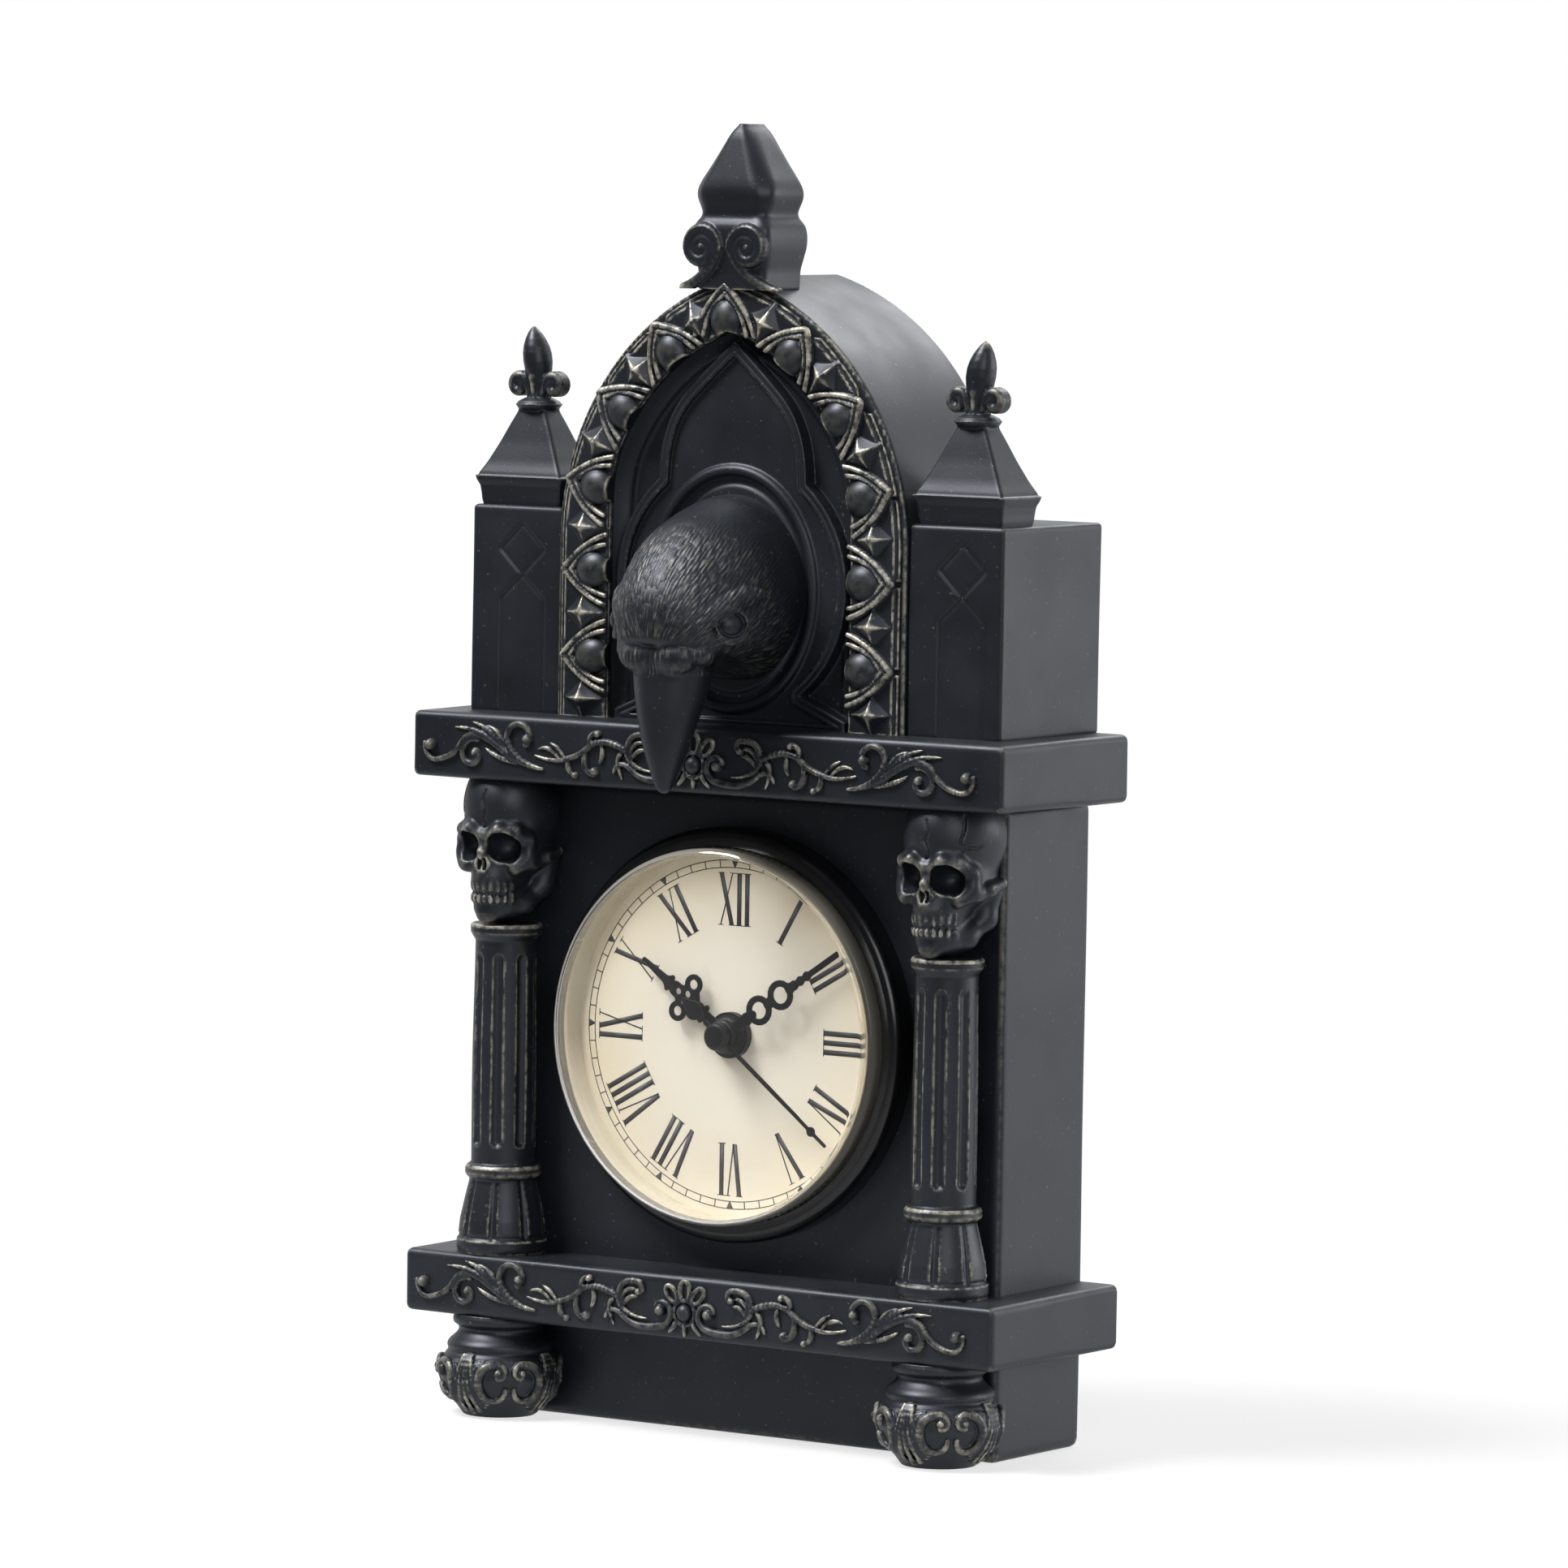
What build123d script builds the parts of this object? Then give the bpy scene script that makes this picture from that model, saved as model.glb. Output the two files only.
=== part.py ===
"""Gothic table clock: a cast case with a raven's head over a battery-driven dial insert.

Millimetres. X runs to the right, the front faces -Y and Z is up.
The origin is the centre of the plinth's underside.
"""

import os
from math import acos, cos, pi, radians, sin, sqrt

from build123d import *

os.makedirs("parts", exist_ok=True)

# Case box and its two ledges
BODY_WIDTH = 119.0
BODY_DEPTH = 30.4
BODY_ROUND = 3.0
PLINTH_HEIGHT = 19.5
LOWER_LEDGE_HEIGHT = 12.3
PANEL_HEIGHT = 91.6
UPPER_LEDGE_HEIGHT = 12.9
LEDGE_SIDE = 8.0
LEDGE_REACH = 14.5
LEDGE_ROUND = 2.2
LEDGE_EDGE = 0.6

# Gothic hood: a pointed arch, its roll moulding, its ornament band and its niche
HOOD_WIDTH = 79.4
HOOD_DEPTH = 35.9
HOOD_SPRING = 33.7
HOOD_RISE = 51.5
RIM_WIDTH = 2.0
BAND_WIDTH = 10.2
BAND_SHEET = 0.9
BAND_GAP = 0.4
BEAD_COUNT = 11
BEAD_RADIUS = 3.6
BEAD_HEIGHT = 2.4
STUD_SIZE = 4.6
STUD_HEIGHT = 2.2
STUD_ANGLE = 44.0
END_STUD_RISE = 3.0
NICHE_DEPTH = 5.0
NICHE_SHEET = 1.5
NICHE_CLEARANCE = 0.1

# Keyhole plate on the niche panel, its raised rim and the oval ring round the neck
KEYHOLE_HEIGHT = 2.5
TRACERY_WIDTH = 2.2
TRACERY_HEIGHT = 1.0
TRACERY_GAP = 0.7
TRACERY_CROWN_DROP = 5.8

# Keyhole outline: distance in from the niche's side, rise from the deck
TRACERY_LANCET = (10.8, 51.2)
TRACERY_WAIST = (10.7, 45.1)
TRACERY_LOBE = (1.1, 25.7)
TRACERY_FOOT = (11.6, 5.9)
TRACERY_FLICK = (1.1, 1.8)
RING_WIDTH = 2.3
RING_RISE = 25.7
RING_HALF_HEIGHT = 21.5
NECK_CLEARANCE = 1.3

# Raven head: half width, half depth, tilt from straight ahead, reach from the plate, rise from the deck
NECK_HALF_WIDTH = 16.0
NECK_HALF_HEIGHT = 18.0
NECK_RISE = 25.7
RAVEN_SECTIONS = (
    (16.0, 17.6, 8.0, 3.5, 25.2),
    (15.6, 16.8, 28.0, 10.0, 22.7),
    (13.8, 14.6, 55.0, 15.5, 18.2),
    (10.4, 10.2, 75.0, 18.8, 13.2),
    (7.7, 6.8, 82.0, 19.8, 9.7),
    (5.2, 4.7, 82.0, 21.2, 1.2),
    (2.9, 2.9, 83.0, 21.9, -6.3),
    (0.7, 0.8, 84.0, 22.1, -12.2),
)
TENON_WIDTH = 24.0
TENON_HEIGHT = 28.0
TENON_DEPTH = 4.0
TENON_CLEARANCE = 0.15

# Square pillars beside the hood, with an incised diamond over a lancet
PILLAR_OVERHANG = 1.2
PILLAR_DEPTH = 35.2
PILLAR_HEIGHT = 39.7
INCISED_HALF = 5.0
INCISED_DEPTH = 0.5
INCISED_SHIFT = 0.9
DIAMOND_TALL = 9.6
DIAMOND_DROP = 4.4
LANCET_SHOULDER = 4.6
LANCET_GAP = 0.6

# Spires: a cornice, a flared roof, a collar and a fleur-de-lis bud
SPIRE_MARGIN = 0.2
SPIRE_DEPTH = 13.8
CORNICE_HEIGHT = 4.8
CORNICE_UNDERCUT = 1.1
CORNICE_LIP = 0.8
ROOF_HEIGHT = 12.8
ROOF_FLARE = (0.58, 0.26)
NECK_WIDTH = 7.0
NECK_DEPTH = 6.0
COLLAR_HEIGHT = 1.6
COLLAR_LIP = 0.6
BUD_HEIGHT = 14.5
BUD_RADIUS = 2.9
SCROLL_RADIUS = 1.9
SCROLL_WIDTH = 3.0
SCROLL_REACH = 5.4
SCROLL_RISE = 3.6

# Top finial: a drum astride the hood's ridge, a faceted bulb and two volutes in front
FINIAL_WIDTH = 17.0
FINIAL_DEPTH = 14.4
FINIAL_SETBACK = 4.9
FINIAL_FOOT = 0.8
DRUM_BULGE = 1.0
DRUM_HEIGHT = 10.7
FINIAL_NECK = 0.66
BULB_BELT = 4.4
BULB_HEIGHT = 13.4
RIDGE_WIDTH = 1.2
RIDGE_LENGTH = 7.4
VOLUTE_SPREAD = 5.6
VOLUTE_RADIUS = 4.4
VOLUTE_TUBE = 1.2
VOLUTE_DROP = 6.0
VOLUTE_STEM = 3.0

# Half columns, the skulls on them and the bun feet below them
COLUMN_INSET = 8.9
COLUMN_STAND = 5.7
SHAFT_RADIUS = 6.2
BASE_RADIUS = 8.8
BASE_HEIGHT = 14.0
BASE_FOOT = 2.2
ANNULET_HEIGHT = 1.6
ANNULET_LIP = 0.9
CAP_HEIGHT = 2.5
CAP_LIP = 0.7
FLUTE_COUNT = 8
FLUTE_RADIUS = 1.0
FLUTE_DEPTH = 0.6
FLUTE_MARGIN = 4.0
SKULL_HEIGHT = 27.9
SKULL_SECTIONS = (
    (0.00, 4.2, 4.4, 6.0),
    (0.12, 5.6, 5.6, 5.4),
    (0.30, 6.2, 6.0, 5.6),
    (0.44, 8.2, 7.6, 6.0),
    (0.60, 9.0, 8.6, 5.4),
    (0.78, 9.1, 8.6, 5.2),
    (1.00, 8.6, 8.2, 4.4),
)
SOCKET_RADIUS = 2.9
SOCKET_SPREAD = 4.1
SOCKET_RISE = 0.59
NOSE_RADIUS = 1.6
NOSE_RISE = 0.44
FOOT_HEIGHT = 14.2
FOOT_SECTIONS = ((0.0, 8.6), (0.3, 11.2), (0.62, 12.0), (0.85, 10.8), (1.0, 8.8))
SPOOL_RADIUS = 8.6
SPOOL_WAIST = 6.8

# Dial insert: bezel, lens, plate, printed dial and hands
DIAL_RISE = 45.2
BEZEL_RADIUS = 39.7
BEZEL_HEIGHT = 5.4
BEZEL_LAND = 1.6
LENS_RADIUS = 36.0
LENS_WALL = 1.2
LENS_ROUND = 1.0
LENS_GAP = 0.4
INSERT_CLEARANCE = 0.1
DIAL_PLATE_SHEET = 2.3
DIAL_SHEET = 0.8
NUT_RADIUS = 4.4
NUT_HEIGHT = 1.6
HAND_SHEET = 0.4
HAND_GAP = 0.2
HOUR_HUB_RADIUS = 3.8
HOUR_HUB_HEIGHT = 1.0
MINUTE_HUB_RADIUS = 3.2
MINUTE_HUB_HEIGHT = 1.2
SECOND_CAP_RADIUS = 2.95
SECOND_CAP_HEIGHT = 2.0
HOUR_HAND_LENGTH = 23.6
MINUTE_HAND_LENGTH = 31.0
SECOND_HAND_LENGTH = 31.0
SECOND_TAIL_LENGTH = 11.0
TIME_HOURS = 10.0
TIME_MINUTES = 9.0
TIME_SECONDS = 21.3

# Movement: case, shafts and gear train
PANEL_SHEET = 5.0
WASHER_SHEET = 1.0
WASHER_RADIUS = 9.0
CASE_WALL = 1.5
SHAFT_TO_TOP = 21.0
SHAFT_TO_BAY = 17.0
POCKET_MARGIN = 2.5
BUSH_RADIUS = 3.95
HOUR_PIPE_RADIUS = 2.55
MINUTE_PIPE_RADIUS = 1.5
SECOND_ARBOR_RADIUS = 0.5
PIVOT_RADIUS = 0.5
PIVOT_DEPTH = 0.8
SETTING_ARBOR_RADIUS = 1.0
RUNNING_CLEARANCE = 0.05
PRESS_CLEARANCE = 0.01
BUSH_CLEARANCE = 0.15
WHEEL_SHEET = 0.8
LAYER_GAP = 0.5
BRIDGE_SHEET = 1.0
REAR_SPACE = 1.9
THIRD_DISTANCE = 12.24
INTERMEDIATE_OUTSET = 0.72
MOTION_OUTSET = 2.16
ROTOR_DISTANCE = 8.4
THIRD_ANGLE = 180.0
INTERMEDIATE_ANGLE = 60.0
ROTOR_ANGLE = 155.0
MOTION_ANGLE = 0.0
MAGNET_RADIUS = 2.4
MAGNET_CLEARANCE = 0.4
STATOR_SHEET = 1.0
STATOR_MARGIN = 1.2
STATOR_BAR = 2.0
STATOR_LENGTH = 20.0
COIL_RADIUS = 2.8
COIL_CORE = 2.2
COIL_LENGTH = 11.0
COIL_FLANGE = 0.8
POST_RADIUS = 1.6
POST_INSET = 3.4
STUB_RADIUS = 0.8
KNOB_RADIUS = 5.0
KNOB_HEIGHT = 4.0
KNOB_GAP = 0.4
BOARD_WIDTH = 17.0
BOARD_HEIGHT = 11.0
BOARD_SHEET = 1.0
CRYSTAL_RADIUS = 1.0
CRYSTAL_LENGTH = 6.0
BATTERY_LENGTH = 50.5
BATTERY_RADIUS = 7.1
NUB_RADIUS = 2.75
NUB_LENGTH = 1.3
BAY_CLEARANCE = 0.4
CONTACT_SHEET = 0.4
CONTACT_REACH = 1.25
CONTACT_GAP = 0.1
CONTACT_WIDTH = 8.0
CONTACT_PAD = 3.0

# Tooth counts of the gear pairs, driver first
ROTOR_TEETH = 8
INTERMEDIATE_TEETH = 48
INTERMEDIATE_PINION = 12
SECOND_TEETH = 60
SECOND_PINION = 8
THIRD_TEETH = 60
THIRD_PINION = 8
CENTRE_TEETH = 64
CANNON_TEETH = 12
MINUTE_TEETH = 36
MINUTE_PINION = 10
HOUR_TEETH = 40
ADDENDUM = 0.85
DEDENDUM = 1.15
TOOTH_TIP = 0.18
TOOTH_ROOT = 0.44

# Heights and depths that follow from the driving sizes
BACK_Y = BODY_DEPTH / 2
FRONT_Y = -BODY_DEPTH / 2
LEDGE_FRONT_Y = FRONT_Y - LEDGE_REACH
LEDGE_WIDTH = BODY_WIDTH + 2 * LEDGE_SIDE
PANEL_Z = PLINTH_HEIGHT + LOWER_LEDGE_HEIGHT
UPPER_Z = PANEL_Z + PANEL_HEIGHT
DECK_Z = UPPER_Z + UPPER_LEDGE_HEIGHT
DIAL_Z = PANEL_Z + DIAL_RISE
HAND_AXIS = Axis((0, 0, DIAL_Z), (0, 1, 0))
DIAL_PLANE = Plane.XY.offset(DIAL_Z)


def front(y):
    """Sketch plane at depth y that faces the viewer, with local axes X and Z."""
    return Plane.XZ.offset(-y)


def save(builder, name):
    """Label a finished piece and write it."""
    builder.part.label = name
    export_step(builder.part, f"parts/{name}.step")


def rod(centre, radius, y_front, y_back, mode=Mode.ADD):
    """Round bar or bore along Y between two depths."""
    with BuildSketch(front(y_front)) as disc:
        with Locations(centre):
            Circle(radius)
    extrude(disc.sketch, amount=y_front - y_back, mode=mode)


def slab(centre, size, y_front, y_back, mode=Mode.ADD):
    """Rectangular bar or cut along Y between two depths."""
    with BuildSketch(front(y_front)) as block:
        with Locations(centre):
            Rectangle(*size)
    extrude(block.sketch, amount=y_front - y_back, mode=mode)


# Movement depths, from the dial panel backwards
POCKET_FLOOR_Y = FRONT_Y + PANEL_SHEET
MOVEMENT_FRONT_Y = POCKET_FLOOR_Y + WASHER_SHEET
TRAIN_FRONT_Y = MOVEMENT_FRONT_Y + CASE_WALL
HOUR_Y = TRAIN_FRONT_Y + LAYER_GAP
MINUTE_Y = HOUR_Y + WHEEL_SHEET + LAYER_GAP
BRIDGE_Y = MINUTE_Y + WHEEL_SHEET + LAYER_GAP
SPLIT_Y = BRIDGE_Y + BRIDGE_SHEET
CENTRE_Y = SPLIT_Y + LAYER_GAP
THIRD_Y = CENTRE_Y + WHEEL_SHEET + 2 * LAYER_GAP
SECOND_Y = THIRD_Y + WHEEL_SHEET + LAYER_GAP
STATOR_Y = SECOND_Y + WHEEL_SHEET + LAYER_GAP
INTERMEDIATE_Y = STATOR_Y + STATOR_SHEET + LAYER_GAP
TRAIN_BACK_Y = INTERMEDIATE_Y + WHEEL_SHEET + REAR_SPACE
MOVEMENT_BACK_Y = TRAIN_BACK_Y + CASE_WALL
PIVOT_BACK_Y = TRAIN_BACK_Y + PIVOT_DEPTH

# Dial and hand depths, from the dial panel forwards
PLATE_FRONT_Y = FRONT_Y - DIAL_PLATE_SHEET
DIAL_FRONT_Y = PLATE_FRONT_Y - DIAL_SHEET
NUT_FRONT_Y = DIAL_FRONT_Y - NUT_HEIGHT
HOUR_HUB_Y = NUT_FRONT_Y - HAND_GAP
HOUR_FRONT_Y = HOUR_HUB_Y - HOUR_HUB_HEIGHT
MINUTE_HUB_Y = HOUR_FRONT_Y - HAND_GAP
MINUTE_FRONT_Y = MINUTE_HUB_Y - MINUTE_HUB_HEIGHT
SECOND_CAP_Y = MINUTE_FRONT_Y - HAND_GAP
SECOND_FRONT_Y = SECOND_CAP_Y - SECOND_CAP_HEIGHT
LENS_BACK_Y = SECOND_FRONT_Y - LENS_GAP
LENS_FRONT_Y = LENS_BACK_Y - LENS_WALL

# Movement outline: the battery sets its width, the train and the battery bay set its height
BAY_WIDTH = BATTERY_LENGTH + 2 * CONTACT_REACH
BAY_HEIGHT = 2 * (BATTERY_RADIUS + BAY_CLEARANCE)
MOVEMENT_WIDTH = BAY_WIDTH + 2 * CASE_WALL
MOVEMENT_TOP_Z = DIAL_Z + SHAFT_TO_TOP
BAY_TOP_Z = DIAL_Z - SHAFT_TO_BAY - CASE_WALL
BAY_BOTTOM_Z = BAY_TOP_Z - BAY_HEIGHT
MOVEMENT_BOTTOM_Z = BAY_BOTTOM_Z - CASE_WALL
MOVEMENT_HEIGHT = MOVEMENT_TOP_Z - MOVEMENT_BOTTOM_Z
MOVEMENT_Z = (MOVEMENT_TOP_Z + MOVEMENT_BOTTOM_Z) / 2
TRAIN_TOP_Z = MOVEMENT_TOP_Z - CASE_WALL
TRAIN_BOTTOM_Z = BAY_TOP_Z + CASE_WALL
TRAIN_Z = (TRAIN_TOP_Z + TRAIN_BOTTOM_Z) / 2
TRAIN_HEIGHT = TRAIN_TOP_Z - TRAIN_BOTTOM_Z
BATTERY_Y = TRAIN_FRONT_Y + BAY_CLEARANCE + BATTERY_RADIUS
BATTERY_Z = (BAY_TOP_Z + BAY_BOTTOM_Z) / 2

# Case box with the open pocket for the movement at its back
with BuildPart() as case_body:
    with BuildSketch():
        Rectangle(BODY_WIDTH, BODY_DEPTH)
    extrude(amount=UPPER_Z)
    fillet(case_body.edges().filter_by(Axis.Z).group_by(Axis.Y)[-1], BODY_ROUND)
    slab(
        (0, MOVEMENT_Z),
        (MOVEMENT_WIDTH + 2 * POCKET_MARGIN, MOVEMENT_HEIGHT + 2 * POCKET_MARGIN),
        POCKET_FLOOR_Y,
        BACK_Y,
        mode=Mode.SUBTRACT,
    )
    rod((0, DIAL_Z), BUSH_RADIUS + BUSH_CLEARANCE, FRONT_Y, POCKET_FLOOR_Y, mode=Mode.SUBTRACT)
save(case_body, "case_body")

# Ledges: the lower one wraps the body on three sides, the upper one caps it
LEDGE_MID_Y = (BACK_Y + LEDGE_FRONT_Y) / 2
LEDGE_DEPTH = BACK_Y - LEDGE_FRONT_Y
for name, ledge_z, ledge_height, wraps in (
    ("lower_ledge", PLINTH_HEIGHT, LOWER_LEDGE_HEIGHT, True),
    ("upper_ledge", UPPER_Z, UPPER_LEDGE_HEIGHT, False),
):
    with BuildPart() as ledge:
        with BuildSketch(Plane.XY.offset(ledge_z)):
            with Locations((0, LEDGE_MID_Y)):
                Rectangle(LEDGE_WIDTH, LEDGE_DEPTH)
        extrude(amount=ledge_height)
        fillet(ledge.edges().filter_by(Axis.Z), LEDGE_ROUND)
        fillet(ledge.faces().filter_by(Axis.Z).edges(), LEDGE_EDGE)
        if wraps:
            with BuildSketch(Plane.XY.offset(ledge_z)):
                with Locations((0, BACK_Y)):
                    Rectangle(BODY_WIDTH, 2 * BODY_DEPTH)
            extrude(amount=ledge_height, mode=Mode.SUBTRACT)
    save(ledge, name)

# Pointed arch: two arcs struck from centres past the middle
SPRING_Z = DECK_Z + HOOD_SPRING
HOOD_FRONT_Y = BACK_Y - HOOD_DEPTH
HOOD_HALF = HOOD_WIDTH / 2
ARCH_OFFSET = (HOOD_RISE**2 - HOOD_HALF**2) / (2 * HOOD_HALF)
ARCH_RADIUS = HOOD_HALF + ARCH_OFFSET


def arch_apex(inset):
    """Height of the arch's point for an outline set in from the outer one."""
    return SPRING_Z + sqrt((ARCH_RADIUS - inset) ** 2 - ARCH_OFFSET**2)


def arch_outline(inset, base_z):
    """Face of the pointed arch, set in evenly from the hood's outer line."""
    half = HOOD_HALF - inset
    radius = ARCH_RADIUS - inset
    apex = arch_apex(inset)
    middle = acos(ARCH_OFFSET / radius) / 2
    crown_x = radius * cos(middle) - ARCH_OFFSET
    crown_z = SPRING_Z + radius * sin(middle)
    with BuildLine() as outline:
        Polyline((-half, SPRING_Z), (-half, base_z), (half, base_z), (half, SPRING_Z))
        ThreePointArc((half, SPRING_Z), (crown_x, crown_z), (0, apex))
        ThreePointArc((0, apex), (-crown_x, crown_z), (-half, SPRING_Z))
    make_face(outline.edges())


NICHE_INSET = RIM_WIDTH + BAND_WIDTH
NICHE_FLOOR_Y = HOOD_FRONT_Y + NICHE_DEPTH
NICHE_FRONT_Y = NICHE_FLOOR_Y - NICHE_SHEET
KEYHOLE_FRONT_Y = NICHE_FRONT_Y - KEYHOLE_HEIGHT
NECK_Z = DECK_Z + NECK_RISE

with BuildPart() as arch_hood:
    with BuildSketch(front(HOOD_FRONT_Y)):
        arch_outline(0, DECK_Z)
    extrude(amount=-HOOD_DEPTH)
    with BuildSketch(front(HOOD_FRONT_Y)):
        arch_outline(NICHE_INSET, DECK_Z)
    extrude(amount=-NICHE_DEPTH, mode=Mode.SUBTRACT)
    with BuildSketch(front(NICHE_FLOOR_Y)):
        with Locations((0, NECK_Z)):
            Ellipse(TENON_WIDTH / 2 + TENON_CLEARANCE, TENON_HEIGHT / 2 + TENON_CLEARANCE)
    extrude(amount=-TENON_DEPTH, mode=Mode.SUBTRACT)
save(arch_hood, "arch_hood")

# Ornament band: a strip round the arch that carries beads and four-sided studs
BAND_MIDDLE = RIM_WIDTH + BAND_WIDTH / 2
BAND_RADIUS = ARCH_RADIUS - BAND_MIDDLE
BAND_ARC = acos(ARCH_OFFSET / BAND_RADIUS)
BAND_LENGTH = HOOD_SPRING + BAND_RADIUS * BAND_ARC
BAND_PITCH = (BAND_LENGTH - END_STUD_RISE) / BEAD_COUNT


def band_place(step):
    """Place on the band's middle line, counted in pitches from the apex, positive to the right."""
    side = -1 if step < 0 else 1
    rise = BAND_LENGTH - abs(step) * BAND_PITCH
    if rise < HOOD_SPRING:
        return side * (HOOD_HALF - BAND_MIDDLE), DECK_Z + rise
    turn = (rise - HOOD_SPRING) / BAND_RADIUS
    return side * (BAND_RADIUS * cos(turn) - ARCH_OFFSET), SPRING_Z + BAND_RADIUS * sin(turn)


STEPS = range(-BEAD_COUNT, BEAD_COUNT + 1)
BEAD_PLACES = [band_place(step) for step in STEPS if step % 2 == 0]
STUD_PLACES = [band_place(step) for step in STEPS if step % 2 == 1]
BAND_FRONT_Y = HOOD_FRONT_Y - BAND_SHEET
BEAD_SPHERE = (BEAD_RADIUS**2 + BEAD_HEIGHT**2) / (2 * BEAD_HEIGHT)
BEAD_Y = BAND_FRONT_Y - BEAD_HEIGHT + BEAD_SPHERE
with BuildPart() as arch_trim:
    with BuildSketch(front(HOOD_FRONT_Y)):
        arch_outline(RIM_WIDTH + BAND_GAP, DECK_Z)
    extrude(amount=BAND_SHEET)
    with BuildSketch(front(HOOD_FRONT_Y)):
        arch_outline(NICHE_INSET - BAND_GAP, DECK_Z)
    extrude(amount=BAND_SHEET, mode=Mode.SUBTRACT)
    with BuildSketch(front(BAND_FRONT_Y)):
        with Locations(*STUD_PLACES):
            Rectangle(STUD_SIZE, STUD_SIZE, rotation=45)
    extrude(amount=STUD_HEIGHT, taper=STUD_ANGLE)
    for x, z in BEAD_PLACES:
        with Locations((x, BEAD_Y, z)):
            Sphere(BEAD_SPHERE)
    split(bisect_by=front(HOOD_FRONT_Y), keep=Keep.TOP)
save(arch_trim, "arch_trim")

# Niche panel: the keyhole plate with its rim, and the raised oval ring
NICHE_HALF = HOOD_HALF - NICHE_INSET
TRACERY_INSET = NICHE_INSET + TRACERY_GAP
TRACERY_APEX_Z = arch_apex(TRACERY_INSET)
TRACERY_CROWN_Z = TRACERY_APEX_Z - TRACERY_CROWN_DROP
TRACERY_CROWN_X = sqrt((ARCH_RADIUS - TRACERY_INSET) ** 2 - (TRACERY_CROWN_Z - SPRING_Z) ** 2) - ARCH_OFFSET
with BuildPart() as niche_panel:
    with BuildSketch(front(NICHE_FLOOR_Y)):
        arch_outline(NICHE_INSET + NICHE_CLEARANCE, DECK_Z)
    extrude(amount=NICHE_SHEET)
    with BuildSketch(front(NICHE_FRONT_Y)) as keyhole:
        with BuildLine():
            for side in (1, -1):
                apex = (0, TRACERY_APEX_Z)
                crown = (side * TRACERY_CROWN_X, TRACERY_CROWN_Z)
                lancet, waist, lobe, foot, flick = [
                    (side * (NICHE_HALF - inset), DECK_Z + rise)
                    for inset, rise in (
                        TRACERY_LANCET,
                        TRACERY_WAIST,
                        TRACERY_LOBE,
                        TRACERY_FOOT,
                        TRACERY_FLICK,
                    )
                ]
                ThreePointArc(apex, crown, lancet)
                Line(lancet, waist)
                ThreePointArc(waist, lobe, foot)
                Polyline(foot, flick, (flick[0], DECK_Z), (0, DECK_Z))
        make_face()
    extrude(amount=KEYHOLE_HEIGHT + TRACERY_HEIGHT)
    with BuildSketch(front(KEYHOLE_FRONT_Y)):
        add(keyhole.sketch_local)
        offset(amount=-TRACERY_WIDTH, kind=Kind.INTERSECTION, mode=Mode.REPLACE)
    extrude(amount=TRACERY_HEIGHT, mode=Mode.SUBTRACT)
    ring_centre = (0, DECK_Z + RING_RISE)
    ring_half = NECK_HALF_WIDTH + NECK_CLEARANCE
    with BuildSketch(front(KEYHOLE_FRONT_Y)):
        with Locations(ring_centre):
            Ellipse(ring_half + RING_WIDTH, RING_HALF_HEIGHT + RING_WIDTH)
            Ellipse(ring_half, RING_HALF_HEIGHT, mode=Mode.SUBTRACT)
    extrude(amount=TRACERY_HEIGHT)
    with BuildSketch(front(NICHE_FLOOR_Y)):
        with Locations((0, NECK_Z)):
            Ellipse(TENON_WIDTH / 2 + TENON_CLEARANCE, TENON_HEIGHT / 2 + TENON_CLEARANCE)
    extrude(amount=NICHE_SHEET + KEYHOLE_HEIGHT, mode=Mode.SUBTRACT)
save(niche_panel, "niche_panel")

# Raven head: sections that lean from straight ahead at the neck to straight down at the beak
with BuildPart() as raven_head:
    with BuildSketch(front(KEYHOLE_FRONT_Y)):
        with Locations((0, NECK_Z)):
            Ellipse(NECK_HALF_WIDTH, NECK_HALF_HEIGHT)
    for half_width, half_depth, tilt, reach, rise in RAVEN_SECTIONS:
        lean = radians(tilt)
        section_plane = Plane(
            origin=(0, KEYHOLE_FRONT_Y - reach, DECK_Z + rise),
            x_dir=(1, 0, 0),
            z_dir=(0, -cos(lean), -sin(lean)),
        )
        with BuildSketch(section_plane):
            Ellipse(half_width, half_depth)
    loft()
    with BuildSketch(front(KEYHOLE_FRONT_Y)):
        with Locations((0, NECK_Z)):
            Ellipse(TENON_WIDTH / 2, TENON_HEIGHT / 2)
    extrude(amount=-(KEYHOLE_HEIGHT + NICHE_SHEET + TENON_DEPTH))
save(raven_head, "raven_head")

# Pillars and their spires, left and right
PILLAR_WIDTH = BODY_WIDTH / 2 + PILLAR_OVERHANG - HOOD_HALF
SPIRE_WIDTH = PILLAR_WIDTH - 2 * SPIRE_MARGIN
PILLAR_X = HOOD_HALF + PILLAR_WIDTH / 2
PILLAR_FRONT_Y = BACK_Y - PILLAR_DEPTH
PILLAR_TOP_Z = DECK_Z + PILLAR_HEIGHT
DIAMOND_Z = PILLAR_TOP_Z - DIAMOND_DROP - DIAMOND_TALL / 2
LANCET_APEX_Z = DIAMOND_Z - DIAMOND_TALL / 2 - LANCET_GAP
SPIRE_Y = PILLAR_FRONT_Y + SPIRE_DEPTH / 2
CORNICE_TOP_Z = PILLAR_TOP_Z + CORNICE_HEIGHT
LIP_TOP_Z = CORNICE_TOP_Z + CORNICE_LIP
ROOF_TOP_Z = LIP_TOP_Z + ROOF_HEIGHT
COLLAR_TOP_Z = ROOF_TOP_Z + COLLAR_HEIGHT
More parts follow.
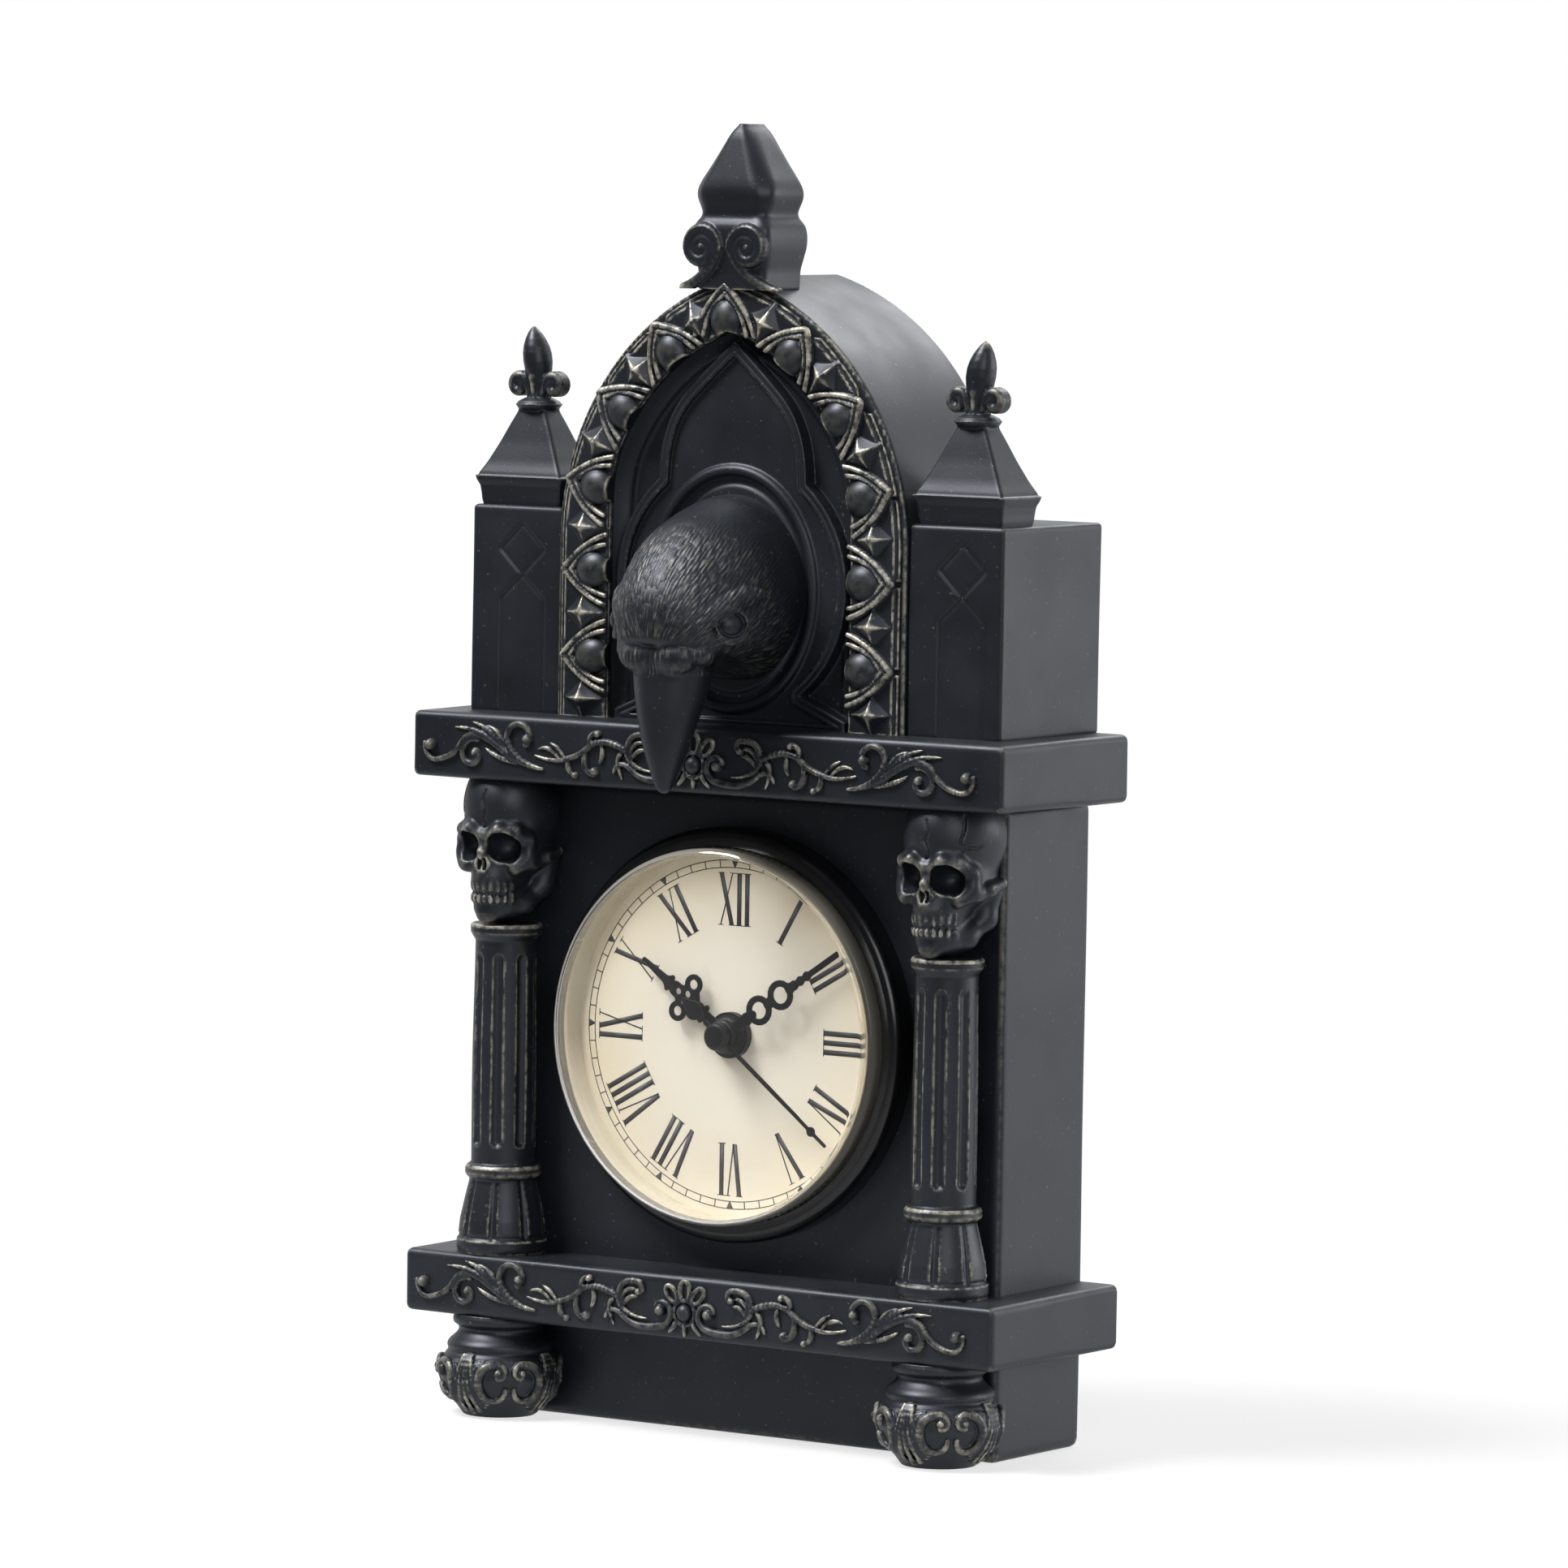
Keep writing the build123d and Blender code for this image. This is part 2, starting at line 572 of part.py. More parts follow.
for side, word in ((-1, "left"), (1, "right")):
    pillar_x = side * PILLAR_X
    incised_x = pillar_x + INCISED_SHIFT
    with BuildPart() as pillar:
        with BuildSketch(Plane.XY.offset(DECK_Z)):
            with Locations((pillar_x, (BACK_Y + PILLAR_FRONT_Y) / 2)):
                Rectangle(PILLAR_WIDTH, PILLAR_DEPTH)
        extrude(amount=PILLAR_HEIGHT)
        outer_back = pillar.edges().filter_by(Axis.Z).group_by(Axis.Y)[-1].sort_by(Axis.X)
        fillet(outer_back[-1] if side > 0 else outer_back[0], BODY_ROUND)
        with BuildSketch(front(PILLAR_FRONT_Y)):
            with BuildLine():
                Polyline(
                    (incised_x - INCISED_HALF, DIAMOND_Z),
                    (incised_x, DIAMOND_Z - DIAMOND_TALL / 2),
                    (incised_x + INCISED_HALF, DIAMOND_Z),
                    (incised_x, DIAMOND_Z + DIAMOND_TALL / 2),
                    close=True,
                )
            make_face()
            with BuildLine():
                Polyline(
                    (incised_x - INCISED_HALF, DECK_Z),
                    (incised_x + INCISED_HALF, DECK_Z),
                    (incised_x + INCISED_HALF, LANCET_APEX_Z - LANCET_SHOULDER),
                    (incised_x, LANCET_APEX_Z),
                    (incised_x - INCISED_HALF, LANCET_APEX_Z - LANCET_SHOULDER),
                    close=True,
                )
            make_face()
        extrude(amount=-INCISED_DEPTH, mode=Mode.SUBTRACT)
    save(pillar, f"{word}_pillar")

    spire_centre = (pillar_x, SPIRE_Y)
    undercut = 2 * CORNICE_UNDERCUT
    with BuildPart() as spire:
        with BuildSketch(Plane.XY.offset(PILLAR_TOP_Z)):
            with Locations(spire_centre):
                Rectangle(SPIRE_WIDTH - undercut, SPIRE_DEPTH - undercut)
        with BuildSketch(Plane.XY.offset(CORNICE_TOP_Z)):
            with Locations(spire_centre):
                Rectangle(SPIRE_WIDTH, SPIRE_DEPTH)
        loft()
        with BuildSketch(Plane.XY.offset(CORNICE_TOP_Z)):
            with Locations(spire_centre):
                Rectangle(SPIRE_WIDTH, SPIRE_DEPTH)
        extrude(amount=CORNICE_LIP)
        roof_steps = (1.0, *ROOF_FLARE, 0.0)
        for level, share in enumerate(roof_steps):
            with BuildSketch(Plane.XY.offset(LIP_TOP_Z + ROOF_HEIGHT * level / (len(roof_steps) - 1))):
                with Locations(spire_centre):
                    Rectangle(
                        NECK_WIDTH + share * (SPIRE_WIDTH - NECK_WIDTH),
                        NECK_DEPTH + share * (SPIRE_DEPTH - NECK_DEPTH),
                    )
        loft(ruled=True)
        with BuildSketch(Plane.XY.offset(ROOF_TOP_Z)):
            with Locations(spire_centre):
                Rectangle(NECK_WIDTH + 2 * COLLAR_LIP, NECK_DEPTH + 2 * COLLAR_LIP)
        extrude(amount=COLLAR_HEIGHT)
        with BuildSketch(Plane(origin=(*spire_centre, COLLAR_TOP_Z), x_dir=(1, 0, 0), z_dir=(0, -1, 0))):
            with BuildLine():
                Line((0, BUD_HEIGHT), (0, 0))
                Line((0, 0), (BUD_RADIUS / 2, 0))
                Spline((BUD_RADIUS / 2, 0), (BUD_RADIUS, BUD_HEIGHT / 2), (0, BUD_HEIGHT))
            make_face()
        revolve(axis=Axis((*spire_centre, 0), (0, 0, 1)))
        scroll_z = COLLAR_TOP_Z + SCROLL_RISE
        with Locations((*spire_centre, scroll_z)):
            Box(2 * SCROLL_REACH, SCROLL_WIDTH / 2, SCROLL_RADIUS)
            Box(SCROLL_WIDTH / 2, 2 * SCROLL_REACH, SCROLL_RADIUS)
        for turn in range(4):
            reach_x = SCROLL_REACH * cos(turn * pi / 2)
            reach_y = SCROLL_REACH * sin(turn * pi / 2)
            with Locations((pillar_x + reach_x, SPIRE_Y + reach_y, scroll_z)):
                Cylinder(SCROLL_RADIUS, SCROLL_WIDTH, rotation=(90, 0, 90 * turn))
    save(spire, f"{word}_spire")

# Top finial: it sits astride the hood's ridge, so the hood's outline is cut out of its foot
FINIAL_Y = HOOD_FRONT_Y + FINIAL_SETBACK
FINIAL_FRONT_Y = FINIAL_Y - FINIAL_DEPTH / 2
HOOD_TOP_Z = arch_apex(0)
SADDLE_Z = SPRING_Z + sqrt(ARCH_RADIUS**2 - (ARCH_OFFSET + FINIAL_WIDTH / 2 + VOLUTE_RADIUS) ** 2)
DRUM_TOP_Z = HOOD_TOP_Z + DRUM_HEIGHT
BELT_Z = DRUM_TOP_Z + BULB_BELT
with BuildPart() as top_finial:
    drum_levels = (
        (SADDLE_Z, FINIAL_FOOT),
        ((HOOD_TOP_Z + DRUM_TOP_Z) / 2, 1.0 + DRUM_BULGE / FINIAL_WIDTH),
        (DRUM_TOP_Z, FINIAL_NECK),
    )
    for level_z, share in drum_levels:
        with BuildSketch(Plane.XY.offset(level_z)):
            with Locations((0, FINIAL_Y)):
                Rectangle(share * FINIAL_WIDTH, share * FINIAL_DEPTH)
    loft()
    with BuildSketch(Plane.XY.offset(DRUM_TOP_Z)):
        with Locations((0, FINIAL_Y)):
            Rectangle(FINIAL_NECK * FINIAL_WIDTH, FINIAL_NECK * FINIAL_DEPTH)
    with BuildSketch(Plane.XY.offset(BELT_Z)):
        with Locations((0, FINIAL_Y)):
            Rectangle(FINIAL_WIDTH, FINIAL_DEPTH)
    with BuildSketch(Plane.XY.offset(BELT_Z + BULB_HEIGHT)):
        with Locations((0, FINIAL_Y)):
            Rectangle(RIDGE_WIDTH, RIDGE_LENGTH)
    loft(ruled=True)
    volute_z = DRUM_TOP_Z - VOLUTE_DROP
    for side in (-1, 1):
        volute_centre = (side * VOLUTE_SPREAD, volute_z)
        volute_back = FINIAL_Y
        rod(volute_centre, VOLUTE_RADIUS, FINIAL_FRONT_Y, volute_back)
        with Locations((side * VOLUTE_SPREAD, FINIAL_FRONT_Y, volute_z)):
            Torus(VOLUTE_RADIUS - VOLUTE_TUBE, VOLUTE_TUBE, rotation=(90, 0, 0))
            Sphere(VOLUTE_TUBE)
        stem_z = (SADDLE_Z + volute_z) / 2
        slab(
            (side * VOLUTE_STEM / 2, stem_z),
            (VOLUTE_STEM, volute_z - SADDLE_Z),
            FINIAL_FRONT_Y,
            FINIAL_Y,
        )
    with BuildSketch(front(HOOD_FRONT_Y - FINIAL_DEPTH)):
        arch_outline(0, DECK_Z)
    extrude(amount=-(HOOD_DEPTH + FINIAL_DEPTH), mode=Mode.SUBTRACT)
save(top_finial, "top_finial")

# Half columns, skulls and feet, all flattened where they meet the case's front
COLUMN_X = BODY_WIDTH / 2 - COLUMN_INSET
COLUMN_Y = FRONT_Y - COLUMN_STAND
COLUMN_HEIGHT = PANEL_HEIGHT - SKULL_HEIGHT
SKULL_Z = PANEL_Z + COLUMN_HEIGHT
SHAFT_Z = PANEL_Z + BASE_HEIGHT + ANNULET_HEIGHT
CAP_Z = SKULL_Z - CAP_HEIGHT
BASE_WAIST = SHAFT_RADIUS + CAP_LIP
SPOOL_HEIGHT = PLINTH_HEIGHT - FOOT_HEIGHT
FLUTE_TOP = CAP_Z - FLUTE_MARGIN - FLUTE_RADIUS
FLUTE_BOTTOM = SHAFT_Z + FLUTE_MARGIN + FLUTE_RADIUS
for side, word in ((-1, "left"), (1, "right")):
    column_axis = Axis((side * COLUMN_X, COLUMN_Y, 0), (0, 0, 1))
    column_plane = Plane(origin=(side * COLUMN_X, COLUMN_Y, 0), x_dir=(1, 0, 0), z_dir=(0, -1, 0))
    with BuildPart(mode=Mode.PRIVATE) as flute:
        Cylinder(FLUTE_RADIUS, FLUTE_TOP - FLUTE_BOTTOM)
        for end in (-1, 1):
            with Locations((0, 0, end * (FLUTE_TOP - FLUTE_BOTTOM) / 2)):
                Sphere(FLUTE_RADIUS)
    with BuildPart() as column:
        with BuildSketch(column_plane):
            with BuildLine():
                Polyline(
                    (SHAFT_RADIUS, SHAFT_Z),
                    (SHAFT_RADIUS, CAP_Z),
                    (SHAFT_RADIUS + CAP_LIP, CAP_Z),
                    (SHAFT_RADIUS + CAP_LIP, SKULL_Z),
                    (0, SKULL_Z),
                    (0, PANEL_Z),
                    (BASE_RADIUS, PANEL_Z),
                    (BASE_RADIUS, PANEL_Z + BASE_FOOT),
                )
                Spline(
                    (BASE_RADIUS, PANEL_Z + BASE_FOOT),
                    ((BASE_RADIUS + BASE_WAIST) / 2, PANEL_Z + (BASE_FOOT + BASE_HEIGHT) / 2),
                    (BASE_WAIST, PANEL_Z + BASE_HEIGHT),
                    tangents=((0, 1), (-1, 1)),
                )
                Polyline(
                    (BASE_WAIST, PANEL_Z + BASE_HEIGHT),
                    (SHAFT_RADIUS + ANNULET_LIP, PANEL_Z + BASE_HEIGHT),
                    (SHAFT_RADIUS + ANNULET_LIP, SHAFT_Z),
                    (SHAFT_RADIUS, SHAFT_Z),
                )
            make_face()
        revolve(axis=column_axis)
        flute_ring = SHAFT_RADIUS + FLUTE_RADIUS - FLUTE_DEPTH
        for step in range(FLUTE_COUNT):
            turn = 2 * pi * (step + 0.5) / FLUTE_COUNT
            flute_x = side * COLUMN_X + flute_ring * cos(turn)
            flute_y = COLUMN_Y + flute_ring * sin(turn)
            with Locations((flute_x, flute_y, (FLUTE_TOP + FLUTE_BOTTOM) / 2)):
                add(flute.part, mode=Mode.SUBTRACT)
        split(bisect_by=front(FRONT_Y), keep=Keep.TOP)
    save(column, f"{word}_column")

    with BuildPart() as skull:
        for share, half_width, half_depth, stand in SKULL_SECTIONS:
            with BuildSketch(Plane.XY.offset(SKULL_Z + share * SKULL_HEIGHT)):
                with Locations((side * COLUMN_X, FRONT_Y - stand)):
                    Ellipse(half_width, half_depth)
        loft()
        split(bisect_by=front(FRONT_Y), keep=Keep.TOP)
        for eye in (-1, 1):
            socket_x = side * COLUMN_X + eye * SOCKET_SPREAD
            socket_y = FRONT_Y - SKULL_SECTIONS[4][3] - SKULL_SECTIONS[4][2]
            with Locations((socket_x, socket_y + SOCKET_RADIUS / 2, SKULL_Z + SOCKET_RISE * SKULL_HEIGHT)):
                Sphere(SOCKET_RADIUS, mode=Mode.SUBTRACT)
        nose_y = FRONT_Y - SKULL_SECTIONS[3][3] - SKULL_SECTIONS[3][2]
        with Locations((side * COLUMN_X, nose_y, SKULL_Z + NOSE_RISE * SKULL_HEIGHT)):
            Sphere(NOSE_RADIUS, mode=Mode.SUBTRACT)
    save(skull, f"{word}_skull")

    with BuildPart() as foot:
        for share, radius in FOOT_SECTIONS:
            with BuildSketch(Plane.XY.offset(share * FOOT_HEIGHT)):
                with Locations((side * COLUMN_X, COLUMN_Y)):
                    Circle(radius)
        loft()
        with BuildSketch(column_plane):
            with BuildLine():
                Polyline(
                    (SPOOL_RADIUS, FOOT_HEIGHT),
                    (0, FOOT_HEIGHT),
                    (0, PLINTH_HEIGHT),
                    (SPOOL_RADIUS, PLINTH_HEIGHT),
                )
                ThreePointArc(
                    (SPOOL_RADIUS, PLINTH_HEIGHT),
                    (SPOOL_WAIST, FOOT_HEIGHT + SPOOL_HEIGHT / 2),
                    (SPOOL_RADIUS, FOOT_HEIGHT),
                )
            make_face()
        revolve(axis=column_axis)
        split(bisect_by=front(FRONT_Y), keep=Keep.TOP)
    save(foot, f"{word}_foot")

# Dial insert: rings and discs about the hands' axis
BORE_RADIUS = LENS_RADIUS + INSERT_CLEARANCE
with BuildPart() as bezel:
    with BuildSketch(DIAL_PLANE):
        with BuildLine():
            shoulder_y = FRONT_Y - BEZEL_HEIGHT + (BEZEL_RADIUS - BORE_RADIUS - BEZEL_LAND)
            Polyline(
                (BORE_RADIUS + BEZEL_LAND, FRONT_Y - BEZEL_HEIGHT),
                (BORE_RADIUS, FRONT_Y - BEZEL_HEIGHT),
                (BORE_RADIUS, FRONT_Y),
                (BEZEL_RADIUS, FRONT_Y),
                (BEZEL_RADIUS, shoulder_y),
            )
            RadiusArc(
                (BEZEL_RADIUS, shoulder_y),
                (BORE_RADIUS + BEZEL_LAND, FRONT_Y - BEZEL_HEIGHT),
                BEZEL_RADIUS - BORE_RADIUS - BEZEL_LAND,
            )
        make_face()
    revolve(axis=HAND_AXIS)
save(bezel, "bezel")

with BuildPart() as lens:
    rod((0, DIAL_Z), LENS_RADIUS, LENS_FRONT_Y, DIAL_FRONT_Y)
    fillet(lens.edges().group_by(Axis.Y)[0], LENS_ROUND)
    rod((0, DIAL_Z), LENS_RADIUS - LENS_WALL, LENS_BACK_Y, DIAL_FRONT_Y, mode=Mode.SUBTRACT)
save(lens, "lens")

with BuildPart() as dial_plate:
    rod((0, DIAL_Z), LENS_RADIUS, PLATE_FRONT_Y, FRONT_Y)
    rod((0, DIAL_Z), BUSH_RADIUS + BUSH_CLEARANCE, PLATE_FRONT_Y, FRONT_Y, mode=Mode.SUBTRACT)
save(dial_plate, "dial_plate")

with BuildPart() as dial:
    rod((0, DIAL_Z), LENS_RADIUS, DIAL_FRONT_Y, PLATE_FRONT_Y)
    rod((0, DIAL_Z), BUSH_RADIUS + BUSH_CLEARANCE, DIAL_FRONT_Y, PLATE_FRONT_Y, mode=Mode.SUBTRACT)
save(dial, "dial")

with BuildPart() as hand_nut:
    rod((0, DIAL_Z), NUT_RADIUS, NUT_FRONT_Y, DIAL_FRONT_Y)
    rod((0, DIAL_Z), BUSH_RADIUS + PRESS_CLEARANCE, NUT_FRONT_Y, DIAL_FRONT_Y, mode=Mode.SUBTRACT)
save(hand_nut, "hand_nut")

# Hands, drawn pointing up in their own plane and turned to the time shown
SECOND_TURN = 6 * TIME_SECONDS
MINUTE_TURN = 6 * (TIME_MINUTES + TIME_SECONDS / 60)
HOUR_TURN = 30 * (TIME_HOURS + TIME_MINUTES / 60)


def hand_plane(y, turn):
    """Sketch plane at depth y whose local Y points along a hand turned clockwise from 12."""
    angle = radians(turn)
    return Plane(
        origin=(0, y, DIAL_Z),
        x_dir=(cos(angle), 0, -sin(angle)),
        z_dir=(0, -1, 0),
    )


def blade(*points):
    """Tapering bar, symmetric about the hand's line, through (half width, distance) points."""
    left = [(-half, along) for half, along in reversed(points)]
    with BuildLine() as outline:
        Polyline(*points, *left, close=True)
    make_face(outline.edges())


HOUR_LOOPS = (((3.4, 11.6), 1.9, 1.15), ((-3.4, 11.6), 1.9, 1.15), ((0, 12.4), 1.9, 0.9))
MINUTE_LOOPS = (((0.0, 10.2), 2.3, 1.4), ((0.0, 15.2), 2.1, 1.3))
HOUR_BEADS = ((0.0, 15.6, 1.1), (0.0, 17.6, 0.85))
MINUTE_BEADS = ((0.0, 18.6, 0.95), (0.0, 20.2, 0.85), (0.0, 21.8, 0.75))
STEM_HALF = 0.75
NECK_HALF = 0.5
TIP_HALF = 0.3
for name, turn, hub_y, hub_front_y, hub_radius, bore, length, loops, beads in (
    ("hour_hand", HOUR_TURN, HOUR_HUB_Y, HOUR_FRONT_Y, HOUR_HUB_RADIUS, HOUR_PIPE_RADIUS,
     HOUR_HAND_LENGTH, HOUR_LOOPS, HOUR_BEADS),
    ("minute_hand", MINUTE_TURN, MINUTE_HUB_Y, MINUTE_FRONT_Y, MINUTE_HUB_RADIUS, MINUTE_PIPE_RADIUS,
     MINUTE_HAND_LENGTH, MINUTE_LOOPS, MINUTE_BEADS),
):
    with BuildPart() as hand:
        with BuildSketch(hand_plane(hub_y, turn)):
            blade((STEM_HALF, 0), (NECK_HALF, length / 2), (TIP_HALF, length))
            for centre, outer, inner in loops:
                with Locations(centre):
                    Circle(outer)
            for x, along, radius in beads:
                with Locations((x, along)):
                    Circle(radius)
            for centre, outer, inner in loops:
                with Locations(centre):
                    Circle(inner, mode=Mode.SUBTRACT)
        extrude(amount=HAND_SHEET)
        rod((0, DIAL_Z), hub_radius, hub_front_y, hub_y)
        rod((0, DIAL_Z), bore + PRESS_CLEARANCE, hub_front_y, hub_y, mode=Mode.SUBTRACT)
    save(hand, name)

SECOND_BLADE = 0.55
SECOND_BEAD = 0.9
SECOND_BEAD_SETBACK = 4.2
TAIL_HALF = 1.35
with BuildPart() as second_hand:
    with BuildSketch(hand_plane(SECOND_CAP_Y, SECOND_TURN)):
        tail_along = -SECOND_TAIL_LENGTH + 2 * TAIL_HALF
        blade((TIP_HALF, tail_along), (SECOND_BLADE, 0), (TIP_HALF, SECOND_HAND_LENGTH))
        with Locations((0, SECOND_HAND_LENGTH - SECOND_BEAD_SETBACK)):
            Circle(SECOND_BEAD)
        with Locations((0, tail_along)):
            Ellipse(TAIL_HALF, 2 * TAIL_HALF)
    extrude(amount=HAND_SHEET)
    rod((0, DIAL_Z), SECOND_CAP_RADIUS, SECOND_FRONT_Y, SECOND_CAP_Y)
    arbor_front_y = SECOND_FRONT_Y + HAND_SHEET
    rod((0, DIAL_Z), SECOND_ARBOR_RADIUS + PRESS_CLEARANCE, arbor_front_y, SECOND_CAP_Y, mode=Mode.SUBTRACT)
save(second_hand, "second_hand")

# Gear train geometry: shaft places, pitch and tooth phase
THIRD_MODULE = 2 * THIRD_DISTANCE / (SECOND_PINION + THIRD_TEETH)
CENTRE_MODULE = 2 * THIRD_DISTANCE / (THIRD_PINION + CENTRE_TEETH)
INTERMEDIATE_DISTANCE = THIRD_DISTANCE + INTERMEDIATE_OUTSET
SECOND_MODULE = 2 * INTERMEDIATE_DISTANCE / (INTERMEDIATE_PINION + SECOND_TEETH)
ROTOR_MODULE = 2 * ROTOR_DISTANCE / (ROTOR_TEETH + INTERMEDIATE_TEETH)
MOTION_DISTANCE = THIRD_DISTANCE + MOTION_OUTSET
MINUTE_MODULE = 2 * MOTION_DISTANCE / (CANNON_TEETH + MINUTE_TEETH)
HOUR_MODULE = 2 * MOTION_DISTANCE / (MINUTE_PINION + HOUR_TEETH)


def polar(centre, distance, angle):
    """Point at a distance and an angle in degrees from a centre, in X and Z."""
    return centre[0] + distance * cos(radians(angle)), centre[1] + distance * sin(radians(angle))


HAND_PLACE = (0.0, DIAL_Z)
THIRD_PLACE = polar(HAND_PLACE, THIRD_DISTANCE, THIRD_ANGLE)
INTERMEDIATE_PLACE = polar(HAND_PLACE, INTERMEDIATE_DISTANCE, INTERMEDIATE_ANGLE)
ROTOR_PLACE = polar(INTERMEDIATE_PLACE, ROTOR_DISTANCE, ROTOR_ANGLE)
SETTING_PLACE = polar(HAND_PLACE, MOTION_DISTANCE, MOTION_ANGLE)


def meshed(teeth, phase, angle, mate_teeth):
    """Phase of a mate so that its gap meets this gear's tooth on the line at the given angle."""
    offset_pitches = (angle - phase) * teeth / 360
    return angle + 180 - (0.5 - offset_pitches) * 360 / mate_teeth


def gear(teeth, module, phase, centre, y_front):
    """Spur wheel one sheet thick: straight-flanked teeth with room for backlash."""
    pitch_radius = teeth * module / 2
    tip = pitch_radius + ADDENDUM * module
    root = pitch_radius - DEDENDUM * module
    pitch = 360 / teeth
    points = []
    for tooth in range(teeth):
        middle = phase + tooth * pitch
        points.append(polar(centre, root, middle - TOOTH_ROOT * pitch / 2))
        points.append(polar(centre, tip, middle - TOOTH_TIP * pitch / 2))
        points.append(polar(centre, tip, middle + TOOTH_TIP * pitch / 2))
        points.append(polar(centre, root, middle + TOOTH_ROOT * pitch / 2))
    with BuildSketch(front(y_front)) as wheel:
        with BuildLine():
            Polyline(*points, close=True)
        make_face()
    extrude(wheel.sketch, amount=-WHEEL_SHEET)


SECOND_PHASE = 0.0
INTERMEDIATE_PINION_PHASE = meshed(SECOND_TEETH, SECOND_PHASE, INTERMEDIATE_ANGLE, INTERMEDIATE_PINION)
INTERMEDIATE_PHASE = 0.0
ROTOR_PHASE = meshed(INTERMEDIATE_TEETH, INTERMEDIATE_PHASE, ROTOR_ANGLE, ROTOR_TEETH)
THIRD_PHASE = meshed(SECOND_PINION, SECOND_PHASE, THIRD_ANGLE, THIRD_TEETH)
CENTRE_PHASE = 0.0
THIRD_PINION_PHASE = meshed(CENTRE_TEETH, CENTRE_PHASE, THIRD_ANGLE, THIRD_PINION)
CANNON_PHASE = 0.0
MINUTE_PHASE = meshed(CANNON_TEETH, CANNON_PHASE, MOTION_ANGLE, MINUTE_TEETH)
HOUR_PHASE = 0.0
MINUTE_PINION_PHASE = meshed(HOUR_TEETH, HOUR_PHASE, MOTION_ANGLE, MINUTE_PINION)

with BuildPart() as rotor:
    gear(ROTOR_TEETH, ROTOR_MODULE, ROTOR_PHASE, ROTOR_PLACE, INTERMEDIATE_Y)
    magnet_margin = LAYER_GAP / 2
    rod(ROTOR_PLACE, MAGNET_RADIUS, STATOR_Y - magnet_margin, STATOR_Y + STATOR_SHEET + magnet_margin)
    rod(ROTOR_PLACE, PIVOT_RADIUS, BRIDGE_Y, PIVOT_BACK_Y)
save(rotor, "rotor")

with BuildPart() as intermediate_wheel:
    gear(INTERMEDIATE_TEETH, ROTOR_MODULE, INTERMEDIATE_PHASE, INTERMEDIATE_PLACE, INTERMEDIATE_Y)
    gear(INTERMEDIATE_PINION, SECOND_MODULE, INTERMEDIATE_PINION_PHASE, INTERMEDIATE_PLACE, SECOND_Y)
    rod(INTERMEDIATE_PLACE, PIVOT_RADIUS, BRIDGE_Y, PIVOT_BACK_Y)
save(intermediate_wheel, "intermediate_wheel")

with BuildPart() as second_wheel:
    gear(SECOND_TEETH, SECOND_MODULE, SECOND_PHASE, HAND_PLACE, SECOND_Y)
    gear(SECOND_PINION, THIRD_MODULE, SECOND_PHASE, HAND_PLACE, THIRD_Y)
    rod(HAND_PLACE, SECOND_ARBOR_RADIUS, arbor_front_y, PIVOT_BACK_Y)
save(second_wheel, "second_wheel")

with BuildPart() as third_wheel:
    gear(THIRD_TEETH, THIRD_MODULE, THIRD_PHASE, THIRD_PLACE, THIRD_Y)
    gear(THIRD_PINION, CENTRE_MODULE, THIRD_PINION_PHASE, THIRD_PLACE, CENTRE_Y)
    rod(THIRD_PLACE, PIVOT_RADIUS, BRIDGE_Y, PIVOT_BACK_Y)
save(third_wheel, "third_wheel")

with BuildPart() as centre_wheel:
    gear(CENTRE_TEETH, CENTRE_MODULE, CENTRE_PHASE, HAND_PLACE, CENTRE_Y)
    rod(
        HAND_PLACE,
        MINUTE_PIPE_RADIUS + RUNNING_CLEARANCE,
        CENTRE_Y,
        CENTRE_Y + WHEEL_SHEET,
        mode=Mode.SUBTRACT,
    )
save(centre_wheel, "centre_wheel")

FLANGE_RADIUS = MINUTE_PIPE_RADIUS + 2 * STUB_RADIUS
with BuildPart() as minute_arbor:
    gear(CANNON_TEETH, MINUTE_MODULE, CANNON_PHASE, HAND_PLACE, MINUTE_Y)
    flange_y = CENTRE_Y + WHEEL_SHEET + RUNNING_CLEARANCE
    rod(HAND_PLACE, MINUTE_PIPE_RADIUS, MINUTE_FRONT_Y, flange_y)
    rod(HAND_PLACE, FLANGE_RADIUS, flange_y, flange_y + LAYER_GAP)
    rod(
        HAND_PLACE,
        SECOND_ARBOR_RADIUS + RUNNING_CLEARANCE,
        MINUTE_FRONT_Y,
        flange_y + LAYER_GAP,
        mode=Mode.SUBTRACT,
    )
save(minute_arbor, "minute_arbor")

with BuildPart() as hour_wheel:
    gear(HOUR_TEETH, HOUR_MODULE, HOUR_PHASE, HAND_PLACE, HOUR_Y)
    rod(HAND_PLACE, HOUR_PIPE_RADIUS, HOUR_FRONT_Y, HOUR_Y)
    rod(
        HAND_PLACE,
        MINUTE_PIPE_RADIUS + RUNNING_CLEARANCE,
        HOUR_FRONT_Y,
        HOUR_Y + WHEEL_SHEET,
        mode=Mode.SUBTRACT,
    )
save(hour_wheel, "hour_wheel")

KNOB_Y = MOVEMENT_BACK_Y + KNOB_GAP
with BuildPart() as minute_wheel:
    gear(MINUTE_TEETH, MINUTE_MODULE, MINUTE_PHASE, SETTING_PLACE, MINUTE_Y)
    gear(MINUTE_PINION, HOUR_MODULE, MINUTE_PINION_PHASE, SETTING_PLACE, HOUR_Y)
    rod(SETTING_PLACE, SETTING_ARBOR_RADIUS, TRAIN_FRONT_Y - PIVOT_DEPTH, KNOB_Y + KNOB_HEIGHT / 2)
save(minute_wheel, "minute_wheel")

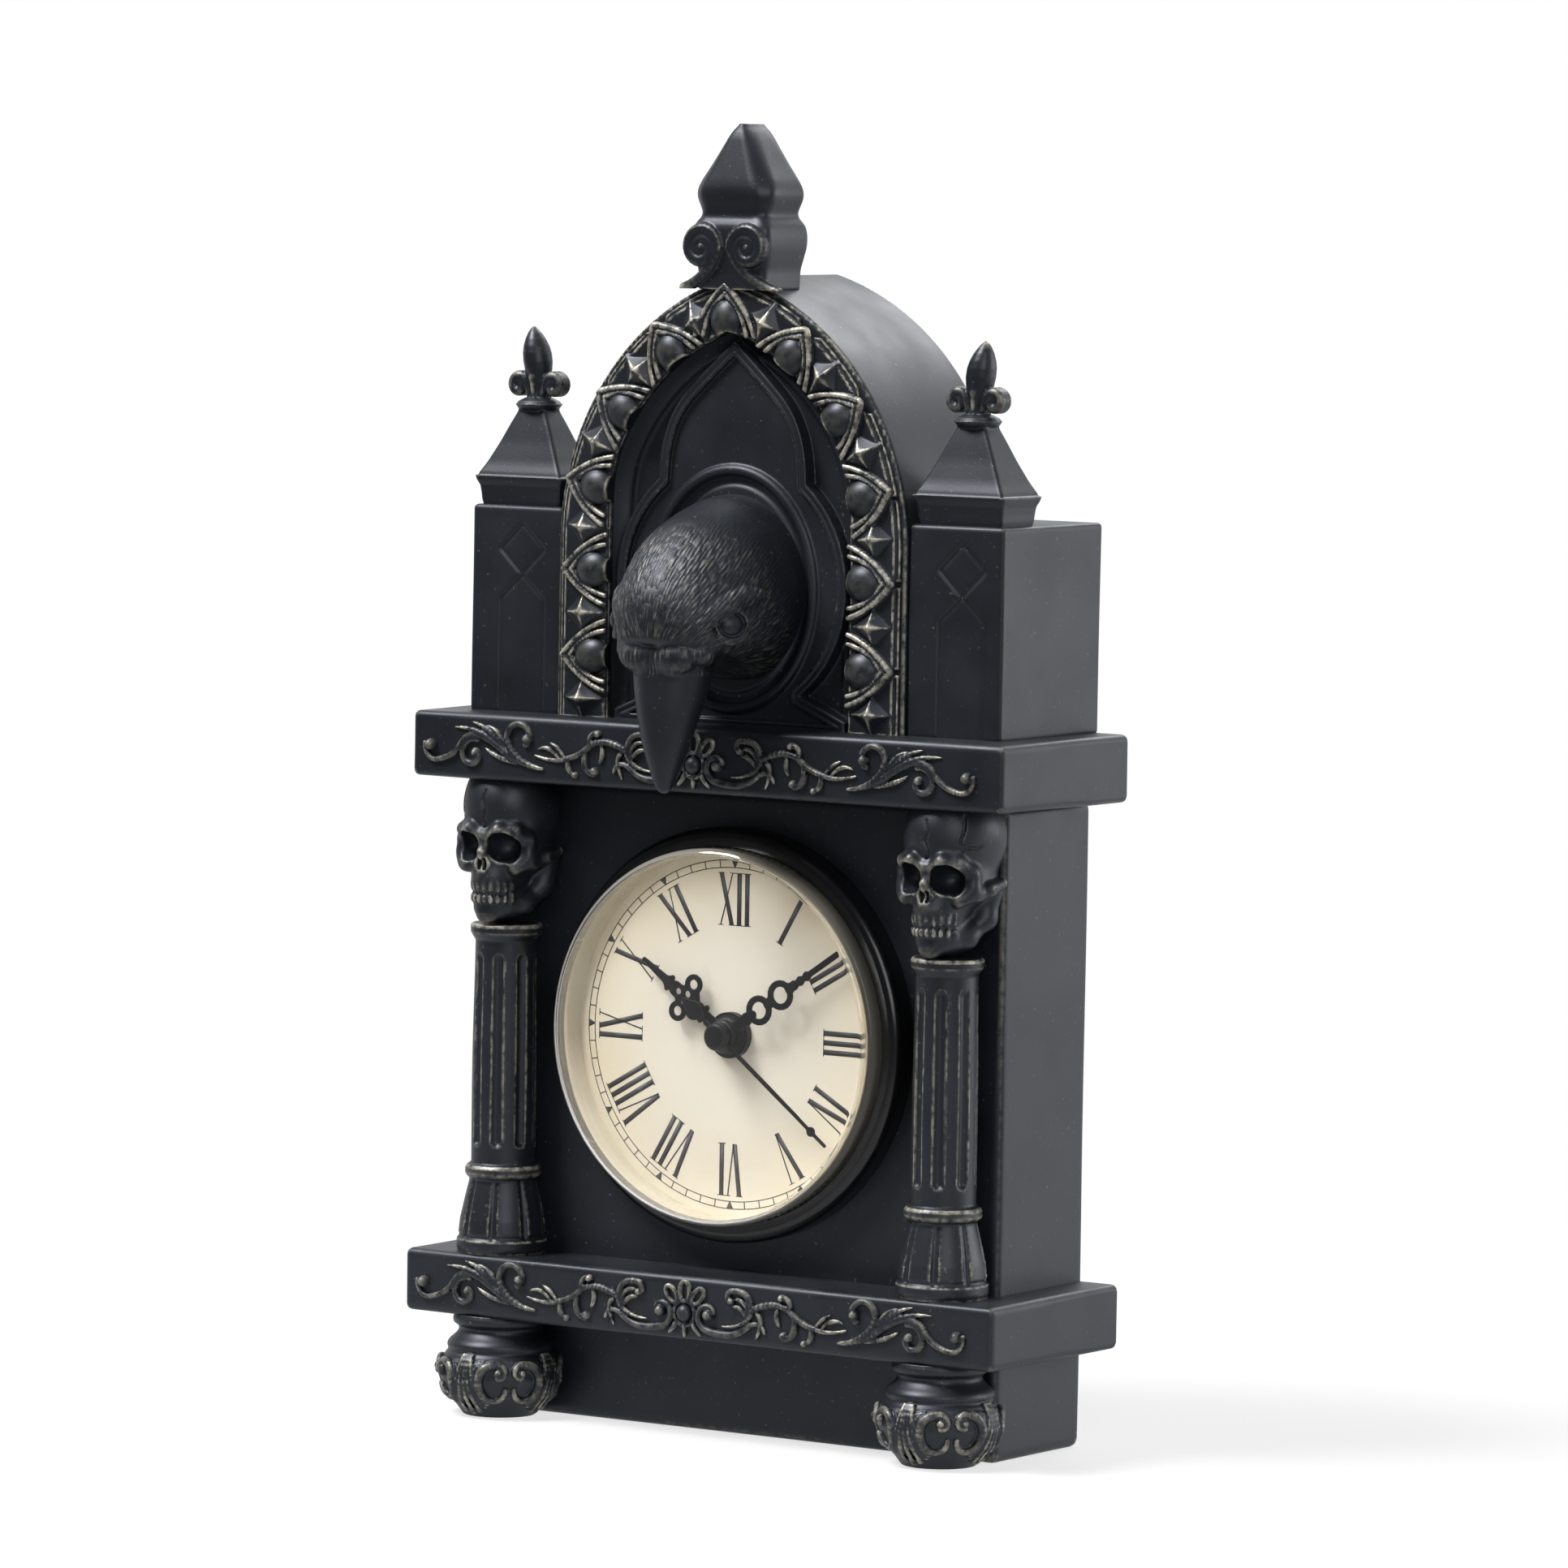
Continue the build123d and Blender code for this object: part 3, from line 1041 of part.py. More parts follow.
GRIP_COUNT = 18
GRIP_RADIUS = 0.45
with BuildPart() as setting_knob:
    rod(SETTING_PLACE, KNOB_RADIUS, KNOB_Y, KNOB_Y + KNOB_HEIGHT)
    with BuildSketch(front(KNOB_Y)):
        for grip in range(GRIP_COUNT):
            with Locations(polar(SETTING_PLACE, KNOB_RADIUS, 360 * grip / GRIP_COUNT)):
                Circle(GRIP_RADIUS)
    extrude(amount=-KNOB_HEIGHT, mode=Mode.SUBTRACT)
    rod(
        SETTING_PLACE,
        SETTING_ARBOR_RADIUS + PRESS_CLEARANCE,
        KNOB_Y,
        KNOB_Y + KNOB_HEIGHT / 2,
        mode=Mode.SUBTRACT,
    )
save(setting_knob, "setting_knob")

# Movement case: two shells that hold the train bridge between their posts
POST_PLACES = [
    (side * (BAY_WIDTH / 2 - POST_INSET), post_z)
    for side in (-1, 1)
    for post_z in (TRAIN_TOP_Z - POST_INSET, TRAIN_BOTTOM_Z + POST_INSET)
]
with BuildPart() as movement_front_case:
    slab((0, MOVEMENT_Z), (MOVEMENT_WIDTH, MOVEMENT_HEIGHT), MOVEMENT_FRONT_Y, SPLIT_Y)
    slab((0, TRAIN_Z), (BAY_WIDTH, TRAIN_HEIGHT), TRAIN_FRONT_Y, SPLIT_Y, mode=Mode.SUBTRACT)
    slab((0, BATTERY_Z), (BAY_WIDTH, BAY_HEIGHT), TRAIN_FRONT_Y, SPLIT_Y, mode=Mode.SUBTRACT)
    for place in POST_PLACES:
        rod(place, POST_RADIUS, TRAIN_FRONT_Y, BRIDGE_Y)
    rod(HAND_PLACE, BUSH_RADIUS, NUT_FRONT_Y, MOVEMENT_FRONT_Y)
    rod(
        HAND_PLACE,
        HOUR_PIPE_RADIUS + RUNNING_CLEARANCE,
        NUT_FRONT_Y,
        TRAIN_FRONT_Y,
        mode=Mode.SUBTRACT,
    )
    rod(
        SETTING_PLACE,
        SETTING_ARBOR_RADIUS + RUNNING_CLEARANCE,
        TRAIN_FRONT_Y - PIVOT_DEPTH - RUNNING_CLEARANCE,
        TRAIN_FRONT_Y,
        mode=Mode.SUBTRACT,
    )
save(movement_front_case, "movement_front_case")

with BuildPart() as train_bridge:
    slab((0, TRAIN_Z), (BAY_WIDTH, TRAIN_HEIGHT), BRIDGE_Y, SPLIT_Y)
    for place, radius in (
        (HAND_PLACE, MINUTE_PIPE_RADIUS),
        (SETTING_PLACE, SETTING_ARBOR_RADIUS),
        (THIRD_PLACE, PIVOT_RADIUS),
        (INTERMEDIATE_PLACE, PIVOT_RADIUS),
        (ROTOR_PLACE, PIVOT_RADIUS),
    ):
        rod(place, radius + RUNNING_CLEARANCE, BRIDGE_Y, SPLIT_Y, mode=Mode.SUBTRACT)
save(train_bridge, "train_bridge")

STATOR_BACK_Y = STATOR_Y + STATOR_SHEET
STATOR_HALF = MAGNET_RADIUS + MAGNET_CLEARANCE + STATOR_MARGIN
STATOR_END_X = ROTOR_PLACE[0] - STATOR_LENGTH
STUB_PLACES = (
    (STATOR_END_X + STUB_RADIUS, ROTOR_PLACE[1]),
    (ROTOR_PLACE[0] - STATOR_HALF + STUB_RADIUS, ROTOR_PLACE[1] + STATOR_HALF - STUB_RADIUS),
)
with BuildPart() as movement_rear_case:
    slab((0, MOVEMENT_Z), (MOVEMENT_WIDTH, MOVEMENT_HEIGHT), SPLIT_Y, MOVEMENT_BACK_Y)
    slab((0, TRAIN_Z), (BAY_WIDTH, TRAIN_HEIGHT), SPLIT_Y, TRAIN_BACK_Y, mode=Mode.SUBTRACT)
    slab((0, BATTERY_Z), (BAY_WIDTH, BAY_HEIGHT), SPLIT_Y, MOVEMENT_BACK_Y, mode=Mode.SUBTRACT)
    for place in POST_PLACES:
        rod(place, POST_RADIUS, SPLIT_Y, TRAIN_BACK_Y)
    for place in STUB_PLACES:
        rod(place, STUB_RADIUS, STATOR_BACK_Y, TRAIN_BACK_Y)
    for place in (HAND_PLACE, THIRD_PLACE, INTERMEDIATE_PLACE, ROTOR_PLACE):
        rod(
            place,
            PIVOT_RADIUS + RUNNING_CLEARANCE,
            TRAIN_BACK_Y,
            PIVOT_BACK_Y + RUNNING_CLEARANCE,
            mode=Mode.SUBTRACT,
        )
    rod(
        SETTING_PLACE,
        SETTING_ARBOR_RADIUS + RUNNING_CLEARANCE,
        TRAIN_BACK_Y,
        MOVEMENT_BACK_Y,
        mode=Mode.SUBTRACT,
    )
save(movement_rear_case, "movement_rear_case")

with BuildPart() as rubber_washer:
    rod(HAND_PLACE, WASHER_RADIUS, POCKET_FLOOR_Y, MOVEMENT_FRONT_Y)
    rod(HAND_PLACE, BUSH_RADIUS + BUSH_CLEARANCE, POCKET_FLOOR_Y, MOVEMENT_FRONT_Y, mode=Mode.SUBTRACT)
save(rubber_washer, "rubber_washer")

# Stepping motor: a soft-iron stator round the magnet, with the coil on its bar
with BuildPart() as stator:
    slab(ROTOR_PLACE, (2 * STATOR_HALF, 2 * STATOR_HALF), STATOR_Y, STATOR_BACK_Y)
    bar_middle = ((STATOR_END_X + ROTOR_PLACE[0]) / 2, ROTOR_PLACE[1])
    slab(bar_middle, (STATOR_LENGTH, STATOR_BAR), STATOR_Y, STATOR_BACK_Y)
    rod(ROTOR_PLACE, MAGNET_RADIUS + MAGNET_CLEARANCE, STATOR_Y, STATOR_BACK_Y, mode=Mode.SUBTRACT)
save(stator, "stator")

COIL_X = ROTOR_PLACE[0] - STATOR_HALF - COIL_LENGTH / 2 - COIL_FLANGE
COIL_Y = (STATOR_Y + STATOR_BACK_Y) / 2
with BuildPart() as coil:
    coil_plane = Plane(origin=(COIL_X, COIL_Y, ROTOR_PLACE[1]), x_dir=(0, 1, 0), z_dir=(1, 0, 0))
    with BuildSketch(coil_plane):
        Circle(COIL_CORE)
    extrude(amount=COIL_LENGTH / 2, both=True)
    for end in (-1, 1):
        with BuildSketch(coil_plane.offset(end * (COIL_LENGTH - COIL_FLANGE) / 2)):
            Circle(COIL_RADIUS)
        extrude(amount=COIL_FLANGE / 2, both=True)
    with BuildSketch(coil_plane):
        Rectangle(STATOR_SHEET + 2 * CONTACT_GAP, STATOR_BAR + 2 * CONTACT_GAP)
    extrude(amount=COIL_LENGTH, both=True, mode=Mode.SUBTRACT)
save(coil, "coil")

BOARD_X = -BAY_WIDTH / 2 + POST_INSET + POST_RADIUS + CONTACT_REACH + BOARD_WIDTH / 2
BOARD_Z = TRAIN_BOTTOM_Z + CONTACT_REACH + BOARD_HEIGHT / 2
BOARD_Y = TRAIN_BACK_Y - BOARD_SHEET
with BuildPart() as circuit_board:
    slab((BOARD_X, BOARD_Z), (BOARD_WIDTH, BOARD_HEIGHT), BOARD_Y, TRAIN_BACK_Y)
save(circuit_board, "circuit_board")

with BuildPart() as quartz_crystal:
    crystal_origin = (BOARD_X - CRYSTAL_LENGTH / 2, BOARD_Y - CRYSTAL_RADIUS, BOARD_Z)
    with BuildSketch(Plane(origin=crystal_origin, x_dir=(0, 1, 0), z_dir=(1, 0, 0))):
        Circle(CRYSTAL_RADIUS)
    extrude(amount=CRYSTAL_LENGTH)
save(quartz_crystal, "quartz_crystal")

# Battery in its bay, with a spring plate at each end
with BuildPart() as battery:
    battery_start = (-BATTERY_LENGTH / 2, BATTERY_Y, BATTERY_Z)
    battery_plane = Plane(origin=battery_start, x_dir=(0, 1, 0), z_dir=(1, 0, 0))
    with BuildSketch(battery_plane):
        Circle(BATTERY_RADIUS)
    extrude(amount=BATTERY_LENGTH - NUB_LENGTH)
    with BuildSketch(battery_plane):
        Circle(NUB_RADIUS)
    extrude(amount=BATTERY_LENGTH)
save(battery, "battery")

for side, name in ((-1, "contact_negative"), (1, "contact_positive")):
    with BuildPart() as contact:
        with Locations((side * (BAY_WIDTH - CONTACT_SHEET) / 2, BATTERY_Y, BATTERY_Z)):
            Box(CONTACT_SHEET, CONTACT_WIDTH, CONTACT_WIDTH)
        pad_reach = CONTACT_REACH - CONTACT_GAP
        with Locations((side * (BAY_WIDTH - pad_reach) / 2, BATTERY_Y, BATTERY_Z)):
            Box(pad_reach, CONTACT_PAD, CONTACT_PAD)
    save(contact, name)

print("overall height", BELT_Z + BULB_HEIGHT, "hand axis", HAND_PLACE, "setting axis", SETTING_PLACE)
print("train axes", THIRD_PLACE, INTERMEDIATE_PLACE, ROTOR_PLACE)
print("battery axis", BATTERY_Y, BATTERY_Z)
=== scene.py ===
# %% [markdown]
# # A gothic raven clock, dressed in Blender
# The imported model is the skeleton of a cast-resin table clock: a box with two shelves, a pointed arch
# with a raven's head, skull-headed columns and a battery dial. Its solids have the right places and
# sizes. Here every casting gets the carving, the soft edges and the rubbed silver finish that the eye
# sees, built round those solids and riding on the same bodies.

# %% Load the frame
import math

import bpy
import numpy as np
from mathutils import Matrix, Vector


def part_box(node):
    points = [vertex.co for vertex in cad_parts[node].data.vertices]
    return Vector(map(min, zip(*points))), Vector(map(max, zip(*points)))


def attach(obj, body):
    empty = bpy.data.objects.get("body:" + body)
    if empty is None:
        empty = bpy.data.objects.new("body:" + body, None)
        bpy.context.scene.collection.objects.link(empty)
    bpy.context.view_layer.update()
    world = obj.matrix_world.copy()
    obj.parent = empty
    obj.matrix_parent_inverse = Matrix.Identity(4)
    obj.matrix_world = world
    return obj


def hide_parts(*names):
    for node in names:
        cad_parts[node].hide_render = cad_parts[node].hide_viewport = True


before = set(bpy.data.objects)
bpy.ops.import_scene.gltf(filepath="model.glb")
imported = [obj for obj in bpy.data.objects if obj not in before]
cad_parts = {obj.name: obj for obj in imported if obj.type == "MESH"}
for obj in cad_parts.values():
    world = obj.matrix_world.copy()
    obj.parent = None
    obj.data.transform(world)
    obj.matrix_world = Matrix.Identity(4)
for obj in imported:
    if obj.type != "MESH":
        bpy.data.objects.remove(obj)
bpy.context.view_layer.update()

MM = 0.001
scene = bpy.context.scene


def box_of(node):
    """A CAD node's lowest and highest corners, in millimetres."""
    return [np.array(corner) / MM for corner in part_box(node)]


# %% [markdown]
# ## Camera
# The photograph was taken with a long lens from the right of the front, a little above the middle.
# The place, the aim and the small roll were fitted to the clock's own corners, so the render can be
# laid over the photograph.

# %% Camera
EYE = Vector((0.9320, -1.4008, 0.2505))
AIM = Vector((0.0021, -0.0042, 0.12429))
ROLL = math.radians(0.97)
lens_data = bpy.data.cameras.new("photo_camera")
lens_data.lens = 202.2
lens_data.sensor_width = 36
lens_data.clip_end = 20
camera = bpy.data.objects.new("photo_camera", lens_data)
scene.collection.objects.link(camera)
sight = (AIM - EYE).normalized()
level = sight.cross(Vector((0, 0, 1))).normalized()
across = level * math.cos(ROLL) + level.cross(sight) * math.sin(ROLL)
stand = Matrix((across, across.cross(sight), -sight)).transposed().to_4x4()
stand.translation = EYE
camera.matrix_world = stand
scene.camera = camera
scene.view_settings.view_transform = "Standard"
print("camera stands", round((AIM - EYE).length, 3), "m away")


# %% [markdown]
# ## Colours and nodes
# Colours are written the way a painter's chart gives them, as sRGB hex, and one function turns them to
# the linear numbers that the shader wants. One more function adds a node with its settings and links
# and hands back the output that is needed next, so a material reads from top to bottom like a recipe.

# %% Colour and node helpers
def paint(code):
    """sRGB hex to linear colour."""
    parts = [int(code[i : i + 2], 16) / 255 for i in (1, 3, 5)]
    return [p / 12.92 if p <= 0.04045 else ((p + 0.055) / 1.055) ** 2.4 for p in parts] + [1.0]


def place(tree, kind, inputs=None, out=0, **settings):
    """Adds one node and gives one of its outputs. Inputs are values, colours or outputs of other nodes."""
    made = tree.nodes.new("ShaderNode" + kind)
    for name, value in settings.items():
        setattr(made, name, value)
    for name, value in (inputs or {}).items():
        if isinstance(value, bpy.types.NodeSocket):
            tree.links.new(value, made.inputs[name])
        else:
            made.inputs[name].default_value = value
    return made.outputs[out] if len(made.outputs) else made


def fresh_material(name):
    """A new material and its empty node tree."""
    material = bpy.data.materials.new(name)
    material.use_nodes = True
    material.node_tree.nodes.clear()
    return material, material.node_tree


def per_mm(size):
    """Texture scale whose pattern repeats about once in this many millimetres."""
    return 1 / (size * MM)


print("mid grey #808080 is", round(paint("#808080")[0], 3), "in linear light")


# %% [markdown]
# ## Backdrop
# A black satin object is drawn by what it mirrors. In the studio the backdrop behind and beside the
# clock is white, and the side where the camera stands is dim, so the right flank and the vault turn
# grey while the front stays nearly black. The world carries that: white for the camera and for rays
# that look straight through the lens, and for mirrored rays white on the backdrop's side only.

# %% Backdrop
def room_rays(tree):
    """Two numbers that are 1 for rays that look at the room: straight or through the lens, and mirrored."""
    ray = place(tree, "LightPath").node.outputs
    turned_back = place(tree, "Math", {0: ray["Glossy Depth"], 1: ray["Diffuse Depth"]}, operation="ADD")
    straight = place(tree, "Math", {0: turned_back, 1: 0.5}, operation="LESS_THAN")
    through = place(tree, "Math", {0: ray["Is Transmission Ray"], 1: straight}, operation="MULTIPLY")
    seen = place(tree, "Math", {0: ray["Is Camera Ray"], 1: through}, operation="MAXIMUM")
    return seen, ray["Is Glossy Ray"]


world = bpy.data.worlds.new("studio")
world.use_nodes = True
scene.world = world
tree = world.node_tree
tree.nodes.clear()
depth = place(tree, "SeparateXYZ", {"Vector": place(tree, "TexCoord", out="Generated")}, "Y")
rear = place(tree, "MapRange", {"Value": depth, "From Min": -0.45, "From Max": 0.65, "To Min": 0.07,
             "To Max": 0.9}, interpolation_type="SMOOTHSTEP")
seen, mirror_ray = room_rays(tree)
half_lit = place(tree, "Math", {0: mirror_ray, 1: 0.4, 2: 0.6}, operation="MULTIPLY_ADD")
studio = place(tree, "Math", {0: rear, 1: half_lit}, operation="MULTIPLY")
strength = place(tree, "Math", {0: studio, 1: seen}, operation="MAXIMUM")
sky = place(tree, "Background", {"Color": paint("#ffffff"), "Strength": strength})
place(tree, "OutputWorld", {"Surface": sky})
print("world:", len(tree.nodes), "nodes")

# %% [markdown]
# ## Floor
# The clock stands on a sheet of white paper that keeps its shadow. Close to the clock the paper is lit
# like any other sheet. Further off it fades to plain white, as an overexposed studio floor does, and
# mirrored rays see it white behind the clock and dim in front of it.

# %% Floor
FLOOR = 8.0
corners = [(-FLOOR, -FLOOR, 0), (FLOOR, -FLOOR, 0), (FLOOR, FLOOR, 0), (-FLOOR, FLOOR, 0)]
floor_mesh = bpy.data.meshes.new("floor")
floor_mesh.from_pydata(corners, [], [(0, 1, 2, 3)])
floor = bpy.data.objects.new("floor", floor_mesh)
scene.collection.objects.link(floor)
# Matt paper: no highlight, only a soft shadow
pale, tree = fresh_material("white_paper_sweep")
spot = place(tree, "TexCoord", out="Object")
depth = place(tree, "SeparateXYZ", {"Vector": spot}, "Y")
away = place(tree, "VectorMath", {0: spot}, "Value", operation="LENGTH")
blend = place(tree, "MapRange", {"Value": away, "From Min": 0.10, "From Max": 0.42, "To Min": 0.70,
              "To Max": 1.0}, interpolation_type="SMOOTHSTEP")
dim = place(tree, "MapRange", {"Value": depth, "From Min": -0.5, "From Max": 0.25, "To Min": 0.15,
            "To Max": 0.85}, interpolation_type="SMOOTHSTEP")
seen, mirror_ray = room_rays(tree)
mirrored = place(tree, "Math", {0: mirror_ray, 1: dim}, operation="MULTIPLY")
shown = place(tree, "Math", {0: seen, 1: mirrored}, operation="MAXIMUM")
paper = place(tree, "BsdfDiffuse", {"Color": paint("#f2f2f2")})
glow = place(tree, "Emission", {"Color": paint("#ffffff"), "Strength": shown})
place(tree, "OutputMaterial", {"Surface": place(tree, "MixShader", {0: blend, 1: paper, 2: glow})})
floor_mesh.materials.append(pale)
print("floor:", 2 * FLOOR, "m square")

# %% [markdown]
# ## Lamps
# Four soft lamps stand round the clock. A high one at the front left makes the highlights on the
# carving, a weak one stands near the camera, and two behind light the right flank and the vault. Large
# lamps keep the edges of the highlights soft, as a photographer's softboxes do.

# %% Lamps
LAMP_AIM = Vector((0, 0, 0.12))
# Rows: name, place and size in metres, power in watts
LAMPS = (("key_softbox", (-0.9, -1.0, 2.0), 0.9, 72), ("front_softbox", (1.5, -1.6, 0.9), 1.2, 14),
         ("right_softbox", (1.7, 1.3, 0.35), 1.2, 17), ("top_softbox", (-0.1, 1.45, 1.45), 1.0, 14))
for name, spot, size, watts in LAMPS:
    lamp = bpy.data.lights.new(name, "AREA")
    lamp.size = size
    lamp.energy = watts
    stand = bpy.data.objects.new(name, lamp)
    stand.location = spot
    stand.rotation_euler = (LAMP_AIM - Vector(spot)).to_track_quat("-Z", "Y").to_euler()
    scene.collection.objects.link(stand)
print("lamps:", len(LAMPS))

# %% [markdown]
# ## Painted resin
# The case is cast polyresin: a filled polyester poured into a rubber mould, painted satin black, then
# dry-brushed, so that a nearly empty brush of silver leaves colour only on edges and high carving.
# Every casting below carries an attribute called rub, which is how far a point stands out from its
# surroundings, and the brush follows it. Noise breaks the stroke up, because a dry brush skips.

# %% Resin materials
# Sizes in millimetres. Paint grain is finer than this in truth, and is drawn as coarse as it needs to show
PAINT_GRAIN, BRUSH_SKIP, SPECK, TONE_DRIFT = 0.45, 1.6, 0.9, 14
HAIR_WIDE, HAIR_LONG = 0.42, 3.4


def painted_resin(name, first, full, cover, strokes=0.0):
    """Satin black resin. The brush starts where rub passes first and covers by full.

    Strokes adds fine hair-like ridges along the directions kept in the attribute feather."""
    material, tree = fresh_material(name)
    spot = place(tree, "TexCoord", out="Object")
    relief = place(tree, "TexNoise", {"Vector": spot, "Scale": per_mm(PAINT_GRAIN), "Detail": 3.0}, "Fac")
    skips = place(tree, "TexNoise", {"Vector": spot, "Scale": per_mm(BRUSH_SKIP), "Detail": 5.0}, "Fac")
    dust = place(tree, "TexNoise", {"Vector": spot, "Scale": per_mm(SPECK), "Detail": 2.0}, "Fac")
    drift = place(tree, "TexNoise", {"Vector": spot, "Scale": per_mm(TONE_DRIFT), "Detail": 4.0}, "Fac")
    rub = place(tree, "Attribute", out="Fac", attribute_name="rub")
    if strokes:
        combed = place(tree, "Attribute", out="Vector", attribute_name="feather")
        per_hair = (1 / HAIR_WIDE, 1 / HAIR_LONG, 0)
        hairs = place(tree, "VectorMath", {0: combed, 1: per_hair}, operation="MULTIPLY")
        hair = place(tree, "TexNoise", {"Vector": hairs, "Scale": 1.0, "Detail": 2.0}, "Fac")
        covered = place(tree, "SeparateXYZ", {"Vector": combed}, "Z")
        ridge = place(tree, "MapRange", {"Value": hair, "From Min": 0.40, "From Max": 0.66})
        ridge = place(tree, "Math", {0: ridge, 1: covered}, operation="MULTIPLY")
        rub = place(tree, "Math", {0: ridge, 1: strokes, 2: rub}, operation="MULTIPLY_ADD")
        relief = place(tree, "Math", {0: ridge, 1: 4.0, 2: relief}, operation="MULTIPLY_ADD")
    high = place(tree, "MapRange", {"Value": rub, "From Min": first, "From Max": full},
                 interpolation_type="SMOOTHSTEP")
    dry = place(tree, "MapRange", {"Value": skips, "From Min": 0.34, "From Max": 0.60, "To Max": cover})
    brushed = place(tree, "Math", {0: high, 1: dry}, operation="MULTIPLY")
    speck = place(tree, "MapRange", {"Value": dust, "From Min": 0.68, "From Max": 0.78, "To Max": 0.16})
    mask = place(tree, "Math", {0: brushed, 1: speck}, operation="MAXIMUM")
    black = place(tree, "Mix", {0: drift, 6: paint("#12151a"), 7: paint("#1e2228")}, 2, data_type="RGBA")
    silver = place(tree, "Mix", {0: drift, 6: paint("#d8cfb2"), 7: paint("#cdcdc8")}, 2, data_type="RGBA")
    colour = place(tree, "Mix", {0: mask, 6: black, 7: silver}, 2, data_type="RGBA")
    satin = place(tree, "MapRange", {"Value": drift, "From Min": 0.3, "From Max": 0.7, "To Min": 0.38,
                  "To Max": 0.50})
    metal = place(tree, "Math", {0: mask, 1: 0.6}, operation="MULTIPLY")
    bump = place(tree, "Bump", {"Height": relief, "Strength": 0.28, "Distance": 0.05 * MM})
    body = place(tree, "BsdfPrincipled", {"Base Color": colour, "Metallic": metal, "Roughness": satin,
                 "IOR": 1.55, "Specular Tint": paint("#eff3ff"), "Normal": bump})
    place(tree, "OutputMaterial", {"Surface": body})
    return material


# Filled polyester under satin paint, hardly touched by the brush: broad soft highlights
plain_resin = painted_resin("satin_black_polyresin", 0.10, 0.30, 0.55)
# The same with silver worked over all that stands out: bright lines on black
brushed_resin = painted_resin("dry_brushed_polyresin", 0.03, 0.15, 0.95)
# Deep carving that the brush only skimmed: bright tips, dark hollows
carved_resin = painted_resin("skimmed_polyresin", 0.045, 0.20, 0.75)
# Fine strokes that each catch a little silver: a grey bloom over black
feathered_resin = painted_resin("feather_brushed_polyresin", 0.08, 0.40, 0.36, 0.24)
print("resin: four brushings of one paint")

# %% [markdown]
# ## Modelling clay
# Carved and cast forms have no straight profile to extrude. They are made here as a sculptor makes the
# master: clay is added and cut away. The clay is a block of numbers, each the distance in millimetres
# to the surface, negative inside. Adding is a minimum, cutting a maximum, and a soft minimum leaves the
# small fillet that a modelling tool leaves.

# %% The clay block
SPARE_GRAINS = 4
FAR_AWAY = 4.0
MARGIN = 2.0


def merge(a, b, soft):
    """The nearer of two distances, with a fillet of this size where they meet."""
    if soft <= 0:
        return np.minimum(a, b)
    share = np.clip(0.5 + 0.5 * (b - a) / soft, 0, 1)
    return b + (a - b) * share - soft * share * (1 - share)


class Clay:
    """A block of distances in millimetres that shapes are added to and cut from."""

    def __init__(self, low, high, grain):
        spare = SPARE_GRAINS * grain
        self.grain = grain
        self.low = np.asarray(low, float) - spare
        self.count = np.ceil((np.asarray(high, float) + spare - self.low) / grain).astype(int) + 1
        self.field = np.full(self.count, FAR_AWAY, np.float32)

    def near(self, low, high, spare):
        """The part of the block round a shape: its slices and its coordinates."""
        first = np.floor((np.asarray(low) - spare - self.low) / self.grain)
        last = np.ceil((np.asarray(high) + spare - self.low) / self.grain) + 1
        first, last = [np.clip(end, 0, self.count).astype(int) for end in (first, last)]
        axes = [self.low[k] + self.grain * np.arange(first[k], last[k]) for k in range(3)]
        x, y, z = [axis.astype(np.float32) for axis in axes]
        where = tuple(slice(a, b) for a, b in zip(first, last))
        return where, (x[:, None, None], y[None, :, None], z[None, None, :])

    def everywhere(self):
        """The coordinates of the whole block."""
        return self.near(self.low, self.low + self.grain * self.count, 0)[1]

    def add(self, shape, soft=0.0):
        distance, low, high = shape
        where, at = self.near(low, high, MARGIN)
        self.field[where] = merge(self.field[where], distance(*at), soft)

    def cut(self, shape, soft=0.0):
        distance, low, high = shape
        where, at = self.near(low, high, MARGIN)
        self.field[where] = -merge(-self.field[where], distance(*at), soft)

    def keep(self, shape):
        """Everything outside the shape goes."""
        self.field = np.maximum(self.field, shape[0](*self.everywhere()))

    def sway(self, size, wave):
        """The slight unevenness of a hand-finished mould."""
        x, y, z = self.everywhere()
        self.field = self.field + size * (np.sin(x / wave + 1.3) * np.sin(z / wave * 1.37 + 0.4)
                                          + np.sin(y / wave * 1.21 + z / wave * 0.83 + 2.1))

    def read(self, spots):
        """Field values at the grid points nearest to these."""
        at = np.clip(np.rint((spots - self.low) / self.grain).astype(int), 0, self.count - 1)
        return self.field[at[:, 0], at[:, 1], at[:, 2]]


print("two faces that meet with a 1 mm fillet gain", -merge(0.0, 0.0, 1.0), "mm in the corner")


# %% [markdown]
# ## Net over the clay
# At the end a net is drawn over the surface: one point in each cell that the surface passes through, at
# the mean of where it crosses the cell's edges, joined by quads. The rub is measured on the way: the
# mean distance a little way round a point, less the distance at it, is large on edges and beads.

# %% Net
CORNERS = [(i, j, k) for i in (0, 1) for j in (0, 1) for k in (0, 1)]
DIAGONAL = 0.577


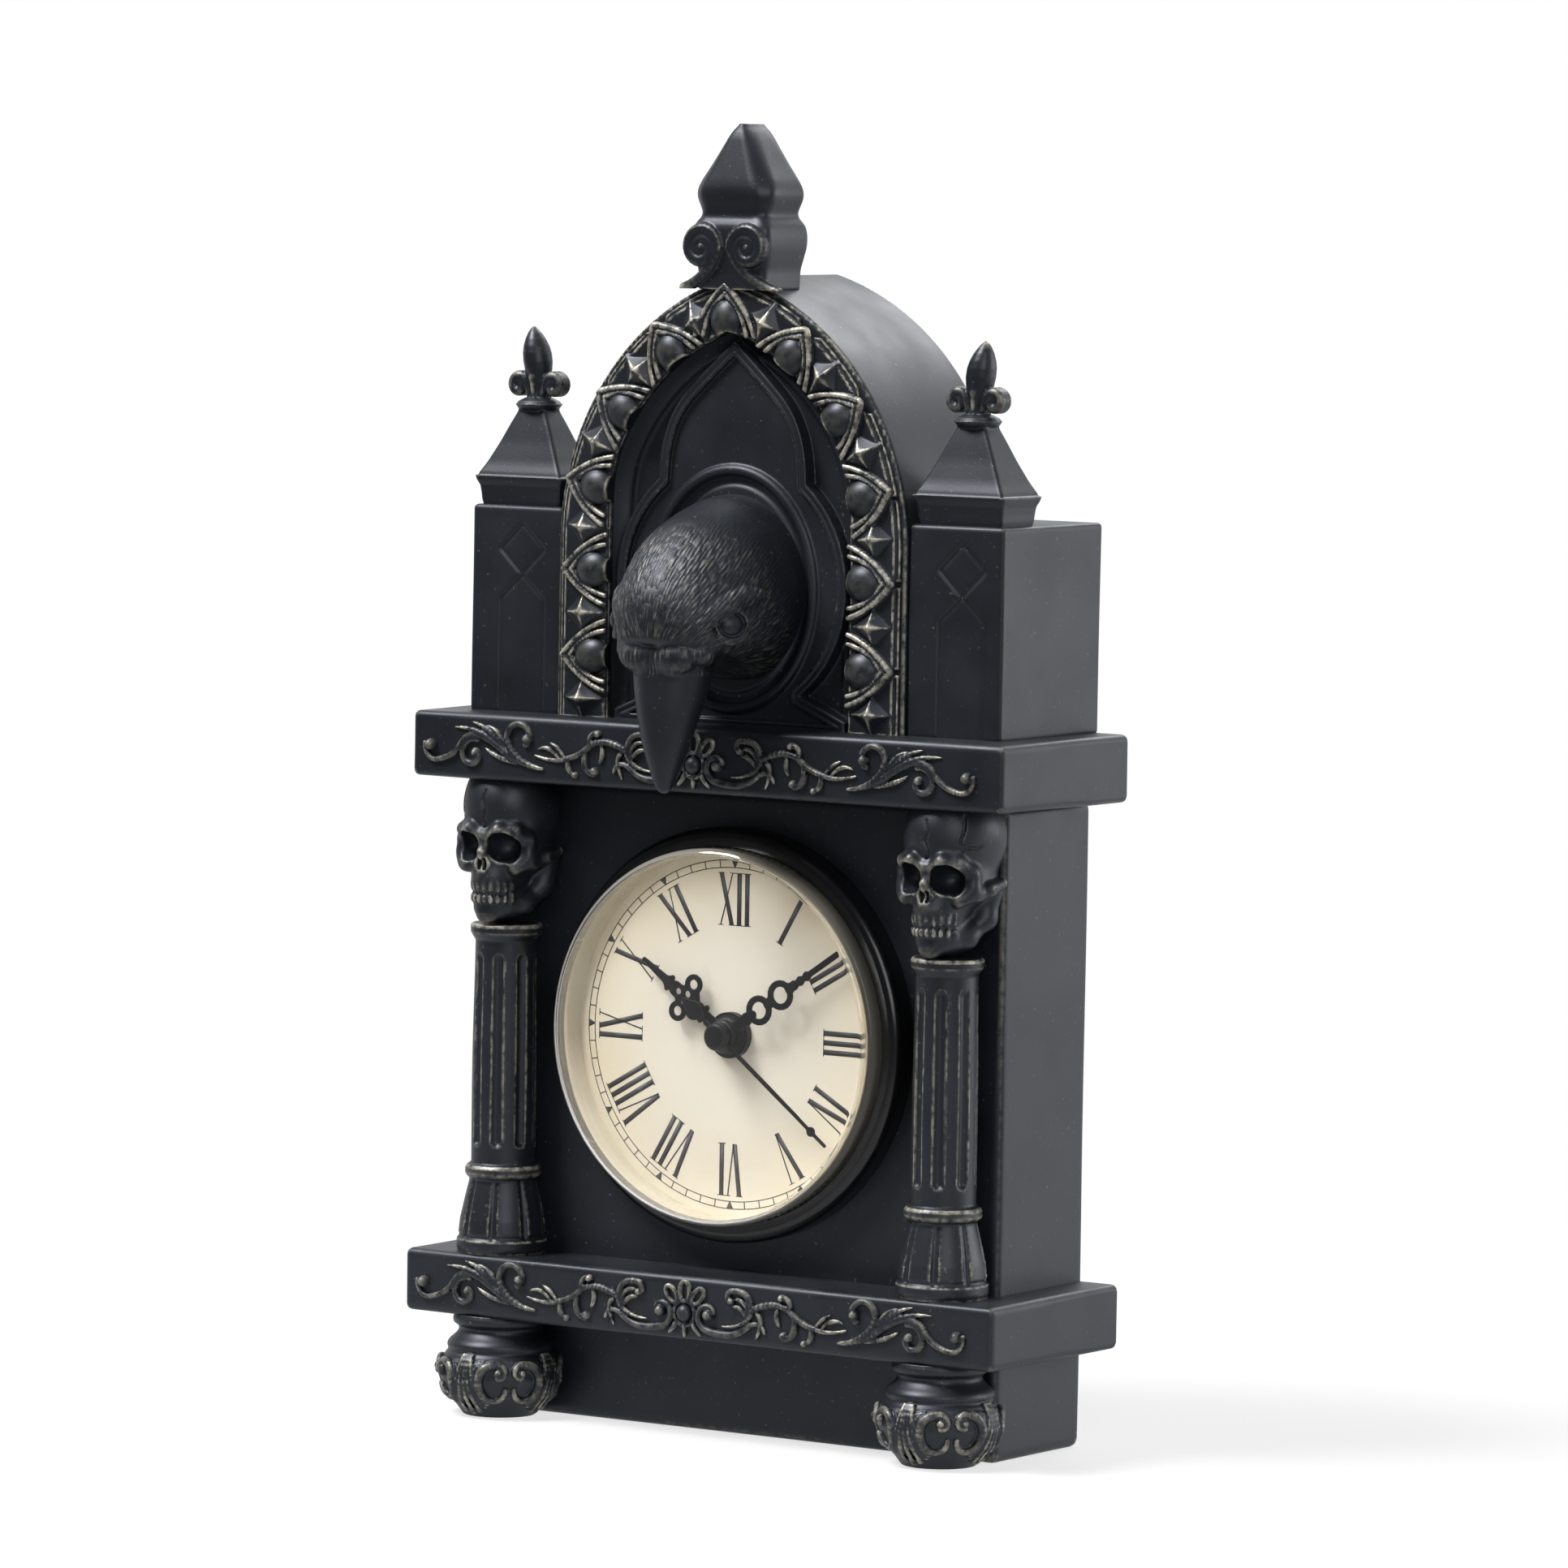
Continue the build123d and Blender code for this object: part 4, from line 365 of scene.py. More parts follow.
def net(clay, reach=0.8):
    """Points, quads, outward normals and rub of the clay's surface."""
    inside = clay.field < 0
    n = clay.count - 1
    shifted = [tuple(slice(c, c + m) for c, m in zip(corner, n)) for corner in CORNERS]
    filled = sum(inside[where].astype(np.int8) for where in shifted)
    cells = np.argwhere((filled > 0) & (filled < 8))
    number = np.full(tuple(n), -1, np.int32)
    number[tuple(cells.T)] = np.arange(len(cells))
    values = np.stack([clay.field[tuple((cells + corner).T)] for corner in CORNERS], 1)
    total = np.zeros((len(cells), 3))
    hits = np.zeros(len(cells))
    for a, start in enumerate(CORNERS):
        for b, end in enumerate(CORNERS):
            step = np.subtract(end, start)
            if b < a or abs(step).sum() != 1:
                continue
            crossed = (values[:, a] < 0) != (values[:, b] < 0)
            part = values[crossed, a] / (values[crossed, a] - values[crossed, b])
            total[crossed] += np.array(start) + part[:, None] * step
            hits[crossed] += 1
    points = (cells + total / hits[:, None]) * clay.grain + clay.low
    quads = []
    for axis in range(3):
        span = [slice(1, m) for m in n]
        span[axis] = slice(0, n[axis])
        ahead = list(span)
        ahead[axis] = slice(1, n[axis] + 1)
        here, there = inside[tuple(span)], inside[tuple(ahead)]
        at = np.argwhere(here != there)
        outward = here[tuple(at.T)]
        at += [s.start for s in span]
        u, v = np.eye(3, dtype=int)[[(axis + 1) % 3, (axis + 2) % 3]]
        ring = np.stack([number[tuple((at + d).T)] for d in (-u - v, -v, 0 * u, -u)], 1)
        ring[~outward] = ring[~outward, ::-1]
        quads.append(ring)
    normals = np.stack([clay.read(points + d) - clay.read(points - d) for d in np.eye(3) * clay.grain], 1)
    normals /= np.linalg.norm(normals, axis=1)[:, None] + 1e-9
    around = [np.array(d) * reach for d in np.vstack([np.eye(3), -np.eye(3)])]
    around += [(np.array(c) * 2 - 1) * reach * DIAGONAL for c in CORNERS]
    middle = np.rint((points - clay.low) / clay.grain) * clay.grain + clay.low
    rub = np.mean([clay.read(middle + d) for d in around], 0) - clay.read(middle)
    return points, np.concatenate(quads), normals, rub


print("each cell of the net is judged by its", len(CORNERS), "corners")


# %% [markdown]
# ## Pieces
# A finished net becomes a piece: a mesh in metres that rides on one of the clock's bodies and stands
# for the CAD solid that it dresses. Castings on the left are the right-hand ones mirrored, as a mould
# maker turns one master over for the other side.

# %% Pieces
def piece(name, points, faces, material, slot, nodes=(), body="case", rub=None, flip=False):
    """A finished mesh that rides on a body and stands for CAD nodes. Flip mirrors it to the other side."""
    faces = np.asarray(faces)
    points = np.asarray(points, float)
    if flip:
        points = points * (-1, 1, 1)
        faces = faces[:, ::-1]
    mesh = bpy.data.meshes.new(name)
    mesh.vertices.add(len(points))
    mesh.vertices.foreach_set("co", (points * MM).astype(np.float32).ravel())
    mesh.loops.add(faces.size)
    mesh.loops.foreach_set("vertex_index", faces.astype(np.int32).ravel())
    mesh.polygons.add(len(faces))
    mesh.polygons.foreach_set("loop_start", np.arange(0, faces.size, faces.shape[1], dtype=np.int32))
    mesh.update(calc_edges=True)
    mesh.shade_smooth()
    if rub is not None:
        mesh.attributes.new("rub", "FLOAT", "POINT").data.foreach_set("value", np.asarray(rub, np.float32))
    mesh.materials.append(material)
    made = bpy.data.objects.new(name, mesh)
    scene.collection.objects.link(made)
    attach(made, body)
    if nodes:
        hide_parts(*nodes)
    print(f"{name}: {len(points)} points")
    return made


def cast(name, clay, material, nodes=(), reach=0.8, flip=False):
    """Nets a clay block and makes it a piece of painted resin."""
    points, quads, normals, rub = net(clay, reach)
    return piece(name, points, quads, material, "cast_resin", nodes, "case", rub, flip)


def both_sides(form, points, quads, rub):
    """A carved casting on the right and its mirror image on the left."""
    for hand in ("right", "left"):
        node = f"{hand}_{form}"
        name, flip = node + "_casting", hand == "left"
        piece(name, points, quads, carved_resin, "cast_resin", [node], "case", rub, flip)


# %% [markdown]
# ## Shapes for the clay
# Four solids are enough for everything carved: an egg, a block with rounded edges, a rod that tapers
# between two balls, and a turned form. Each gives the distance to its surface and the corners of the
# box that it lies in, so that only the clay near by is touched.

# %% Shapes
def egg(centre, radii, axes=None):
    """An ellipsoid. Axes are three rows that turn it."""
    centre, radii = np.asarray(centre, float), np.asarray(radii, float)

    def distance(x, y, z):
        p = [x - centre[0], y - centre[1], z - centre[2]]
        if axes is not None:
            p = [a[0] * p[0] + a[1] * p[1] + a[2] * p[2] for a in axes]
        far = np.sqrt(sum((q / r) ** 2 for q, r in zip(p, radii)))
        slope = np.sqrt(sum((q / r**2) ** 2 for q, r in zip(p, radii)))
        return far * (far - 1) / np.maximum(slope, 1e-5)

    reach = radii if axes is None else np.full(3, radii.max())
    return distance, centre - reach, centre + reach


def block(low, high, edge):
    """A box whose edges are rounded to this radius."""
    low, high = np.asarray(low, float), np.asarray(high, float)
    middle, half = (low + high) / 2, (high - low) / 2 - edge

    def distance(x, y, z):
        q = [abs(v - m) - h for v, m, h in zip((x, y, z), middle, half)]
        beyond = np.sqrt(sum(np.maximum(v, 0) ** 2 for v in q))
        return beyond + np.minimum(np.maximum(np.maximum(q[0], q[1]), q[2]), 0) - edge

    return distance, low, high


def rod(a, b, start, end):
    """A rod between two points, with a ball of its own radius at each."""
    a, b = np.asarray(a, float), np.asarray(b, float)
    run = b - a
    length = max(float(run @ run), 1e-9)

    def distance(x, y, z):
        p = [x - a[0], y - a[1], z - a[2]]
        t = np.clip((p[0] * run[0] + p[1] * run[1] + p[2] * run[2]) / length, 0, 1)
        off = np.sqrt(sum((q - t * r) ** 2 for q, r in zip(p, run)))
        return off - (start + (end - start) * t)

    thick = max(start, end)
    return distance, np.minimum(a, b) - thick, np.maximum(a, b) + thick


def turned(centre, low, high, radius, profile):
    """A form turned on a vertical axis: profile gives the radius at each height."""
    heights, radii = np.array(profile, float).T

    def distance(x, y, z):
        wide = np.interp(z, heights, radii).astype(np.float32)
        out = np.sqrt((x - centre[0]) ** 2 + (y - centre[1]) ** 2) - wide
        return np.maximum(out * 0.85, np.maximum(low - z, z - high))

    x, y = centre
    return distance, (x - radius, y - radius, low), (x + radius, y + radius, high)


print("shapes: egg, block, rod and turned form")


# %% [markdown]
# ## Curves for the clay
# A scroll, a leaf or a crack is a line first. It is bent or curled on the flat, as on paper, and then
# rods are laid along it that swell and taper like a roll of clay under the finger.

# %% Curves
def lay(clay, points, thick, soft=0.3, cut=False):
    """Lays rods along a line of points. Thick lists radii from its start to its end."""
    points = np.asarray(points, float)
    wide = np.interp(np.linspace(0, 1, len(points)), np.linspace(0, 1, len(thick)), thick)
    for a, b, start, end in zip(points, points[1:], wide, wide[1:]):
        (clay.cut if cut else clay.add)(rod(a, b, start, end), soft)


def bend(a, b, c, steps=10):
    """Points on a curve from a to c that b pulls to itself."""
    t = np.linspace(0, 1, steps)[:, None]
    a, b, c = np.asarray(a, float), np.asarray(b, float), np.asarray(c, float)
    return (1 - t) ** 2 * a + 2 * t * (1 - t) * b + t**2 * c


def curl(centre, start, end, first, last, steps=22):
    """Points on a spiral: radius from start to end while the angle goes from first to last, in degrees."""
    t = np.linspace(0, 1, steps)
    turn = np.radians(first + (last - first) * t)
    wide = start + (end - start) * t
    return np.stack([centre[0] + wide * np.cos(turn), centre[1] + wide * np.sin(turn)], 1)


print("curves: bends and curls, with rods laid along them")

# %% [markdown]
# ## Box and shelves
# The box and its two shelves are blunt castings: flat faces that wander a little, edges worn round by
# the mould and the polishing cloth. Blocks with rounded edges and a slight sway give that. The pocket
# at the back holds the movement, and is open so that a hand can reach the battery and the knob.

# %% Box and shelves
body_low, body_high = box_of("case_body")
BODY_EDGE, SHELF_EDGE = 1.6, 1.3
POCKET = ((-30.5, -10.2, 39.5), (30.5, 20.0, 100.5))
DIAL_Z, STEM_BORE = 77.0, 5.2
clay = Clay(body_low, body_high, 0.6)
clay.add(block(body_low, body_high - (0, 0.25, 0), BODY_EDGE))
clay.sway(0.07, 19)
clay.keep(block(body_low, body_high, 0.3))
clay.cut(block(*POCKET, 1.0))
clay.cut(rod((0, -30, DIAL_Z), (0, 0, DIAL_Z), STEM_BORE, STEM_BORE))
cast("case_box", clay, plain_resin, ["case_body"], 1.2)

for node in ("lower_ledge", "upper_ledge"):
    low, high = box_of(node)
    clay = Clay(low, high, 0.45)
    clay.add(block(low, high, SHELF_EDGE))
    clay.sway(0.11, 13)
    clay.keep(block(low, high, 0.4))
    cast(node + "_casting", clay, plain_resin, [node], 1.0)

# %% [markdown]
# ## Scrollwork on the shelves
# Both shelves carry the same mirrored rinceau: a rosette in the middle, a volute on each side of it, a
# leafy stem, a hooked scroll, a spray of blades and a curl that ends in a bead. Half of it is drawn once
# as curves on the flat, in millimetres from the middle and from the shelf's lower edge, and both halves
# are laid on the face as rods of clay that swell and taper.

# %% Scrollwork
# Rows: a curve, and the radii of the rods along it
STEMS = [
    (bend((62.7, 6.4), (62.4, 2.4), (58.6, 3.5)), (0.45, 0.6)),
    (bend((58.6, 3.5), (55.4, 4.4), (54.1, 6.5)), (0.6, 0.7)),
    (bend((54.1, 6.5), (52.4, 9.0), (49.6, 8.5)), (0.7, 0.8)),
    (bend((49.6, 8.5), (46.6, 7.6), (43.8, 5.6)), (0.8, 0.85)),
    (bend((43.8, 5.6), (39.5, 3.0), (34.9, 2.7)), (0.9, 0.35)),
    (curl((51.3, 4.7), 3.0, 0.9, 110, -230), (0.6, 0.75, 0.7)),
    (bend((44.4, 6.2), (49.0, 9.9), (55.6, 9.7)), (0.6, 0.75, 0.15)),
    (bend((44.0, 6.4), (46.8, 9.8), (51.4, 10.9)), (0.6, 0.8, 0.15)),
    (bend((43.8, 7.0), (45.4, 9.6), (48.0, 10.4)), (0.5, 0.6, 0.15)),
    (bend((48.2, 5.9), (45.6, 4.2), (41.0, 3.5)), (0.2, 0.6, 0.4)),
    (bend((35.2, 2.7), (42.4, 3.6), (43.2, 8.4)), (0.3, 0.9, 0.75)),
    (curl((40.1, 8.4), 3.1, 1.8, 0, 225), (0.75, 0.7, 0.75)),
    (bend((36.6, 5.2), (32.5, 4.0), (29.5, 4.9)), (0.25, 0.6)),
    (bend((29.5, 4.9), (26.0, 5.6), (23.8, 7.8)), (0.6, 0.7)),
    (bend((23.8, 7.8), (20.6, 9.6), (15.7, 7.3)), (0.7, 0.75)),
    (bend((36.0, 6.4), (33.4, 7.6), (31.2, 5.0)), (0.15, 0.5, 0.3)),
    (bend((33.2, 7.8), (31.4, 7.2), (29.8, 5.2)), (0.15, 0.45, 0.3)),
    (bend((28.8, 4.9), (29.3, 2.6), (27.4, 1.9)), (0.5, 0.6, 0.4)),
    (bend((23.8, 7.8), (24.4, 9.8), (22.3, 10.2)), (0.5, 0.6)),
    (bend((24.9, 6.8), (25.8, 3.0), (23.0, 2.3)), (0.5, 0.8, 0.6)),
    (bend((21.2, 7.9), (20.6, 6.0), (21.6, 4.6)), (0.4, 0.5, 0.3)),
    (bend((18.3, 3.0), (17.4, 5.4), (14.9, 4.2)), (0.35, 0.6)),
    (bend((14.9, 4.2), (12.6, 2.1), (9.6, 2.0)), (0.6, 0.8)),
    (bend((9.6, 2.0), (7.4, 1.9), (5.4, 2.4)), (0.8, 0.75)),
    (curl((5.4, 5.3), 2.9, 1.2, -90, -330), (0.75, 0.6)),
    (bend((15.4, 7.2), (14.6, 3.4), (8.6, 3.5)), (0.7, 0.5, 0.2)),
    (bend((15.3, 7.2), (14.8, 10.8), (11.2, 10.4)), (0.7, 0.7)),
    (curl((10.9, 9.1), 1.3, 0.7, 90, 280, 12), (0.7, 0.5)),
    (bend((14.7, 6.6), (13.6, 9.2), (11.6, 8.9)), (0.5, 0.55, 0.3)),
    (bend((14.0, 6.0), (12.6, 7.8), (11.0, 7.5)), (0.5, 0.5, 0.25)),
    (bend((16.6, 6.6), (18.2, 5.4), (16.4, 1.8)), (0.5, 0.5, 0.25)),
    (bend((2.0, 3.3), (2.6, 2.2), (3.6, 1.3)), (0.6, 0.25)),
]
# Rows: out, up and radius
BEADS = [(61.2, 6.1, 1.15), (50.6, 5.0, 0.8), (38.4, 8.3, 1.0), (27.3, 1.9, 0.65), (22.1, 10.0, 0.75),
         (22.7, 2.9, 0.85), (5.5, 5.4, 1.15), (10.6, 8.5, 0.75)]
# Rows: out, up, half width, half height and lean
PETALS = ((0.0, 9.4, 1.15, 1.9, 0), (3.0, 8.7, 1.0, 1.8, 38))
print("scrollwork:", len(STEMS), "stems and", len(BEADS), "beads in each half")

# %% [markdown]
# ## Laying the scrollwork
# The same drawing goes on both shelves. It is sunk a little, so that it grows out of the face, and a
# rosette with a ring closes the middle. On the real clock it sits slightly left of the middle.

# %% Laying the scrollwork
SCROLL_SHIFT, SCROLL_SINK = -1.4, 0.2
SCROLL_FINE = 0.85


def scrollwork(name, node, rise):
    """The rinceau on one shelf's front."""
    low, high = box_of(node)
    face = low[1] - SCROLL_SINK

    def on_face(flat, side):
        return [(SCROLL_SHIFT + side * u, face, low[2] + rise + v) for u, v in flat]

    clay = Clay((low[0] + 2, face - 1.9, low[2]), (high[0] - 2, face + 1.2, high[2]), 0.18)
    for side in (1, -1):
        for line, thick in STEMS:
            lay(clay, on_face(line, side), np.multiply(thick, SCROLL_FINE), 0.25)
        for u, v, wide in BEADS:
            clay.add(egg(on_face([(u, v)], side)[0], (wide, wide * 1.25, wide)), 0.2)
        for u, v, wide, tall, lean in PETALS:
            turn = np.linspace(0, 2 * math.pi, 20)
            flat = np.stack([wide * np.cos(turn), tall * np.sin(turn)], 1)
            c, s = math.cos(math.radians(lean)), math.sin(math.radians(lean))
            lay(clay, on_face(flat @ np.array([[c, -s], [s, c]]) + (u, v), side), (0.42, 0.42), 0.2)
    lay(clay, on_face([(0, 3.2), (0, 1.0)], 1), (0.6, 0.3))
    ring = curl((0, 5.3), 2.35, 2.35, 0, 360)
    lay(clay, on_face(ring, 1), (0.42, 0.42), 0.1)
    clay.add(egg(on_face([(0, 5.3)], 1)[0], (1.65, 1.5, 1.65)))
    clay.keep(block((low[0], face - 3, low[2] + 0.3), (high[0], low[1] + 0.9, high[2] - 0.3), 0.1))
    return cast(name, clay, carved_resin, (), 0.6)


scrollwork("lower_scrollwork", "lower_ledge", 0.0)
scrollwork("upper_scrollwork", "upper_ledge", 0.3)

# %% [markdown]
# ## Arch
# The hood is a pointed arch pulled straight back. Each side is one arc, struck from a centre beyond the
# middle line, so every moulding is the same arc with a smaller radius: an inset. A round roll runs
# along its front edge.

# %% Arch hood
hood_low, hood_high = box_of("arch_hood")
SPRING_Z = 170.0
HOOD_HALF = hood_high[0]
HOOD_RISE = hood_high[2] - SPRING_Z
ARCH_OFFSET = (HOOD_RISE**2 - HOOD_HALF**2) / (2 * HOOD_HALF)
ROLL_RADIUS = 1.05
LEG_INNER, ARCH_INNER = 11.9, 10.0
EASE_LOW, EASE_HIGH = 171.0, 188.0


def arch(x, z, inset):
    """Distance to the arch's outline, moved in by an inset."""
    x = abs(x)
    bow = np.sqrt((x + ARCH_OFFSET) ** 2 + (z - SPRING_Z) ** 2) - (HOOD_HALF + ARCH_OFFSET - inset)
    return np.where(z > SPRING_Z, bow, x - HOOD_HALF) + np.where(z > SPRING_Z, 0, inset)


def ease(z):
    """From 0 on the legs to 1 on the arch, where the band is narrower."""
    t = np.clip((z - EASE_LOW) / (EASE_HIGH - EASE_LOW), 0, 1)
    return t * t * (3 - 2 * t)


def niche_edge(x, z):
    """Distance to the niche's outline, which is the band's inner edge."""
    return arch(x, z, LEG_INNER) - (LEG_INNER - ARCH_INNER) * ease(z)


def pulled(outline, front, back, edge):
    """Distance to a flat outline pulled from a front to a back plane, with rounded edges."""
    def distance(x, y, z):
        flat = outline(x, z) + edge
        deep = abs(y - (front + back) / 2) - (back - front) / 2 + edge
        beyond = np.sqrt(np.maximum(flat, 0) ** 2 + np.maximum(deep, 0) ** 2)
        return beyond + np.minimum(np.maximum(flat, deep), 0) - edge
    return distance


front = hood_low[1]
sunk = hood_low - (0, 0, 0.5)
clay = Clay(sunk, hood_high, 0.5)
clay.add((pulled(lambda x, z: arch(x, z, 0), front, hood_high[1] - 0.2, 0.9), sunk, hood_high))
clay.sway(0.06, 15)
clay.cut((pulled(niche_edge, front - 4, front + 5, 0.2), sunk - (0, 4, 0), hood_high))
clay.add((lambda x, y, z: np.sqrt(arch(x, z, ROLL_RADIUS) ** 2 + (y - front - 0.6) ** 2) - ROLL_RADIUS,
          sunk, hood_high), 0.15)
clay.keep(block(sunk, hood_high, 0.1))
cast("arch_vault", clay, plain_resin, ["arch_hood"], 1.0)

# %% [markdown]
# ## Band of beads and stars
# Between the roll and the niche runs a band where two motifs take turns: a bead in a doubled pointed
# frame that aims outward, and a four-pointed star stud. They are spaced along the band's middle line
# from the apex down, and each is modelled once in its own small frame: along the band, outward, and up
# from the face.

# %% Band's line
trim_low, trim_high = box_of("arch_trim")
RIM = 2.0
BAND_FACE, BAND_BACK = -21.6, -19.9
DECK_Z = hood_low[2]
CROWN_Z = 214.9
LEG_MIDDLE, ARCH_MIDDLE = 7.0, 6.0
LAST_STUD_RISE = 3.5
STEPS_PER_SIDE = 11
ORNAMENT_SHIFT = -1.1
BAND_RADIUS = HOOD_HALF + ARCH_OFFSET - ARCH_MIDDLE
leg = SPRING_Z - DECK_Z
band_length = leg + BAND_RADIUS * math.acos(ARCH_OFFSET / BAND_RADIUS)
band_pitch = (band_length - LAST_STUD_RISE) / STEPS_PER_SIDE


def strip(x, z):
    """Distance to the band's own outline."""
    return np.maximum(arch(x, z, RIM), -niche_edge(x, z))


def band_frame(step):
    """Middle, direction along and direction outward of a place on the band, in X and Z."""
    if step == 0:
        return np.array([ORNAMENT_SHIFT, CROWN_Z]), np.array([1.0, 0.0]), np.array([0.0, 1.0])
    rise = band_length - abs(step) * band_pitch
    turn = max(rise - leg, 0) / BAND_RADIUS
    out = np.array([math.cos(turn), math.sin(turn)])
    spot = np.array([-ARCH_OFFSET, SPRING_Z + min(rise - leg, 0)]) + BAND_RADIUS * out
    spot -= out * (LEG_MIDDLE - ARCH_MIDDLE) * (1 - float(ease(spot[1])))
    mirror = np.array([np.sign(step), 1])
    return spot * mirror, np.array([-out[1], out[0]]) * mirror, out * mirror


def star_stud(spot, along, out):
    """A four-pointed star whose ridges fall to its points, with hollow flanks."""
    def distance(x, y, z):
        a = abs((x - spot[0]) * along[0] + (z - spot[1]) * along[1])
        b = (x - spot[0]) * out[0] + (z - spot[1]) * out[1]
        height = 2.5 * (1 - (a / 3.9) ** 0.9 - (abs(b - 0.4) / np.where(b > 0.4, 4.2, 5.0)) ** 0.9)
        return (BAND_FACE - np.maximum(height, -0.4) - y) * 0.55
    reach = np.array([5.5, 0, 5.5])
    middle = np.array([spot[0], BAND_FACE, spot[1]])
    return distance, middle - reach - (0, 2.4, 0), middle + reach + (0, 0.6, 0)


print("band:", round(band_length), "mm on each side, a motif every", round(band_pitch, 1), "mm")

# %% [markdown]
# ## Band's motifs
# Down both sides a bead is an egg under two pointed frames of thin rods, and a star is a height raised
# over the band's face. The block is then cut to the band's outline. The studs get more silver than the
# rest, because they stand highest and the brush meets them first.

# %% Band's motifs
clay = Clay(trim_low - (0.6, 0.3, 0), trim_high + (0.6, 0.8, 2.0), 0.2)
clay.add((pulled(strip, BAND_FACE, BAND_BACK, 0.25), trim_low - 1, trim_high + 2))
stud_spots = []
for step in range(-STEPS_PER_SIDE, STEPS_PER_SIDE + 1):
    spot, along, out = band_frame(step)

    def lift(flat, up):
        """Points in the motif's own frame, raised from the band's face."""
        spots = [spot + a * along + b * out for a, b in flat]
        return [(x, BAND_FACE - up, z) for x, z in spots]

    if step % 2:
        clay.add(star_stud(spot, along, out), 0.1)
        stud_spots.append(spot)
        continue
    axes = np.array([[along[0], 0, along[1]], [0, 1, 0], [out[0], 0, out[1]]])
    clay.add(egg(lift([(0, -1.9)], -0.8)[0], (3.7, 3.0, 4.2), axes), 0.15)
    for side in (1, -1):
        for foot, pull, tip, thick in ((6.7, (5.1, 0.3), 4.6, 0.62), (4.9, (4.2, -0.2), 2.9, 0.55)):
            line = bend((side * foot, -4.9), (side * pull[0], pull[1]), (0, tip), 14)
            lay(clay, lift(line, 0.55), (thick * 0.8, thick, thick * 1.1), 0.12)


def trimmed(x, y, z):
    """The band's outline, a little wider, from the deck up."""
    across = np.maximum(arch(x, z, RIM - 0.9), -niche_edge(x, z) - 0.3)
    return np.maximum(across, DECK_Z - 0.3 - z)


clay.keep((trimmed, trim_low, trim_high))
points, quads, normals, rub = net(clay, 0.6)
stud_gap = np.min([np.hypot(*(points[:, (0, 2)] - spot).T) for spot in stud_spots], 0)
rub = rub + np.where(stud_gap < 3.2, 0.10, 0.02) * np.clip((BAND_FACE - 0.8 - points[:, 1]) / 1.0, 0, 1)
piece("arch_band", points, quads, brushed_resin, "cast_resin", ["arch_trim"], "case", rub)

# %% [markdown]
# ## Keyhole
# Behind the raven stands a plate cut like a keyhole: a lancet above a wide round. Its outline is drawn
# with bent lines and an arc through three points, and the clay takes its distance from that line. A
# drawn curve with a bevel would give a rim too, but not the soft joints of a casting.

# %% Keyhole outline
# Distance out from the middle and height above the deck
KEY_APEX, KEY_HAUNCH, KEY_LANCET = (0, 72.7), (10.9, 62.8), (16.8, 47.0)
KEY_WAIST, KEY_LOBE, KEY_FOOT, KEY_FLICK = (16.8, 46.2), (26.2, 28.5), (16.2, 6.2), (26.4, 1.8)


def arc(a, b, c, steps=18):
    """Points on the circle through three points, from a by b to c."""
    (ax, ay), (bx, by), (cx, cy) = a, b, c
    d = 2 * (ax * (by - cy) + bx * (cy - ay) + cx * (ay - by))
    sq = [x * x + y * y for x, y in (a, b, c)]
    ox = (sq[0] * (by - cy) + sq[1] * (cy - ay) + sq[2] * (ay - by)) / d
    oy = (sq[0] * (cx - bx) + sq[1] * (ax - cx) + sq[2] * (bx - ax)) / d
    first, mid, last = [math.atan2(y - oy, x - ox) for x, y in (a, b, c)]
    if not min(first, last) < mid < max(first, last):
        last += 2 * math.pi * (1 if first > last else -1)
    return curl((ox, oy), math.hypot(ax - ox, ay - oy), math.hypot(ax - ox, ay - oy),
                math.degrees(first), math.degrees(last), steps)


def flat_distance(x, z, line):
    """Signed distance in the X and Z plane to a closed line of points, negative inside."""
    x, z = np.broadcast_arrays(x, z)
    near = np.full(x.shape, 1e9)
    inside = np.zeros(x.shape, bool)
    for (ax, az), (bx, bz) in zip(line, np.roll(line, -1, 0)):
        run = (bx - ax) ** 2 + (bz - az) ** 2 + 1e-12
        t = np.clip(((x - ax) * (bx - ax) + (z - az) * (bz - az)) / run, 0, 1)
        near = np.minimum(near, (x - ax - t * (bx - ax)) ** 2 + (z - az - t * (bz - az)) ** 2)
        crosses = (az > z) != (bz > z)
        inside ^= crosses & (x < (bx - ax) * (z - az) / (bz - az + 1e-12) + ax)
    return np.where(inside, -1, 1) * np.sqrt(near)


half = np.vstack([bend(KEY_APEX, (6.0, 67.6), KEY_HAUNCH), bend(KEY_HAUNCH, (16.6, 57.0), KEY_LANCET),
                  arc(KEY_WAIST, KEY_LOBE, KEY_FOOT), [KEY_FLICK, (KEY_FLICK[0], -1)]])
outline = np.vstack([half, (half * (-1, 1))[::-1]]) + (0, DECK_Z)
print("keyhole:", len(outline), "points round")

# %% [markdown]
# ## Niche
# The plate lies in a hollow field. Its rim is raised and scored with a line, a raised oval ring frames
# the bird's neck, and a cove leads from the field up to the band. Each is a distance of its own, added
# to or cut from one block, so that they run into each other as in a mould.

# %% Niche
niche_low, niche_high = box_of("niche_panel")
KEY_RIM = 2.1
FIELD_FACE, PLATE_FACE, RIM_FACE = -17.6, -19.7, -20.7
FIELD_BACK, KEY_BACK = -15.4, -15.9
COVE_WIDE, COVE_RISE = 3.4, 2.9
RING_CENTRE, RING_HALF = 162.0, (18.45, 22.6)


def cove(x, y, z):
    """A hollow that rises from the field to the band."""
    return (FIELD_FACE - COVE_RISE * np.clip(1 + niche_edge(x, z) / COVE_WIDE, 0, 1) ** 1.6 - y) * 0.7


